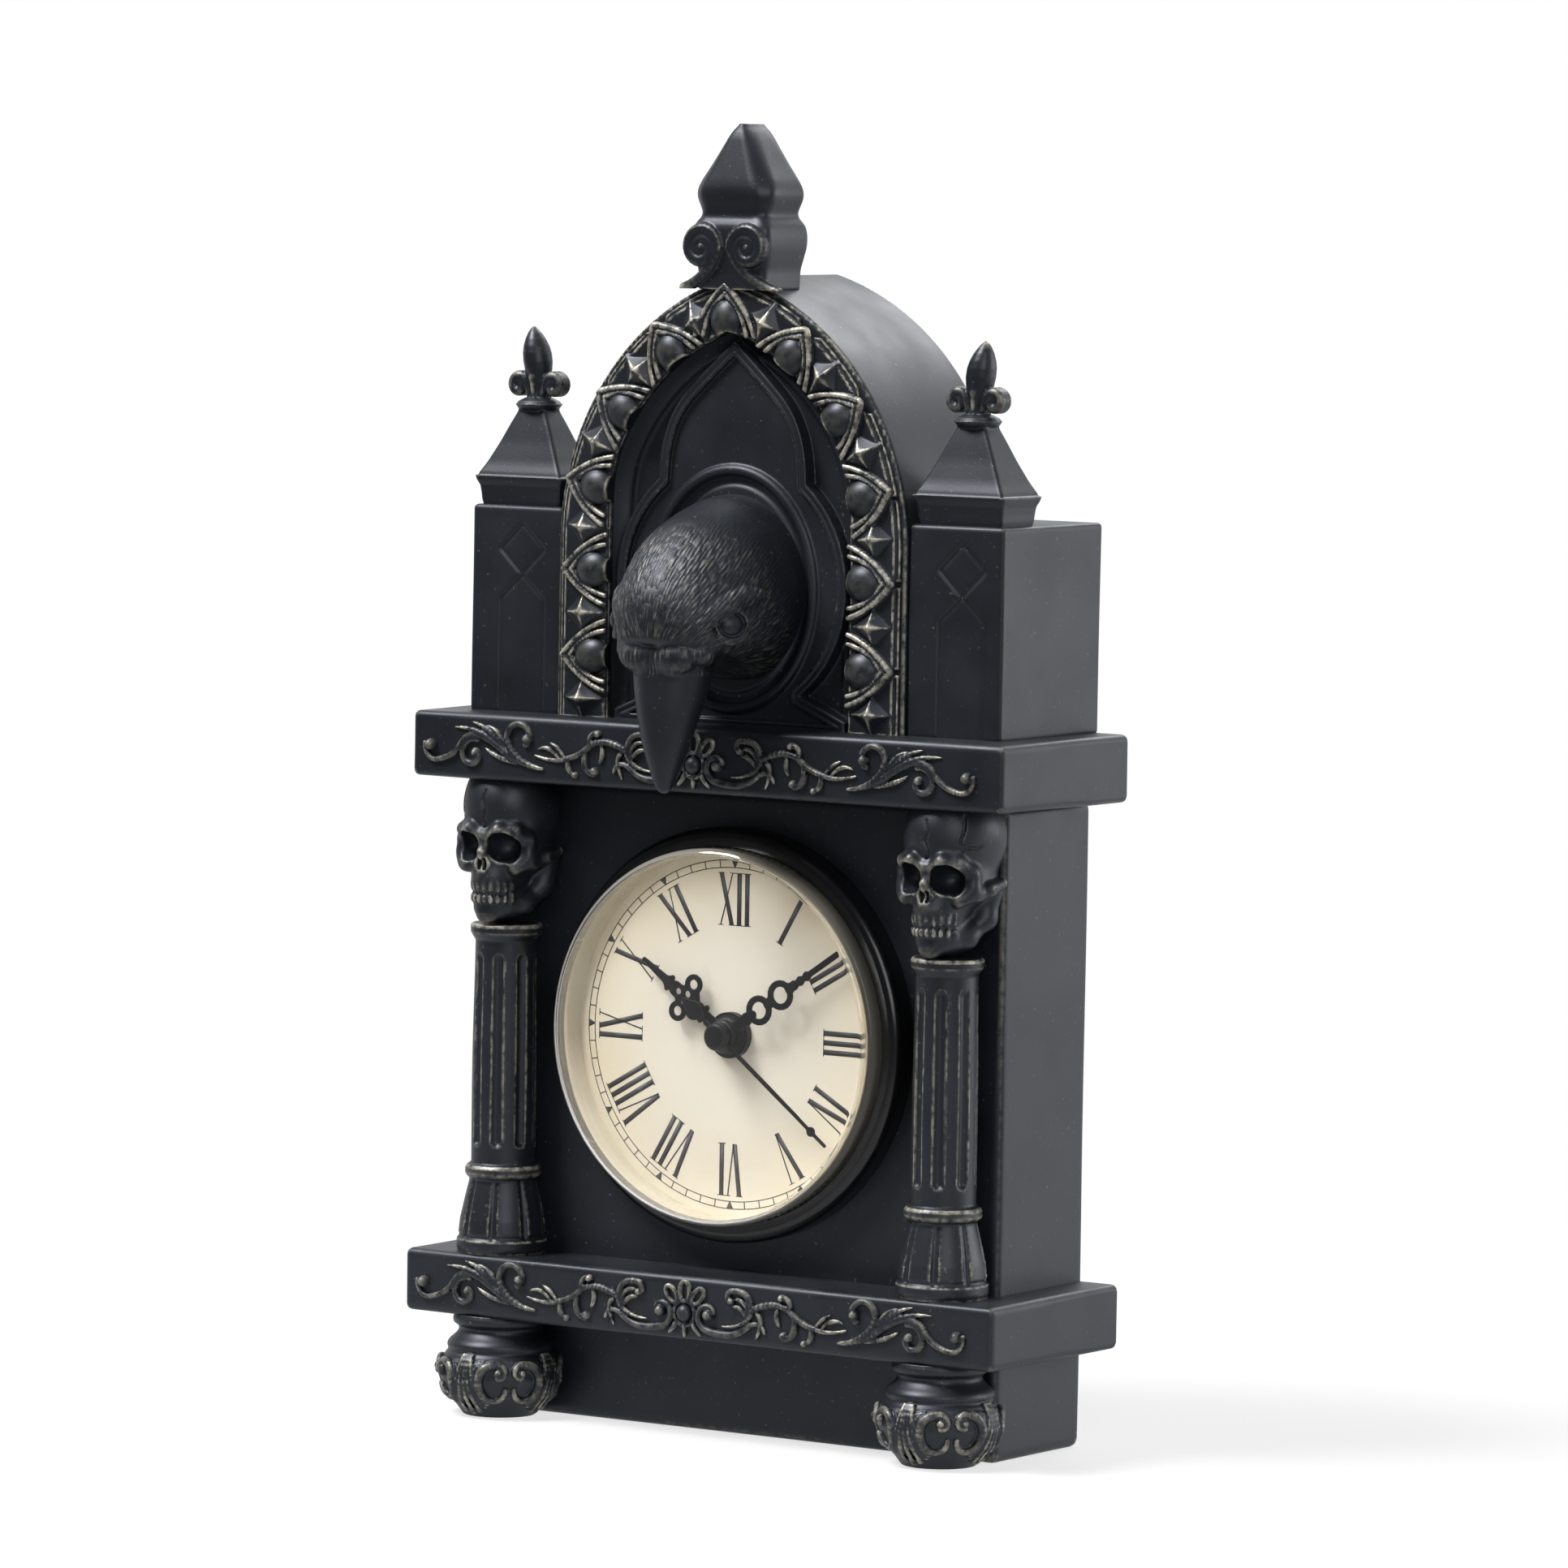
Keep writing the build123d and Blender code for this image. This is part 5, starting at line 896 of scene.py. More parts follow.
def fillet(x, y, z):
    """The small step where the cove leaves the field."""
    return np.maximum(abs(niche_edge(x, z) + COVE_WIDE) - 0.35, FIELD_FACE - 0.35 - y)


def oval(x, z, grow):
    """Distance to the neck ring's middle line, moved out by a growth."""
    wide, tall = RING_HALF[0] + grow, RING_HALF[1] + grow
    far = np.sqrt((x / wide) ** 2 + ((z - RING_CENTRE) / tall) ** 2)
    slope = np.sqrt((x / wide**2) ** 2 + ((z - RING_CENTRE) / tall**2) ** 2)
    return far * (far - 1) / np.maximum(slope, 1e-4)


clay = Clay(niche_low - (0.4, 0.4, 0), niche_high + (0.4, 0, 2.4), 0.28)
whole = (clay.low, clay.low + clay.grain * clay.count)
x, y, z = clay.everywhere()
key = flat_distance(x, z, outline).astype(np.float32)
clay.add((pulled(lambda x, z: niche_edge(x, z) - 0.3, FIELD_FACE, FIELD_BACK, 0.1), *whole))
clay.add((cove, *whole), 0.2)
clay.add((fillet, *whole), 0.3)
clay.add((pulled(lambda x, z: key, RIM_FACE, KEY_BACK, 0.45), *whole), 0.3)
clay.cut((pulled(lambda x, z: key + KEY_RIM, RIM_FACE - 5, PLATE_FACE, 0.1), *whole), 0.2)
clay.cut((lambda x, y, z: np.sqrt((key + 1.15) ** 2 + (y - RIM_FACE + 0.05) ** 2) - 0.3, *whole), 0.1)
clay.add((lambda x, y, z: np.sqrt(oval(x, z, 0) ** 2 + (y - PLATE_FACE) ** 2) - 1.05, *whole), 0.3)
clay.cut((lambda x, y, z: np.sqrt(oval(x, z, -2.3) ** 2 + (y - PLATE_FACE + 0.3) ** 2) - 0.75, *whole), 0.4)
clay.keep((lambda x, y, z: np.maximum(niche_edge(x, z) - 0.3, DECK_Z - 0.3 - z) + 0 * y, *whole))
cast("niche_plate", clay, plain_resin, ["niche_panel"], 0.7)

# %% [markdown]
# ## Raven's head
# The head leans out of the niche and the beak points down. Both are swept: oval sections are set along
# a bent line, each facing along it, and the clay takes its distance from the section that a point lies
# in. A chain of balls would show its joints, and this doesn't.

# %% Raven's head
raven_low, raven_high = box_of("raven_head")
# Rows: forward place, height, half width, half depth and tilt from straight ahead
DOME = ((-16.0, 162.3, 16.0, 17.8, -4), (-19.7, 162.0, 16.2, 18.0, 0), (-23.2, 161.5, 16.2, 17.7, 8),
        (-29.7, 159.0, 15.7, 16.9, 28), (-35.2, 154.5, 13.9, 14.6, 55), (-38.4, 150.0, 10.9, 10.3, 74))
BEAK = ((-38.9, 150.5, 7.9, 7.4, 78), (-39.5, 146.0, 7.6, 6.8, 82), (-40.7, 139.0, 6.1, 5.6, 82),
        (-41.4, 132.0, 4.1, 4.0, 83), (-41.75, 127.0, 2.2, 2.2, 84), (-41.8, 124.4, 1.1, 1.1, 84))


def between(rows, at):
    """Smooth values at a fractional row."""
    rows = np.array(rows, float)
    i = int(np.clip(math.floor(at), 0, len(rows) - 2))
    t = at - i
    a, b, c, d = [rows[int(np.clip(i + k, 0, len(rows) - 1))] for k in (-1, 0, 1, 2)]
    return 0.5 * (2 * b + (c - a) * t + (2 * a - 5 * b + 4 * c - d) * t**2 + (3 * b - a - 3 * c + d) * t**3)


def sweep(rows, edge, steps=60):
    """The body through the rows, each section facing along the bent line. Edge rounds its far end."""
    table = np.array([between(rows, s) for s in np.linspace(0, len(rows) - 1, steps)])
    tilt = np.radians(table[:, 4])
    ahead = np.stack([-np.cos(tilt), -np.sin(tilt)], 1)
    upward = np.stack([-np.sin(tilt), np.cos(tilt)], 1)

    def distance(x, y, z):
        spot = np.stack(np.broadcast_arrays(y[0], z[0]), -1)[:, :, None, :] - table[:, :2]
        off = (spot * ahead).sum(-1)
        rise = (spot * upward).sum(-1)
        crossed = (off[:, :, :-1] >= 0) & (off[:, :, 1:] < 0)
        k = np.argmin(np.where(crossed, abs(rise[:, :, :-1]) / table[:-1, 3], 1e6), -1)
        k = np.where(crossed.any(-1), k, np.where(off[:, :, 0] < 0, 0, steps - 2))[:, :, None]
        pick = lambda values, shift: np.take_along_axis(values, k + shift, -1)[:, :, 0]
        near, far = pick(off, 0), pick(off, 1)
        t = np.clip(near / np.where(abs(near - far) < 1e-6, 1e-6, near - far), 0, 1)
        mixed = [(1 - t) * table[k[:, :, 0], c] + t * table[k[:, :, 0] + 1, c] for c in (2, 3)]
        v = (1 - t) * pick(rise, 0) + t * pick(rise, 1)
        wide, tall, v = [m.astype(np.float32)[None] for m in (*mixed, v)]
        far = np.sqrt((x / wide) ** 2 + (v / tall) ** 2)
        slope = np.sqrt((x / wide**2) ** 2 + (v / tall**2) ** 2)
        flank = far * (far - 1) / np.maximum(slope, 1e-4) + edge
        end = (off[:, :, -1] + edge).astype(np.float32)[None]
        round_end = np.sqrt(np.maximum(flank, 0) ** 2 + np.maximum(end, 0) ** 2)
        return round_end + np.minimum(np.maximum(flank, end), 0) - edge

    wide = table[:, 2:4].max(1)[:, None]
    low = (-wide.max(), *(table[:, :2] - wide).min(0))
    high = (wide.max(), *(table[:, :2] + wide).max(0))
    return distance, low, high


clay = Clay(raven_low - (0.6, 0, 0.2), (raven_high[0] + 0.6, -17.5, raven_high[2] + 0.4), 0.22)
clay.add(sweep(DOME, 1.6))
clay.add(sweep(BEAK, 0.9), 0.25)
print("raven's block:", *clay.count, "grains")

# %% [markdown]
# ## Raven's face
# The tuft over the beak comes first. Then each side gets a brow, an eye with soft lids, a cheek, the
# mouth's line and a nostril. The eye sits where the surface of the swept head is, so its place is read
# from the clay, and its lids are laid on a frame of their own: forward, up and away from the head.

# %% Raven's face
for side in (1, -1):
    clay.add(egg((side * 3.7, -44.5, 150.3), (4.7, 2.9, 3.2)), 1.1)
    clay.add(egg((side * 8.0, -41.0, 151.2), (2.9, 3.4, 2.5)), 1.2)
EYE_SPOT = np.array((11.7, -38.3, 156.4))
for side in (1, -1):
    eye = EYE_SPOT * (side, 1, 1)
    away = np.array((side * 0.80, -0.58, 0.10))
    away /= np.linalg.norm(away)
    forward = side * np.cross(away, (0, 0, 1.0))
    forward /= np.linalg.norm(forward)
    upward = side * np.cross(forward, away)
    eye = eye - away * clay.read(eye[None])[0]

    def about_eye(first, last, long, tall, raised):
        """An arc round the eye, from the beak's side over the top."""
        turn = np.radians(np.linspace(first, last, 16))
        around = eye + away * raised + np.outer(np.cos(turn) * long, forward)
        return around + np.outer(np.sin(turn) * tall, upward)

    axes = np.array([forward, upward, away])
    clay.cut(egg(eye + away * 0.4, (4.2, 3.1, 1.4), axes), 1.0)
    clay.add(egg(eye - away * 0.6, (2.6, 2.3, 1.9), axes), 0.05)
    lay(clay, about_eye(-10, 190, 3.05, 2.7, 0.2), (0.2, 0.5, 0.5, 0.2), 0.5)
    lay(clay, about_eye(200, 340, 3.05, 2.6, 0.0), (0.2, 0.35, 0.2), 0.5)
    lay(clay, about_eye(0, 360, 2.5, 2.2, 0.45), (0.34, 0.34), 0.12, cut=True)
    brow = bend((side * 6.6, -44.4, 154.2), (side * 11.6, -40.6, 161.4), (side * 15.0, -32.6, 162.2), 12)
    lay(clay, brow, (0.5, 1.5, 1.6, 0.6), 1.5)
    lay(clay, about_eye(205, 320, 3.8, 3.3, -0.25), (0.2, 0.4, 0.2), 0.6)
    cheek = ((9.9, -39.9, 153.6), (9.0, -39.6, 151.9), (8.3, -38.9, 150.4))
    lay(clay, [(side * x, y, z) for x, y, z in cheek], (0.4, 0.7, 0.4), 0.4)
    gape = bend((side * 9.4, -38.3, 151.6), (side * 7.9, -36.2, 146.5), (side * 5.9, -37.6, 138.5), 10)
    edge = bend(gape[-1], (side * 4.2, -38.9, 131.5), (side * 1.6, -40.6, 126.4), 10)
    lay(clay, np.vstack([gape, edge[1:]]), (0.32, 0.42, 0.3), 0.15, cut=True)
    nostril = [(side * 3.9, -45.1, 137.5), (side * 3.7, -45.1, 136.1)]
    lay(clay, nostril, (0.42, 0.32), 0.1, cut=True)
points, quads, normals, rub = net(clay, 0.7)
print("raven's net:", len(points), "points")


# %% [markdown]
# ## Feathers
# Feathers are fine strokes that leave the beak and run back over the crown, so the longer ones are
# raised on the finished net. Along and across are measured round a line from the bill to the nape. The
# finest strokes follow the same directions in the material, through the attribute called feather.

# %% Feathers
def chance(column, row):
    """A repeatable number from 0 to 1 for each pair of whole numbers."""
    return np.abs(np.sin(column * 12.9898 + row * 78.233) * 43758.5453) % 1.0


def strokes(along, across, long, wide):
    """Height from 0 to 1 of short ridges that run along, in shifted columns."""
    column_at = across / wide
    column = np.floor(column_at)
    row_at = along / long + chance(column, 0.0)
    row = np.floor(row_at)
    back = 1 - (2 * (column_at - column) - 1) ** 2
    taper = np.sin(math.pi * (row_at - row)) ** 0.6
    return back * taper * (0.5 + 0.5 * chance(column, row))


BILL, NAPE = np.array((0, -46.0, 147.0)), np.array((0, -15.0, 169.0))
line = (NAPE - BILL) / np.linalg.norm(NAPE - BILL)
rest = points - BILL
run = rest @ line
aside = rest - np.outer(run, line)
swing = np.arctan2(aside[:, 0], aside @ np.cross((1.0, 0, 0), line))
reach = np.linalg.norm(aside, axis=1)
STROKE_LONG, STROKE_WIDE, STROKE_HIGH = 3.2, 0.66, 0.24
CROWN_ROUND, BEAK_ROUND = 14.5, 8.0
TUFT_Z, TUFT_Y = 146.4, -38.0
wander = 0.35 * np.sin(run * 0.22 + swing * 2.0)
across_feathers = swing * CROWN_ROUND + wander
along_feathers = run + 0.3 * reach
crown = strokes(along_feathers, across_feathers, STROKE_LONG, STROKE_WIDE)
rim_y, rim_z, rim_tilt = DOME[-1][0], DOME[-1][1], math.radians(DOME[-1][4])
past_rim = -(points[:, 1] - rim_y) * math.cos(rim_tilt) - (points[:, 2] - rim_z) * math.sin(rim_tilt)
eye_gap = np.min([np.linalg.norm(points - EYE_SPOT * (s, 1, 1), axis=1) for s in (1, -1)], 0)
feathered = np.clip((-past_rim - 0.4) / 1.2, 0, 1) * np.clip((eye_gap - 3.0) / 1.2, 0, 1)
feathered *= np.clip((30.0 - run) / 9.0, 0.1, 1)
points = points + normals * (STROKE_HIGH * feathered * (crown - 0.5))[:, None]
shine = np.clip(rub, -0.2, 0.16) * 0.8 + 0.07 * feathered * crown
raven = piece("raven", points, quads, feathered_resin, "cast_resin", ["raven_head"], "case", shine)
tuft = np.clip((past_rim + 0.4) / 0.6, 0, 1) * np.clip((points[:, 2] - TUFT_Z) / 0.6, 0, 1)
tuft *= points[:, 1] < TUFT_Y
around_beak = np.arctan2(points[:, 0], -(points[:, 1] + 38.5)) * BEAK_ROUND
across_feathers = np.where(tuft > 0, around_beak, across_feathers)
along_feathers = np.where(tuft > 0, points[:, 2], along_feathers)
combed = np.stack([across_feathers, along_feathers, np.maximum(feathered, tuft)], 1).astype(np.float32)
raven.data.attributes.new("feather", "FLOAT_VECTOR", "POINT").data.foreach_set("vector", combed.ravel())

# %% [markdown]
# ## Pillars
# A square pillar stands on each side of the arch. Its front has a diamond and a lancet sunk half a
# millimetre deep. The lines are rods cut out of a block, as a gouge would cut them. The right-hand
# one is modelled and turned over for the left.

# %% Pillars
DIAMOND_Z, DIAMOND_WIDE, DIAMOND_TALL = 167.6, 5.0, 4.8
GABLE_WIDE, GABLE_Z, GABLE_APEX = 5.0, 158.0, 162.6
ENGRAVE = 0.42
# Both motifs stand a little to the right of their pillar's middle
MOTIF_SHIFT = 1.4
for node, flip in (("right_pillar", False), ("left_pillar", True)):
    low, high = box_of("right_pillar")
    middle = (low[0] + high[0]) / 2 + (-MOTIF_SHIFT if flip else MOTIF_SHIFT)

    def diamond(x, z):
        reach = abs(x - middle) / DIAMOND_WIDE + abs(z - DIAMOND_Z) / DIAMOND_TALL
        return (reach - 1) * 3.46

    def gable(x, z):
        side = abs(x - middle)
        slope = (GABLE_APEX - GABLE_Z) / GABLE_WIDE
        roof_line = (z - GABLE_APEX + slope * side) / math.hypot(1, slope)
        return np.maximum(side - GABLE_WIDE, roof_line)

    foot = low - (0, 0, 0.5)
    clay = Clay(foot, high, 0.34)
    clay.add(block(foot, high - (0, 0.2, 0), 0.9))
    clay.sway(0.07, 11)
    for panel in (diamond, gable):
        clay.cut((pulled(panel, low[1] - 3, low[1] + 0.25, 0.1), foot, high), 0.2)
        groove = lambda x, y, z: np.sqrt(panel(x, z) ** 2 + (y - low[1]) ** 2) - ENGRAVE
        clay.cut((groove, low - (0, 1, 0), high), 0.15)
    clay.keep(block(foot, high, 0.1))
    cast(node + "_casting", clay, plain_resin, [node], 0.8, flip)

# %% [markdown]
# ## Spires
# On each pillar sits a small hipped roof with a hollow cornice, and a bud between two curled leaves.
# The roof is a box whose width and depth change with the height, the bud is turned and leans a little,
# and the leaves are rods wound into curls. Easing the profile's corners keeps the look of a casting.

# %% Spires
low, high = box_of("right_spire")
X, Y = (low[0] + high[0]) / 2, (low[1] + high[1]) / 2
CORNICE_Z = (176.0, 176.9, 178.2, 179.6, 180.7, 181.55)
CORNICE_STEP = (1.2, 1.0, 0.9, 0.7, 0.2, 0.0)
ROOF_FOOT = 181.6
# Rows: height, half width, half depth
ROOF = ((181.6, 9.9, 6.7), (184.0, 8.4, 5.6), (188.0, 6.3, 4.3), (191.5, 4.6, 3.4), (194.4, 3.1, 2.6))


def eased(z, rows, column, soft=0.7):
    """A profile's value at each height, with its corners eased."""
    heights, values = [row[0] for row in rows], [row[column] for row in rows]
    return sum(np.interp(z + soft * step, heights, values) for step in (-1, -0.5, 0, 0.5, 1)) / 5


def roof(x, y, z):
    """A hollow cornice with a hipped roof on it."""
    undercut = np.interp(z, CORNICE_Z, CORNICE_STEP)
    wide = np.where(z < ROOF_FOOT, high[0] - X - undercut, eased(z, ROOF, 1))
    deep = np.where(z < ROOF_FOOT, high[1] - Y - undercut, eased(z, ROOF, 2))
    sides = -merge(wide - abs(x - X), deep - abs(y - Y), 0.8)
    return np.maximum(sides * 0.85, np.maximum(175.6 - z, z - 194.6))


foot = low - (0, 0, 0.5)
clay = Clay(foot, high, 0.22)
clay.add((roof, foot, high))
# Rows: height, radius
COLLAR = ((194.2, 3.4), (194.7, 4.1), (195.3, 4.5), (196.0, 3.9), (196.6, 2.6))
clay.add(turned((X, Y), 194.2, 196.6, 5, COLLAR), 0.3)
BUD = ((195.6, 1.5), (198.0, 1.75), (200.0, 2.2), (202.0, 2.65), (203.6, 2.85), (205.2, 2.8), (206.6, 2.5),
       (208.0, 1.95), (209.2, 1.25), (210.0, 0.6), (210.4, 0.15))
BUD_LEAN = 1.4
upright, bud_low, bud_high = turned((X, Y), 195.6, 210.4, 5, BUD)
leaning = lambda x, y, z: upright(x - BUD_LEAN * np.clip((z - 196) / 14, 0, 1) ** 2, y, z)
clay.add((leaning, bud_low, bud_high), 0.3)
for side in (1, -1):
    stem = bend((side * 0.8, 196.2), (side * 1.5, 197.4), (side * 1.9, 199.0), 6)
    first, last = (180, -270) if side > 0 else (0, 450)
    leaf = curl((side * 4.0, 199.0), 2.1, 0.6, first, last, 26)
    for push in (-0.9, 0.0, 0.9):
        lay(clay, [(X + u, Y + push, v) for u, v in (*stem, *leaf[1:])], (0.8, 0.95, 0.9, 0.8), 0.2)
for push in (-1, 1):
    rib = [(X, Y + push * 1.6, 196.6), (X + 0.2, Y + push * 2.1, 200.5), (X + 0.6, Y + push * 2.2, 204.5)]
    lay(clay, rib, (0.5, 0.6, 0.2), 0.4)
clay.keep(block(foot, high, 0.1))
points, quads, normals, rub = net(clay, 0.7)
# The brush went over the bud and only touched the roof
both_sides("spire", points, quads, rub * np.where(points[:, 2] < 197, 0.4, 1.0))

# %% [markdown]
# ## Finial
# On the arch's point stands a drum with a faceted bulb that narrows to a ridge, and in front of it the
# ends of the arch's roll wind up into two volutes. The drum and the bulb are one stack of sections, each
# a rectangle with its corners taken off.

# %% Finial
low, high = box_of("top_finial")
STEM_Y = -15.8
# Rows: height, half width, half depth, how far the corners reach out
TIERS = ((218.0, 7.8, 6.9, 1.85), (222.5, 7.9, 7.0, 1.85), (224.5, 8.4, 7.3, 1.85), (226.8, 8.9, 7.7, 1.85),
         (229.0, 9.0, 7.7, 1.85), (231.0, 8.6, 7.5, 1.85), (232.2, 7.7, 6.7, 1.82), (232.9, 7.5, 6.6, 1.78),
         (234.4, 8.1, 7.0, 1.74), (235.8, 8.8, 7.5, 1.70), (237.4, 8.9, 7.6, 1.68), (239.0, 8.3, 7.3, 1.66),
         (242.0, 6.4, 6.5, 1.64), (245.0, 4.6, 5.7, 1.62), (247.6, 3.0, 5.0, 1.60), (249.2, 1.8, 4.2, 1.60),
         (250.0, 0.9, 3.3, 1.60))


def stack(x, y, z):
    """Mouldings with chamfered corners, one on another."""
    wide, deep, corner = [eased(z, TIERS, k) for k in (1, 2, 3)]
    px, py = abs(x), abs(y - STEM_Y)
    flats = -merge(wide - px, deep - py, 0.8)
    chamfer = (px / wide + py / deep - corner) * wide * deep / np.hypot(wide, deep)
    return np.maximum(-merge(-flats, -chamfer, 0.9) * 0.75, z - high[2] + 0.05)


clay = Clay(low - (1.4, 0, 0), high + (1.4, 0, 0), 0.25)
clay.add((stack, low, high))
VOLUTE_SHIFT, VOLUTE_OUT, VOLUTE_Z, VOLUTE_Y = -0.7, 5.2, 226.6, -23.1
for side in (1, -1):
    tail = bend((side * 12.0, 218.2), (side * 4.0, 220.0), (side * (VOLUTE_OUT - 3.8), VOLUTE_Z), 12)
    first, last = (180, -540) if side > 0 else (0, 720)
    wind = curl((side * VOLUTE_OUT, VOLUTE_Z), 3.8, 0.5, first, last, 48)
    path = np.vstack([tail, wind[1:]]) + (VOLUTE_SHIFT, 0)
    deep = np.interp(np.arange(len(path)), [0, 11], [-21.8, VOLUTE_Y])
    lay(clay, [(u, y, v) for (u, v), y in zip(path, deep)], (1.0, 1.25, 1.25, 1.15, 1.0, 0.85), 0.12)
    middle = (VOLUTE_SHIFT + side * VOLUTE_OUT, VOLUTE_Y + 0.9, VOLUTE_Z)
    clay.add(egg(middle, (4.0, 0.9, 4.0)), 0.2)
    clay.add(egg((middle[0], VOLUTE_Y, VOLUTE_Z), (1.0, 1.1, 1.0)), 0.2)
clay.keep(block(low - (1.3, 0, 0), high + (1.3, 0, 0), 0.05))
points, quads, normals, rub = net(clay, 0.8)
# More silver on the volutes than on the bulb behind them
rub = rub * np.where(points[:, 1] < -22.6, 0.7, 0.35)
piece("finial", points, quads, carved_resin, "cast_resin", ["top_finial"], "case", rub)

# %% [markdown]
# ## Columns
# The half columns are turned forms: a bell base cut into petals, a ring, a shaft with eight stopped
# flutes. A lathe gives the outline, and the flutes are rods cut out of it, with round ends as a ball
# cutter leaves them.

# %% Columns
low, high = box_of("right_column")
AXIS = np.array((50.6, -20.9))
# Columns and feet end at the box's front, and their clay reaches a little further
BOX_FRONT, CLAY_BACK = -14.9, -14.8
# Rows: height, radius
COLUMN = ((31.8, 8.5), (32.6, 8.8), (34.2, 8.75), (34.9, 8.2), (35.4, 8.45), (38.0, 8.2), (42.0, 7.35),
          (45.6, 6.5), (46.0, 6.5), (46.2, 6.9), (46.9, 7.35), (48.0, 7.35), (48.7, 6.9), (48.9, 6.2),
          (92.2, 6.0), (92.6, 6.3), (93.6, 6.9), (94.9, 7.0), (95.5, 6.7))
foot = low - (0, 0, 0.3)
clay = Clay(foot, (high[0], CLAY_BACK, high[2]), 0.27)
clay.add(turned(AXIS, 31.5, 95.5, 9, COLUMN))
for k in range(8):
    turn = math.radians(22.5 + 45 * k)
    out = np.array((math.sin(turn), -math.cos(turn)))
    flute, brim, neck = AXIS + 6.55 * out, AXIS + 8.75 * out, AXIS + 6.75 * out
    clay.cut(rod((*flute, 53.5), (*flute, 88.6), 1.15, 1.15), 0.25)
    waist = brim * 0.35 + neck * 0.65 + 0.3 * (brim - neck)
    lay(clay, [(*brim, 35.2), (*waist, 40.5), (*neck, 45.6)], (0.8, 0.75, 0.55), 0.2, cut=True)
clay.sway(0.05, 9)
clay.keep(block(foot, (high[0], BOX_FRONT, high[2]), 0.05))
points, quads, normals, rub = net(clay, 0.8)
both_sides("column", points, quads, rub)

# %% [markdown]
# ## Skulls
# Each column carries a skull in place of a capital. It is built the way an anatomist builds one, from
# the brain case down: brow, sockets, cheek arches, nose, two rows of teeth and a jaw. Eggs with soft
# joints give bone its smooth turns, and a few cracks are cut at the end.

# %% Skulls
low, high = box_of("right_skull")
MIDDLE = AXIS[0]
SKULL_BACK, SKULL_CLAY_BACK = -14.8, -14.6
# The brain case's centre and radii
CASE, CASE_RADII = (0, -18.8, 118.2), (9.5, 10.4, 11.0)
# Trails of bone on one side: out from the middle, depth and height
JAW = ((1.9, -25.6, 98.3), (4.4, -21.0, 99.4), (5.9, -17.4, 102.8), (7.0, -16.4, 108.0))
CHEEK = ((5.7, -26.2, 106.7), (7.6, -23.9, 107.4), (8.9, -20.6, 108.6), (9.2, -17.0, 109.6))
ORBIT = ((0.8, -29.0, 112.8), (3.4, -29.2, 114.0), (6.2, -27.2, 113.6), (7.8, -24.6, 111.6),
         (7.7, -24.8, 109.0), (6.6, -25.7, 107.2))
clay = Clay((low[0], low[1], low[2] - 0.3), (high[0], SKULL_CLAY_BACK, high[2] + 0.3), 0.2)


def bone(centre, radii, soft, cut=False):
    """An egg of bone, or a hollow, at a place out from the skull's middle."""
    (clay.cut if cut else clay.add)(egg((MIDDLE + centre[0], *centre[1:]), radii), soft)


def ridge(side, trail, thick, soft):
    """A ridge of bone along a trail."""
    lay(clay, [(MIDDLE + side * u, y, z) for u, y, z in trail], thick, soft)


bone(CASE, CASE_RADII, 0)
bone((0, -20.6, 110.0), (8.3, 8.6, 6.4), 2.0)
bone((0, -22.9, 104.6), (4.9, 7.0, 5.4), 1.8)
bone((0, -22.4, 99.7), (4.5, 6.4, 4.2), 1.8)
for side in (1, -1):
    ridge(side, JAW, (1.5, 1.6, 1.8, 1.9), 2.0)
    ridge(side, CHEEK, (1.3, 1.2, 1.0, 1.0), 1.3)
    ridge(side, ORBIT, (0.3, 0.5, 0.5, 0.5, 0.5, 0.8), 2.4)
    tilt = np.array([[0.97, 0, -side * 0.24], [0, 1, 0], [side * 0.24, 0, 0.97]])
    clay.cut(egg((MIDDLE + side * 3.9, -28.2, 110.6), (3.15, 4.8, 3.0), tilt), 0.25)
    clay.cut(egg((MIDDLE + side * 5.0, -28.6, 109.5), (2.0, 3.6, 2.1), tilt), 0.4)
    bone((side * 7.8, -24.2, 103.6), (2.0, 3.0, 2.3), 1.4, cut=True)
    bone((side * 10.4, -22.0, 112.4), (1.6, 2.6, 2.2), 1.2, cut=True)
ridge(1, ((0, -28.2, 112.8), (0, -29.5, 109.6), (0, -29.6, 108.7)), (0.8, 0.75, 0.6), 0.6)
for side in (1, -1):
    ridge(side, ((0.4, -29.3, 109.2), (1.3, -29.0, 107.4), (1.2, -28.9, 106.2)), (0.45, 0.5, 0.4), 0.35)
    bone((side * 0.6, -29.9, 107.3), (0.62, 1.7, 1.3), 0.12, cut=True)
print("skull's block:", *clay.count, "grains")


# %% [markdown]
# ## Teeth and cracks
# Two rows of small uneven teeth follow the jaw's arc, and the mouth is a wavering cut between them. The
# cracks are thin rods cut along the brain case. The back is trimmed flat where the box stands, and the
# face gets a little more silver than the crown.

# %% Teeth and cracks
def on_case(u, z):
    """Depth of the brain case's front at a place."""
    wide, deep, tall = CASE_RADII
    return CASE[1] - deep * math.sqrt(max(1 - (u / wide) ** 2 - ((z - CASE[2]) / tall) ** 2, 0))


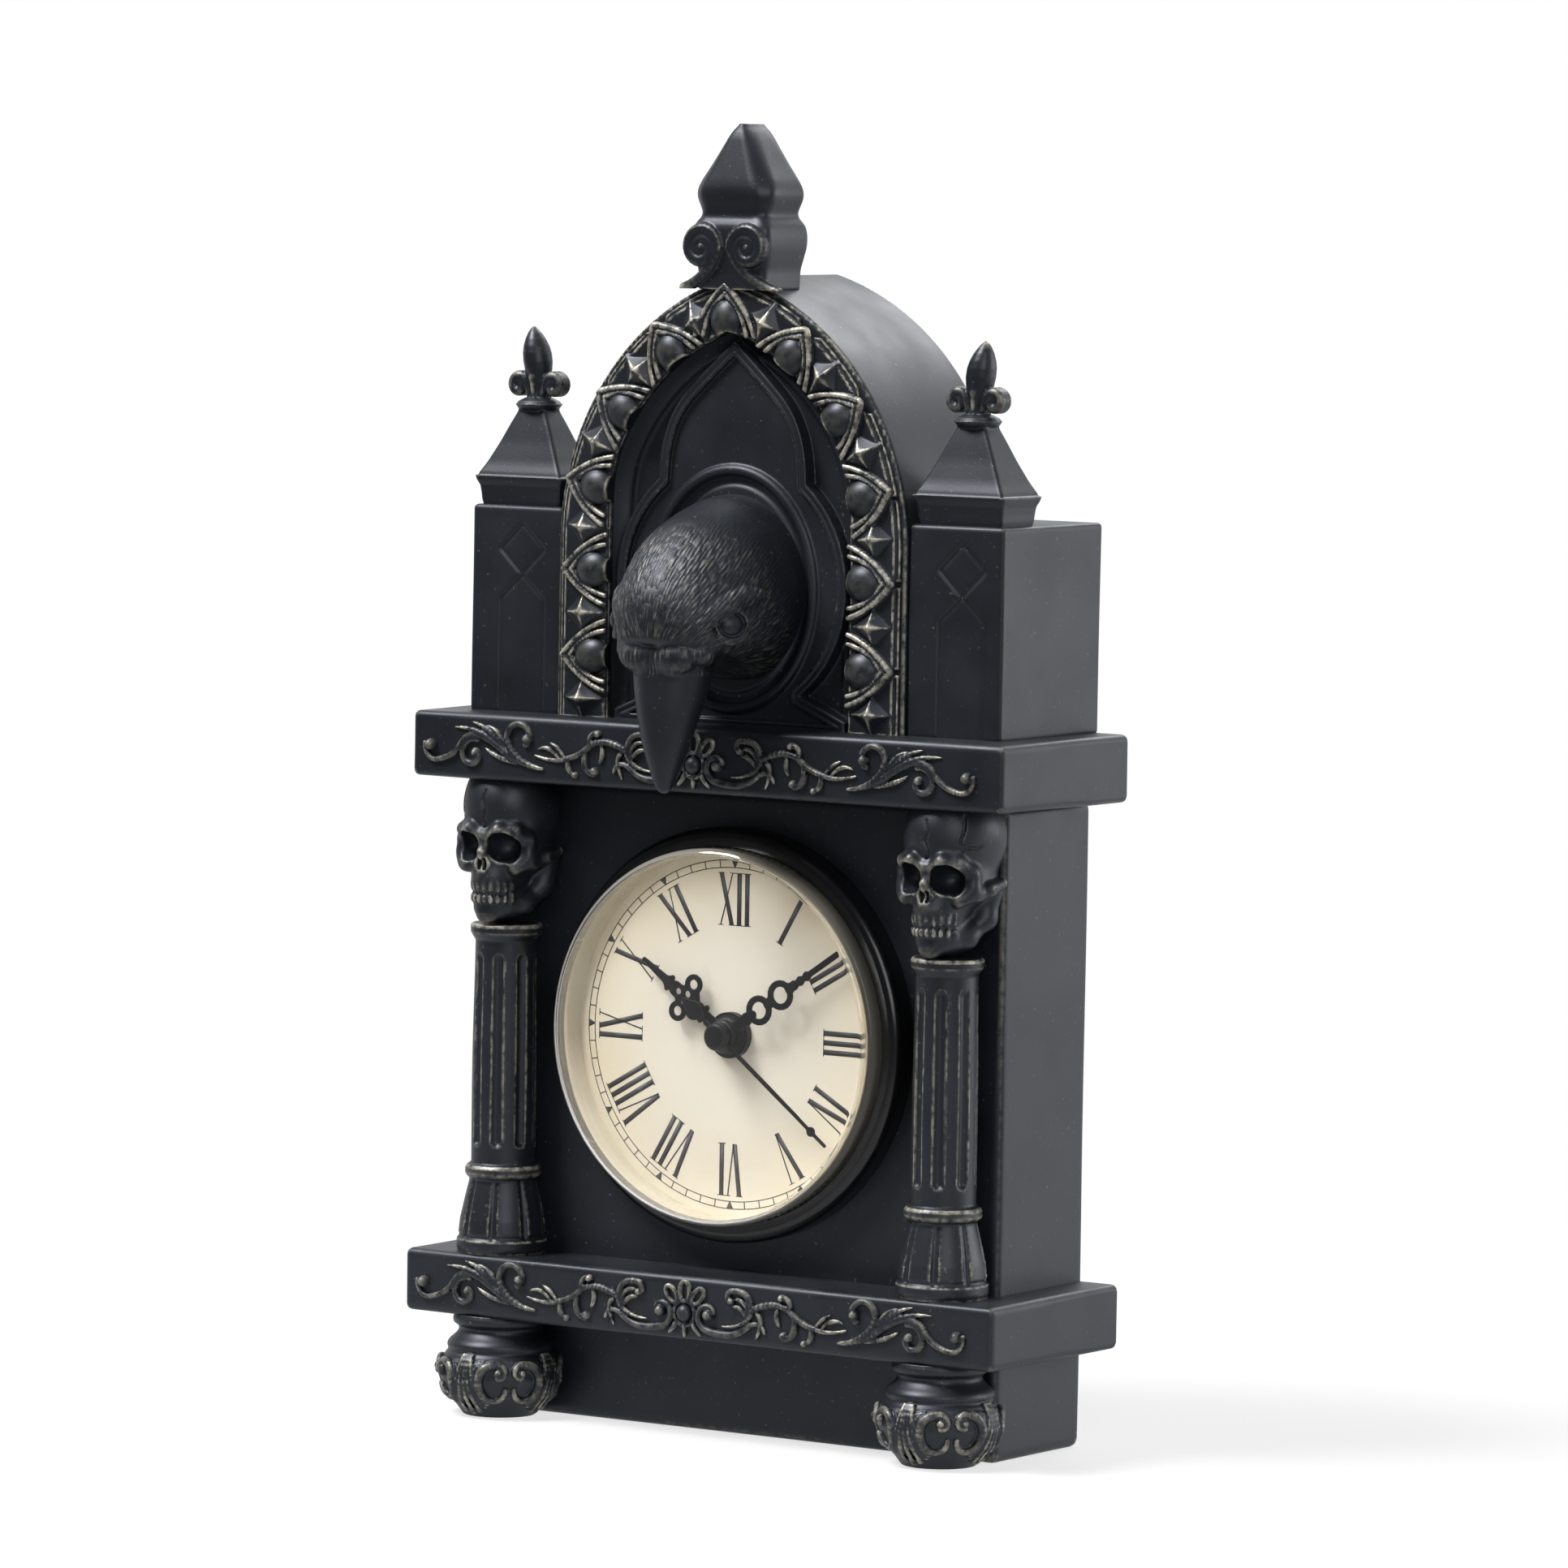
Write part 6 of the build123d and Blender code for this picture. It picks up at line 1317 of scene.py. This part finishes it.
MOUTH_Y = -23.5
TEETH = 10
for k in range(TEETH):
    turn = math.radians(-70 + 140 * k / (TEETH - 1))
    for row, z, tall in ((1, 102.9, 1.1), (2, 100.5, 0.85)):
        uneven = float(chance(k, row)) - 0.5
        tooth = (4.6 * math.sin(turn), MOUTH_Y - 5.75 * math.cos(turn), z + 0.5 * uneven)
        bone(tooth, (0.5, 0.5, tall * (1 + 0.3 * uneven)), 0.6)
mouth = [(5.0 * math.sin(t), MOUTH_Y - 6.2 * math.cos(t), 101.7 + 0.35 * math.sin(9 * t))
         for t in np.radians(np.linspace(-80, 80, 18))]
lay(clay, [(MIDDLE + u, y, z) for u, y, z in mouth], (0.22, 0.32, 0.22), 0.12, cut=True)
bone((0, -27.3, 97.2), (2.2, 1.5, 1.6), 1.2)
# Each crack is a line of places out from the middle and up
CRACKS = ([(-0.3, 121.5), (0.2, 119.6), (-0.4, 117.8), (0.3, 116.0), (-0.2, 114.0)],
          [(6.2, 122.6), (6.5, 119.8), (6.0, 117.6), (6.6, 116.8)],
          [(6.2, 116.0), (7.2, 116.6), (8.0, 116.4), (8.6, 117.0)])
for crack in CRACKS:
    lay(clay, [(MIDDLE + u, on_case(u, z), z) for u, z in crack], (0.25, 0.42, 0.2), 0.1, cut=True)
clay.sway(0.05, 1.9)
clay.keep(block((low[0] - 0.2, low[1], low[2] - 0.2), (high[0] + 0.2, SKULL_BACK, high[2] + 0.2), 0.05))
points, quads, normals, rub = net(clay, 0.8)
face = np.clip((-26.2 - points[:, 1]) / 2.5, 0, 1) * np.clip((115.2 - points[:, 2]) / 2.0, 0, 1)
both_sides("skull", points, quads, 0.75 * rub + 0.04 * face)

# %% [markdown]
# ## Feet
# The feet are buns with a collar. Round each run fans of acanthus blades and pairs of scrolls between
# them. The pattern is drawn flat, as length round the bun and height, and then wrapped on it, so that
# one drawing serves all the way round.

# %% Feet
low, high = box_of("right_foot")
clay = Clay((low[0] - 0.6, low[1] - 0.6, 0), (high[0] + 0.6, CLAY_BACK, high[2] + 0.2), 0.2)
# Rows: height, radius
BUN = ((0.0, 7.0), (2.0, 8.5), (4.5, 10.5), (7.5, 11.6), (10.0, 11.4), (12.0, 10.6), (12.6, 9.9),
       (13.0, 10.2), (13.8, 10.3), (14.6, 9.8), (15.4, 8.8), (16.2, 8.1), (17.0, 8.0), (17.4, 8.3),
       (17.6, 9.0), (18.2, 9.2), (18.9, 9.2), (19.5, 8.9))
BUN = [(z, float(eased(z, BUN, 1, 0.3))) for z in np.arange(0, 19.7, 0.15)]
BUN_ROUND = 11.2
clay.add(turned(AXIS, 0.0, 19.7, 12, BUN))


def on_foot(flat, up):
    """Points on the bun from arc length round it and height, raised a little."""
    flat = np.asarray(flat, float)
    wide = np.interp(flat[:, 1], [row[0] for row in BUN], [row[1] for row in BUN]) + up
    turn = flat[:, 0] / BUN_ROUND
    return np.stack([AXIS[0] + wide * np.sin(turn), AXIS[1] - wide * np.cos(turn), flat[:, 1]], 1)


QUARTER = math.pi / 2 * BUN_ROUND
# Rows: the tip's place and height, and how wide the blade is
BLADES = ((-4.2, 3.4, 0.9), (-2.0, 1.9, 1.0), (0.0, 1.5, 1.0), (2.0, 1.9, 1.0), (4.2, 3.4, 0.9))
SCROLL = np.vstack([curl((2.25, 9.0), 0.6, 1.75, -100, -270, 12),
                    bend((2.25, 10.75), (5.9, 10.9), (5.9, 7.2), 10)[1:],
                    bend((5.9, 7.2), (5.8, 3.9), (3.0, 3.8), 9)[1:],
                    bend((3.0, 3.8), (1.0, 3.9), (0.8, 6.0), 6)[1:]])
for fan in (-QUARTER, 0, QUARTER):
    for tip, drop, wide in BLADES:
        line = bend((fan + tip * 0.25, 12.3), (fan + tip * 0.28, 7.0), (fan + tip, drop), 12)
        lay(clay, on_foot(line, 0.2), (0.4, 0.55, 0.7 * wide, 0.85 * wide, 0.8 * wide), 0.15)
    for tip in (-3.0, -1.0, 1.0, 3.0):
        slot = bend((fan + tip * 0.5, 5.6), (fan + tip * 0.75, 4.0), (fan + tip * 1.02, 2.6), 6)
        lay(clay, on_foot(slot, 0.35), (0.2, 0.5, 0.65), 0.15, cut=True)
for pair in (-1.5 * QUARTER, -0.5 * QUARTER, 0.5 * QUARTER, 1.5 * QUARTER):
    for side in (1, -1):
        def turned_out(flat):
            return [(pair + side * u, v) for u, v in flat]

        lay(clay, on_foot(turned_out(SCROLL), 0.3), (0.65, 0.65, 0.75, 0.9, 0.95, 0.85, 0.65, 0.5), 0.15)
        clay.add(egg(on_foot(turned_out([(2.1, 9.2)]), 0.35)[0], (0.9, 0.9, 0.9)), 0.15)
        for gap in (1.6, 2.9):
            line = bend((2.6, 11.6), (5.6 + gap, 11.6), (5.9 + gap * 0.95, 7.0), 10)
            tail = bend(line[-1], (5.6 + gap * 0.9, 4.4), (4.4 + gap * 0.6, 2.7), 8)
            lay(clay, on_foot(turned_out(np.vstack([line[3:], tail[1:]])), -0.1), (0.35, 0.7, 0.8, 0.7), 0.12)
clay.keep(block((low[0] - 0.6, low[1] - 0.6, 0.02), (high[0] + 0.6, BOX_FRONT, high[2] + 0.2), 0.05))
points, quads, normals, rub = net(clay, 0.7)
# The collar above the carving kept most of its black
both_sides("foot", points, quads, rub * np.where(points[:, 2] > 12.8, 0.4, 1.0))

# %% [markdown]
# ## Dial
# The insert is a bought part: a black plastic bezel, a paper dial and a clear moulded lens. The print on
# the dial is thin flat shapes a few hundredths of a millimetre proud: a railway track for the minutes
# and roman hours whose feet face the middle, each with one fat and one thin stroke.

# %% Ink
FACE = box_of("dial")[0][1]
INK = 0.04
print_points, print_faces = [], []


def inked(corners):
    """A flat printed shape with four corners, given as distance right and up from the dial's middle."""
    base = len(print_points)
    for deep in (FACE - INK, FACE + 0.02):
        print_points.extend((u, deep, DIAL_Z + v) for u, v in corners)
    print_faces.append([base, base + 1, base + 2, base + 3])
    print_faces.append([base + 7, base + 6, base + 5, base + 4])
    for k in range(4):
        m = (k + 1) % 4
        print_faces.append([base + k, base + 4 + k, base + 4 + m, base + m])


def on_dial(turn, right, out):
    """A point beside and along the line from the middle at a clockwise angle in degrees."""
    c, s = math.cos(math.radians(turn)), math.sin(math.radians(turn))
    return out * s + right * c, out * c - right * s


def stroke_line(turn, a, b, wide):
    """A printed bar between two points of a numeral, cut square to the radius."""
    half = wide / 2
    corners = [(a[0] - half, a[1]), (a[0] + half, a[1]), (b[0] + half, b[1]), (b[0] - half, b[1])]
    inked([on_dial(turn, *corner) for corner in (corners if b[1] > a[1] else corners[::-1])])


print("ink stands", INK, "mm proud of the paper")

# %% [markdown]
# ## Numerals and track
# Each hour is a word of three kinds of letter, and a letter is a fat and a thin bar with hairline
# serifs. The railway track is two rings of short bars, with a tick for each minute and a wedge for each
# hour. As drawn shapes they stay sharp from close by, which a painted picture wouldn't.

# %% Numerals and track
NUMERAL_FOOT, NUMERAL_HEAD = 20.9, 30.8
FAT, THIN, HAIR = 1.0, 0.27, 0.16
WIDTHS = {"I": 1.8, "V": 4.0, "X": 4.0}
HOURS = ("XII", "I", "II", "III", "IV", "V", "VI", "VII", "VIII", "IX", "X", "XI")
for hour, word in enumerate(HOURS):
    turn = 30 * hour
    left = -sum(WIDTHS[letter] for letter in word) / 2
    for letter in word:
        wide = WIDTHS[letter]
        foot, head = NUMERAL_FOOT, NUMERAL_HEAD
        serifs = [(left + 0.05, left + wide - 0.05, head)]
        if letter == "I":
            stroke_line(turn, (left + 0.9, foot), (left + 0.9, head), FAT)
            serifs.append((left + 0.05, left + wide - 0.05, foot))
        elif letter == "V":
            stroke_line(turn, (left + 2.0, foot), (left + 0.75, head), FAT)
            stroke_line(turn, (left + 2.25, foot), (left + 3.4, head), THIN)
            serifs = [(left + 0.0, left + 1.5, head), (left + 2.8, left + 4.0, head)]
        else:
            stroke_line(turn, (left + 3.25, foot), (left + 0.75, head), FAT)
            stroke_line(turn, (left + 0.7, foot), (left + 3.3, head), THIN)
            serifs = [(left + 0.0, left + 1.5, head), (left + 2.7, left + 4.0, head),
                      (left + 0.1, left + 1.3, foot), (left + 2.5, left + 4.0, foot)]
        for a, b, at in serifs:
            inked([on_dial(turn, a, at - HAIR / 2), on_dial(turn, b, at - HAIR / 2),
                   on_dial(turn, b, at + HAIR / 2), on_dial(turn, a, at + HAIR / 2)])
        left += wide
TRACK_IN, TRACK_OUT, TRACK_LINE = 31.8, 33.2, 0.16
for k in range(180):
    for radius in (TRACK_IN, TRACK_OUT):
        a, b = 2 * k, 2 * k + 2
        rim = radius + TRACK_LINE
        inked([on_dial(a, 0, rim), on_dial(b, 0, rim), on_dial(b, 0, radius), on_dial(a, 0, radius)])
for minute in range(60):
    turn = 6 * minute
    if minute % 5:
        stroke_line(turn, (0, TRACK_IN), (0, TRACK_OUT), 0.2)
    else:
        wedge = ((-0.08, TRACK_IN), (0.08, TRACK_IN), (0.75, TRACK_OUT), (-0.75, TRACK_OUT))
        inked([on_dial(turn, *corner) for corner in wedge])
print("dial print:", len(print_faces), "faces")


# %% [markdown]
# ## Paper, ink and black parts
# The paper has yellowed a little from its edge. The print is matt ink, and the bezel and the plate
# behind the dial are black moulded plastic. They keep the shapes of their solids and get a finish with
# a faint cloud and a fine grain. That grain is drawn coarser than the real one, so that it shows.

# %% Dial finishes
def simple_finish(name, dark, light, rough, cell, **extra):
    """A finish with a faint cloud in its colour and a fine grain in its surface."""
    material, tree = fresh_material(name)
    spot = place(tree, "TexCoord", out="Object")
    cloud = place(tree, "TexNoise", {"Vector": spot, "Scale": per_mm(cell * 12), "Detail": 3.0}, "Fac")
    grain = place(tree, "TexNoise", {"Vector": spot, "Scale": per_mm(cell), "Detail": 2.0}, "Fac")
    colour = place(tree, "Mix", {0: cloud, 6: paint(dark), 7: paint(light)}, 2, data_type="RGBA")
    gloss = place(tree, "MapRange", {"Value": grain, "To Min": rough * 0.85, "To Max": rough * 1.15})
    bump = place(tree, "Bump", {"Height": grain, "Strength": 0.12, "Distance": 0.03 * MM})
    body = place(tree, "BsdfPrincipled", {"Base Color": colour, "Roughness": gloss, "Normal": bump, **extra})
    place(tree, "OutputMaterial", {"Surface": body})
    return material


def dress(node, material):
    """Gives a CAD node its finish."""
    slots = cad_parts[node].data.materials
    for k in range(len(slots)):
        slots[k] = material


# Ink that has sunk into paper: dark, with no gloss of its own
printing_ink = simple_finish("printing_ink", "#26262a", "#38383c", 0.55, 0.4)
# Sprayed lacquer on stamped sheet: deep black with a dull shine
black_lacquer = simple_finish("stamped_black_lacquer", "#0a0b0d", "#131417", 0.34, 0.5,
                              **{"Specular IOR Level": 0.3})
# Plastic from a polished mould: black with sharp bright lines on its edges
black_abs = simple_finish("moulded_black_abs", "#090a0c", "#121316", 0.22, 0.7)
piece("dial_print", print_points, print_faces, printing_ink, "dial_paper")

# Uncoated paper, yellowed from its edge inward: a warm matt ground under the print
aged_paper, tree = fresh_material("aged_dial_paper")
spot = place(tree, "TexCoord", out="Object")
hub = (0, FACE * MM, DIAL_Z * MM)
from_middle = place(tree, "VectorMath", {0: spot, 1: hub}, "Value", operation="DISTANCE")
rim = place(tree, "MapRange", {"Value": from_middle, "From Min": 15 * MM, "From Max": 36 * MM})
stain = place(tree, "TexNoise", {"Vector": spot, "Scale": per_mm(18), "Detail": 4.0}, "Fac")
aged = place(tree, "Math", {0: rim, 1: stain}, operation="MULTIPLY")
cream = place(tree, "Mix", {0: aged, 6: paint("#dcd6c8"), 7: paint("#c8b890")}, 2, data_type="RGBA")
# Real fibres are finer still
fibre = place(tree, "TexNoise", {"Vector": spot, "Scale": per_mm(0.3), "Detail": 2.0}, "Fac")
tooth = place(tree, "Bump", {"Height": fibre, "Strength": 0.08, "Distance": 0.02 * MM})
sheet = place(tree, "BsdfPrincipled", {"Base Color": cream, "Roughness": 0.55, "Normal": tooth})
place(tree, "OutputMaterial", {"Surface": sheet})
for node, material in (("dial", aged_paper), ("bezel", black_abs), ("dial_plate", black_abs)):
    dress(node, material)
print("dial: paper and black parts dressed")

# %% [markdown]
# ## Lens
# The lens is a shallow clear cup, moulded in one piece. It is spun here from a profile with an even
# wall, because uneven walls bend the light in dark rings. Its skirt is a little hazy, and the paper's
# cream is painted into it as a painted reflection. Clear sheet dims the light a little but casts no dark
# shadow, so the shadow is switched off.

# %% Lens
# Moulded acrylic, clear in front. Its skirt is a little hazy, and its colour carries a painted reflection of
# the paper's cream
clear_acrylic, tree = fresh_material("moulded_clear_acrylic")
spot = place(tree, "TexCoord", out="Object")
flat_spot = place(tree, "VectorMath", {0: spot, 1: (1, 0, 1)}, operation="MULTIPLY")
from_axis = place(tree, "VectorMath", {0: flat_spot, 1: (0, 0, DIAL_Z * MM)}, "Value", operation="DISTANCE")
skirt = place(tree, "MapRange", {"Value": from_axis, "From Min": 34.9 * MM, "From Max": 35.2 * MM})
clear = place(tree, "MapRange", {"Value": skirt, "To Min": 1.0, "To Max": 0.72})
# Painted reflection: the skirt's colour turns cream in place of the paper's light carried in the acrylic
painted_paper_glow = place(tree, "Mix", {0: skirt, 6: paint("#ffffff"), 7: paint("#efe8d6")}, 2, data_type="RGBA")
pane = place(tree, "BsdfPrincipled", {"Base Color": painted_paper_glow, "Roughness": 0.0, "IOR": 1.49,
             "Specular IOR Level": 0.25, "Transmission Weight": clear})
place(tree, "OutputMaterial", {"Surface": pane})


def spun(profile, steps=144):
    """Points and quads of a closed profile of radius and depth, spun round the dial's axis."""
    rows = [(r, y) for r, y in profile if r > 0]
    turn = np.linspace(0, 2 * math.pi, steps, endpoint=False)
    points = [(r * math.cos(t), y, DIAL_Z + r * math.sin(t)) for r, y in rows for t in turn]
    ring = lambda k, j: k * steps + j % steps
    quads = [[ring(k, j), ring(k, j + 1), ring(k + 1, j + 1), ring(k + 1, j)]
             for k in range(len(rows) - 1) for j in range(steps)]
    for k, y in ((0, profile[0][1]), (len(rows) - 1, profile[-1][1])):
        points.append((0, y, DIAL_Z))
        fan = [[len(points) - 1, ring(k, j + 2), ring(k, j + 1), ring(k, j)] for j in range(0, steps, 2)]
        quads += fan if k == 0 else [quad[::-1] for quad in fan]
    return points, quads


lens_low, lens_high = box_of("lens")
LENS_RADIUS, LENS_WALL, LENS_ROUND = lens_high[0], 0.8, 1.5
front, back = lens_low[1], lens_high[1]


def rounding(radius, degrees):
    """Points round the lens's shoulder at these angles from straight ahead."""
    return [(LENS_RADIUS - LENS_ROUND + radius * math.sin(t), front + LENS_ROUND - radius * math.cos(t))
            for t in np.radians(degrees)]


profile = [(0, front), (12, front), (24, front), *rounding(LENS_ROUND, (0, 15, 30, 45, 60, 75, 90)),
           (LENS_RADIUS, back), (LENS_RADIUS - LENS_WALL, back),
           *rounding(LENS_ROUND - LENS_WALL, (90, 67, 45, 23, 0)),
           (24, front + LENS_WALL), (12, front + LENS_WALL), (0, front + LENS_WALL)]
lens_pane = piece("lens_pane", *spun(profile), clear_acrylic, "clear_lens", ["lens"])
lens_pane.visible_shadow = False

# %% [markdown]
# ## Hands
# The hands are stamped from thin sheet and lacquered black. Both have pierced loops and swellings, and
# the seconds hand has a leaf for a counterweight. They are cut in the clay as flat outlines: along the
# hand from the arbor, and across it.

# %% Stamping
HAND_SHEET = 0.4


def stamped(node, body, turn, back, hub_front, hub, adds, cuts, reach):
    """A flat hand from bars and discs in its own frame, then turned to its hour."""
    clay = Clay((-6.5, hub_front - 0.2, -12.5), (6.5, back + 0.1, reach + 0.5), 0.13)

    def flat(shape):
        a, b, start, end = shape
        a, b = np.array(a, float), np.array(b, float)
        run = b - a
        size = max(run @ run, 1e-9)

        def outline_at(x, z):
            t = np.clip(((x - a[0]) * run[0] + (z - a[1]) * run[1]) / size, 0, 1)
            return np.hypot(x - a[0] - t * run[0], z - a[1] - t * run[1]) - (start + (end - start) * t)
        wide = max(start, end)
        low = (min(a[0], b[0]) - wide, back - HAND_SHEET, min(a[1], b[1]) - wide)
        high = (max(a[0], b[0]) + wide, back, max(a[1], b[1]) + wide)
        return pulled(outline_at, back - HAND_SHEET, back, 0.08), low, high

    for shape in adds:
        clay.add(flat(shape), 0.12)
    for shape in cuts:
        distance, low, high = flat(shape)
        clay.cut((lambda x, y, z, d=distance: d(x, 0 * y + back - HAND_SHEET / 2, z), low, high), 0.05)
    boss = pulled(lambda x, z: np.hypot(x, z) - hub, hub_front, back, 0.9)
    clay.add((boss, (-hub, hub_front, -hub), (hub, back, hub)), 0.1)
    points, quads, normals, rub = net(clay, 0.3)
    c, s = math.cos(math.radians(turn)), math.sin(math.radians(turn))
    x, y, z = points.T
    points = np.stack([x * c + z * s, y, DIAL_Z + z * c - x * s], 1)
    return piece(node + "_stamping", points, quads, black_lacquer, "black_paint", [node], body, rub)


def ring_of(centre, radius, wide):
    """Short bars round a circle."""
    line = curl(centre, radius, radius, 0, 360, 20)
    return [(a, b, wide, wide) for a, b in zip(line, line[1:])]


def dot(u, v, radius):
    """A disc across and along the hand."""
    return ((u, v), (u, v), radius, radius)


print("sheet for the hands:", HAND_SHEET, "mm thick")

# %% [markdown]
# ## Three hands
# Each hand is a list of bars and discs, and a bar is two ends with a radius at each. The hour hand has
# two side loops and three pierced holes, the minute hand has two rings, and the seconds hand a leaf
# behind its hub. They show about nine minutes and twenty-one seconds past ten.

# %% Three hands
# Degrees clockwise from twelve
HOUR_TURN, MINUTE_TURN, SECOND_TURN = 304.5, 56.13, 127.8
hour_adds = [((0, 3), (0, 10), 1.15, 1.0), ((0, 10), (0, 14.5), 1.7, 1.5), ((0, 14.5), (0, 19), 1.15, 0.75),
             ((0, 19), (0, 23.4), 0.75, 0.5), dot(0, 8.0, 1.5), dot(0, 16.4, 1.3), dot(1.2, 16.2, 0.55),
             dot(-1.2, 16.2, 0.55), dot(1.4, 6.6, 0.6), dot(-1.4, 6.6, 0.6)]
minute_adds = [((0, 3), (0, 8), 1.0, 0.9), ((0, 18), (0, 23), 0.7, 0.6), ((0, 23), (0, 31.2), 0.62, 0.62),
               dot(0, 19.3, 1.0), dot(0, 21.0, 0.95), dot(0, 22.8, 0.95), dot(0, 6.4, 1.3), dot(0, 12.7, 1.1),
               dot(0, 18.2, 1.1)]
second_adds = [((0, -4), (0, 31), 0.5, 0.36), dot(0, 27.0, 0.95), ((0, -5), (0, -7.5), 0.5, 1.9),
               ((0, -7.5), (0, -10.6), 1.9, 0.4)]
for side in (1, -1):
    hour_adds += ring_of((side * 3.2, 11.6), 1.45, 0.52)
    hour_adds += [((side * 0.8, 9.0), (side * 2.4, 10.2), 0.7, 0.6),
                  ((side * 1.0, 13.2), (side * 2.0, 12.4), 0.6, 0.5)]
for middle_at in (9.8, 15.6):
    minute_adds += ring_of((0, middle_at), 2.25, 0.62)
    minute_adds += [dot(0, middle_at + 2.3, 0.9)]
hour_cuts = [dot(0.85, 11.6, 0.62), dot(-0.85, 11.6, 0.62), dot(0, 13.6, 0.6)]
# In this order: turn, back plane, front of the hub, hub's radius, what is added and cut, reach
stamped("hour_hand", "hour", HOUR_TURN, -20.1, -21.1, 3.6, hour_adds, hour_cuts, 24)
stamped("minute_hand", "minute", MINUTE_TURN, -21.3, -22.5, 3.2, minute_adds, [], 32)
stamped("second_hand", "second", SECOND_TURN, -22.7, -24.7, 2.7, second_adds, [], 31.5)

# %% [markdown]
# ## Movement
# What the back shows is a quartz movement in its pocket: matt moulded plastic, white acetal wheels, a
# copper coil, a nickel-plated pair of springs and a plain cell. The CAD pieces have the right shapes,
# and get finishes.

# %% Movement finishes
# Plastic from a sparked mould: dark grey without a highlight
matt_abs = simple_finish("matt_moulded_abs", "#1a1b1d", "#232427", 0.62, 0.35)
# Slippery wheel plastic: milky white with a soft sheen
acetal = simple_finish("moulded_white_acetal", "#dcdcd6", "#efefe9", 0.38, 0.6)
# Plated strip: a warm bright metal
spring_nickel = simple_finish("nickel_plated_spring", "#b6b2a8", "#cbc8bf", 0.28, 0.4, Metallic=1.0)
# Bare sheet for magnets: a cool grey metal, duller than plating
rolled_steel = simple_finish("rolled_electrical_steel", "#8d8f92", "#a5a7aa", 0.38, 0.3, Metallic=1.0)
# Wound wire under clear enamel: red-brown metal with a gloss
enamelled_wire = simple_finish("enamelled_copper_wire", "#a3552c", "#c06f3c", 0.32, 0.25, Metallic=1.0)
# Baked lacquer on a board: dark green and half glossy
solder_mask = simple_finish("green_solder_mask", "#12482c", "#1a5c39", 0.35, 0.5)
# Soft washer: a black that swallows the light
moulded_rubber = simple_finish("moulded_rubber", "#141414", "#1d1d1d", 0.80, 0.5)

# Shrunk film round a cell: smooth and dark with a copper-coloured end
cell_wrap, tree = fresh_material("shrink_wrapped_cell")
spot = place(tree, "TexCoord", out="Object")
along = place(tree, "SeparateXYZ", {"Vector": spot}, "X")
end = place(tree, "MapRange", {"Value": along, "From Min": 11.9 * MM, "From Max": 12.1 * MM})
film = place(tree, "TexNoise", {"Vector": spot, "Scale": per_mm(6), "Detail": 3.0}, "Fac")
dark = place(tree, "Mix", {0: film, 6: paint("#17181b"), 7: paint("#222327")}, 2, data_type="RGBA")
wrap = place(tree, "Mix", {0: end, 6: dark, 7: paint("#b0763a")}, 2, data_type="RGBA")
wrinkle = place(tree, "Bump", {"Height": film, "Strength": 0.1, "Distance": 0.05 * MM})
cell = place(tree, "BsdfPrincipled", {"Base Color": wrap, "Roughness": 0.3, "Normal": wrinkle})
place(tree, "OutputMaterial", {"Surface": cell})

FINISHES = (
    (matt_abs, ("movement_front_case", "movement_rear_case", "train_bridge")),
    (acetal, ("rotor", "intermediate_wheel", "second_wheel", "third_wheel", "centre_wheel", "minute_arbor",
              "minute_wheel", "hour_wheel", "setting_knob")),
    (spring_nickel, ("quartz_crystal", "contact_positive", "contact_negative")),
    (rolled_steel, ("stator",)),
    (enamelled_wire, ("coil",)),
    (solder_mask, ("circuit_board",)),
    (moulded_rubber, ("rubber_washer",)),
    (black_lacquer, ("hand_nut",)),
    (cell_wrap, ("battery",)),
)
for material, nodes in FINISHES:
    for node in nodes:
        dress(node, material)
print("movement:", sum(len(nodes) for material, nodes in FINISHES), "nodes dressed")
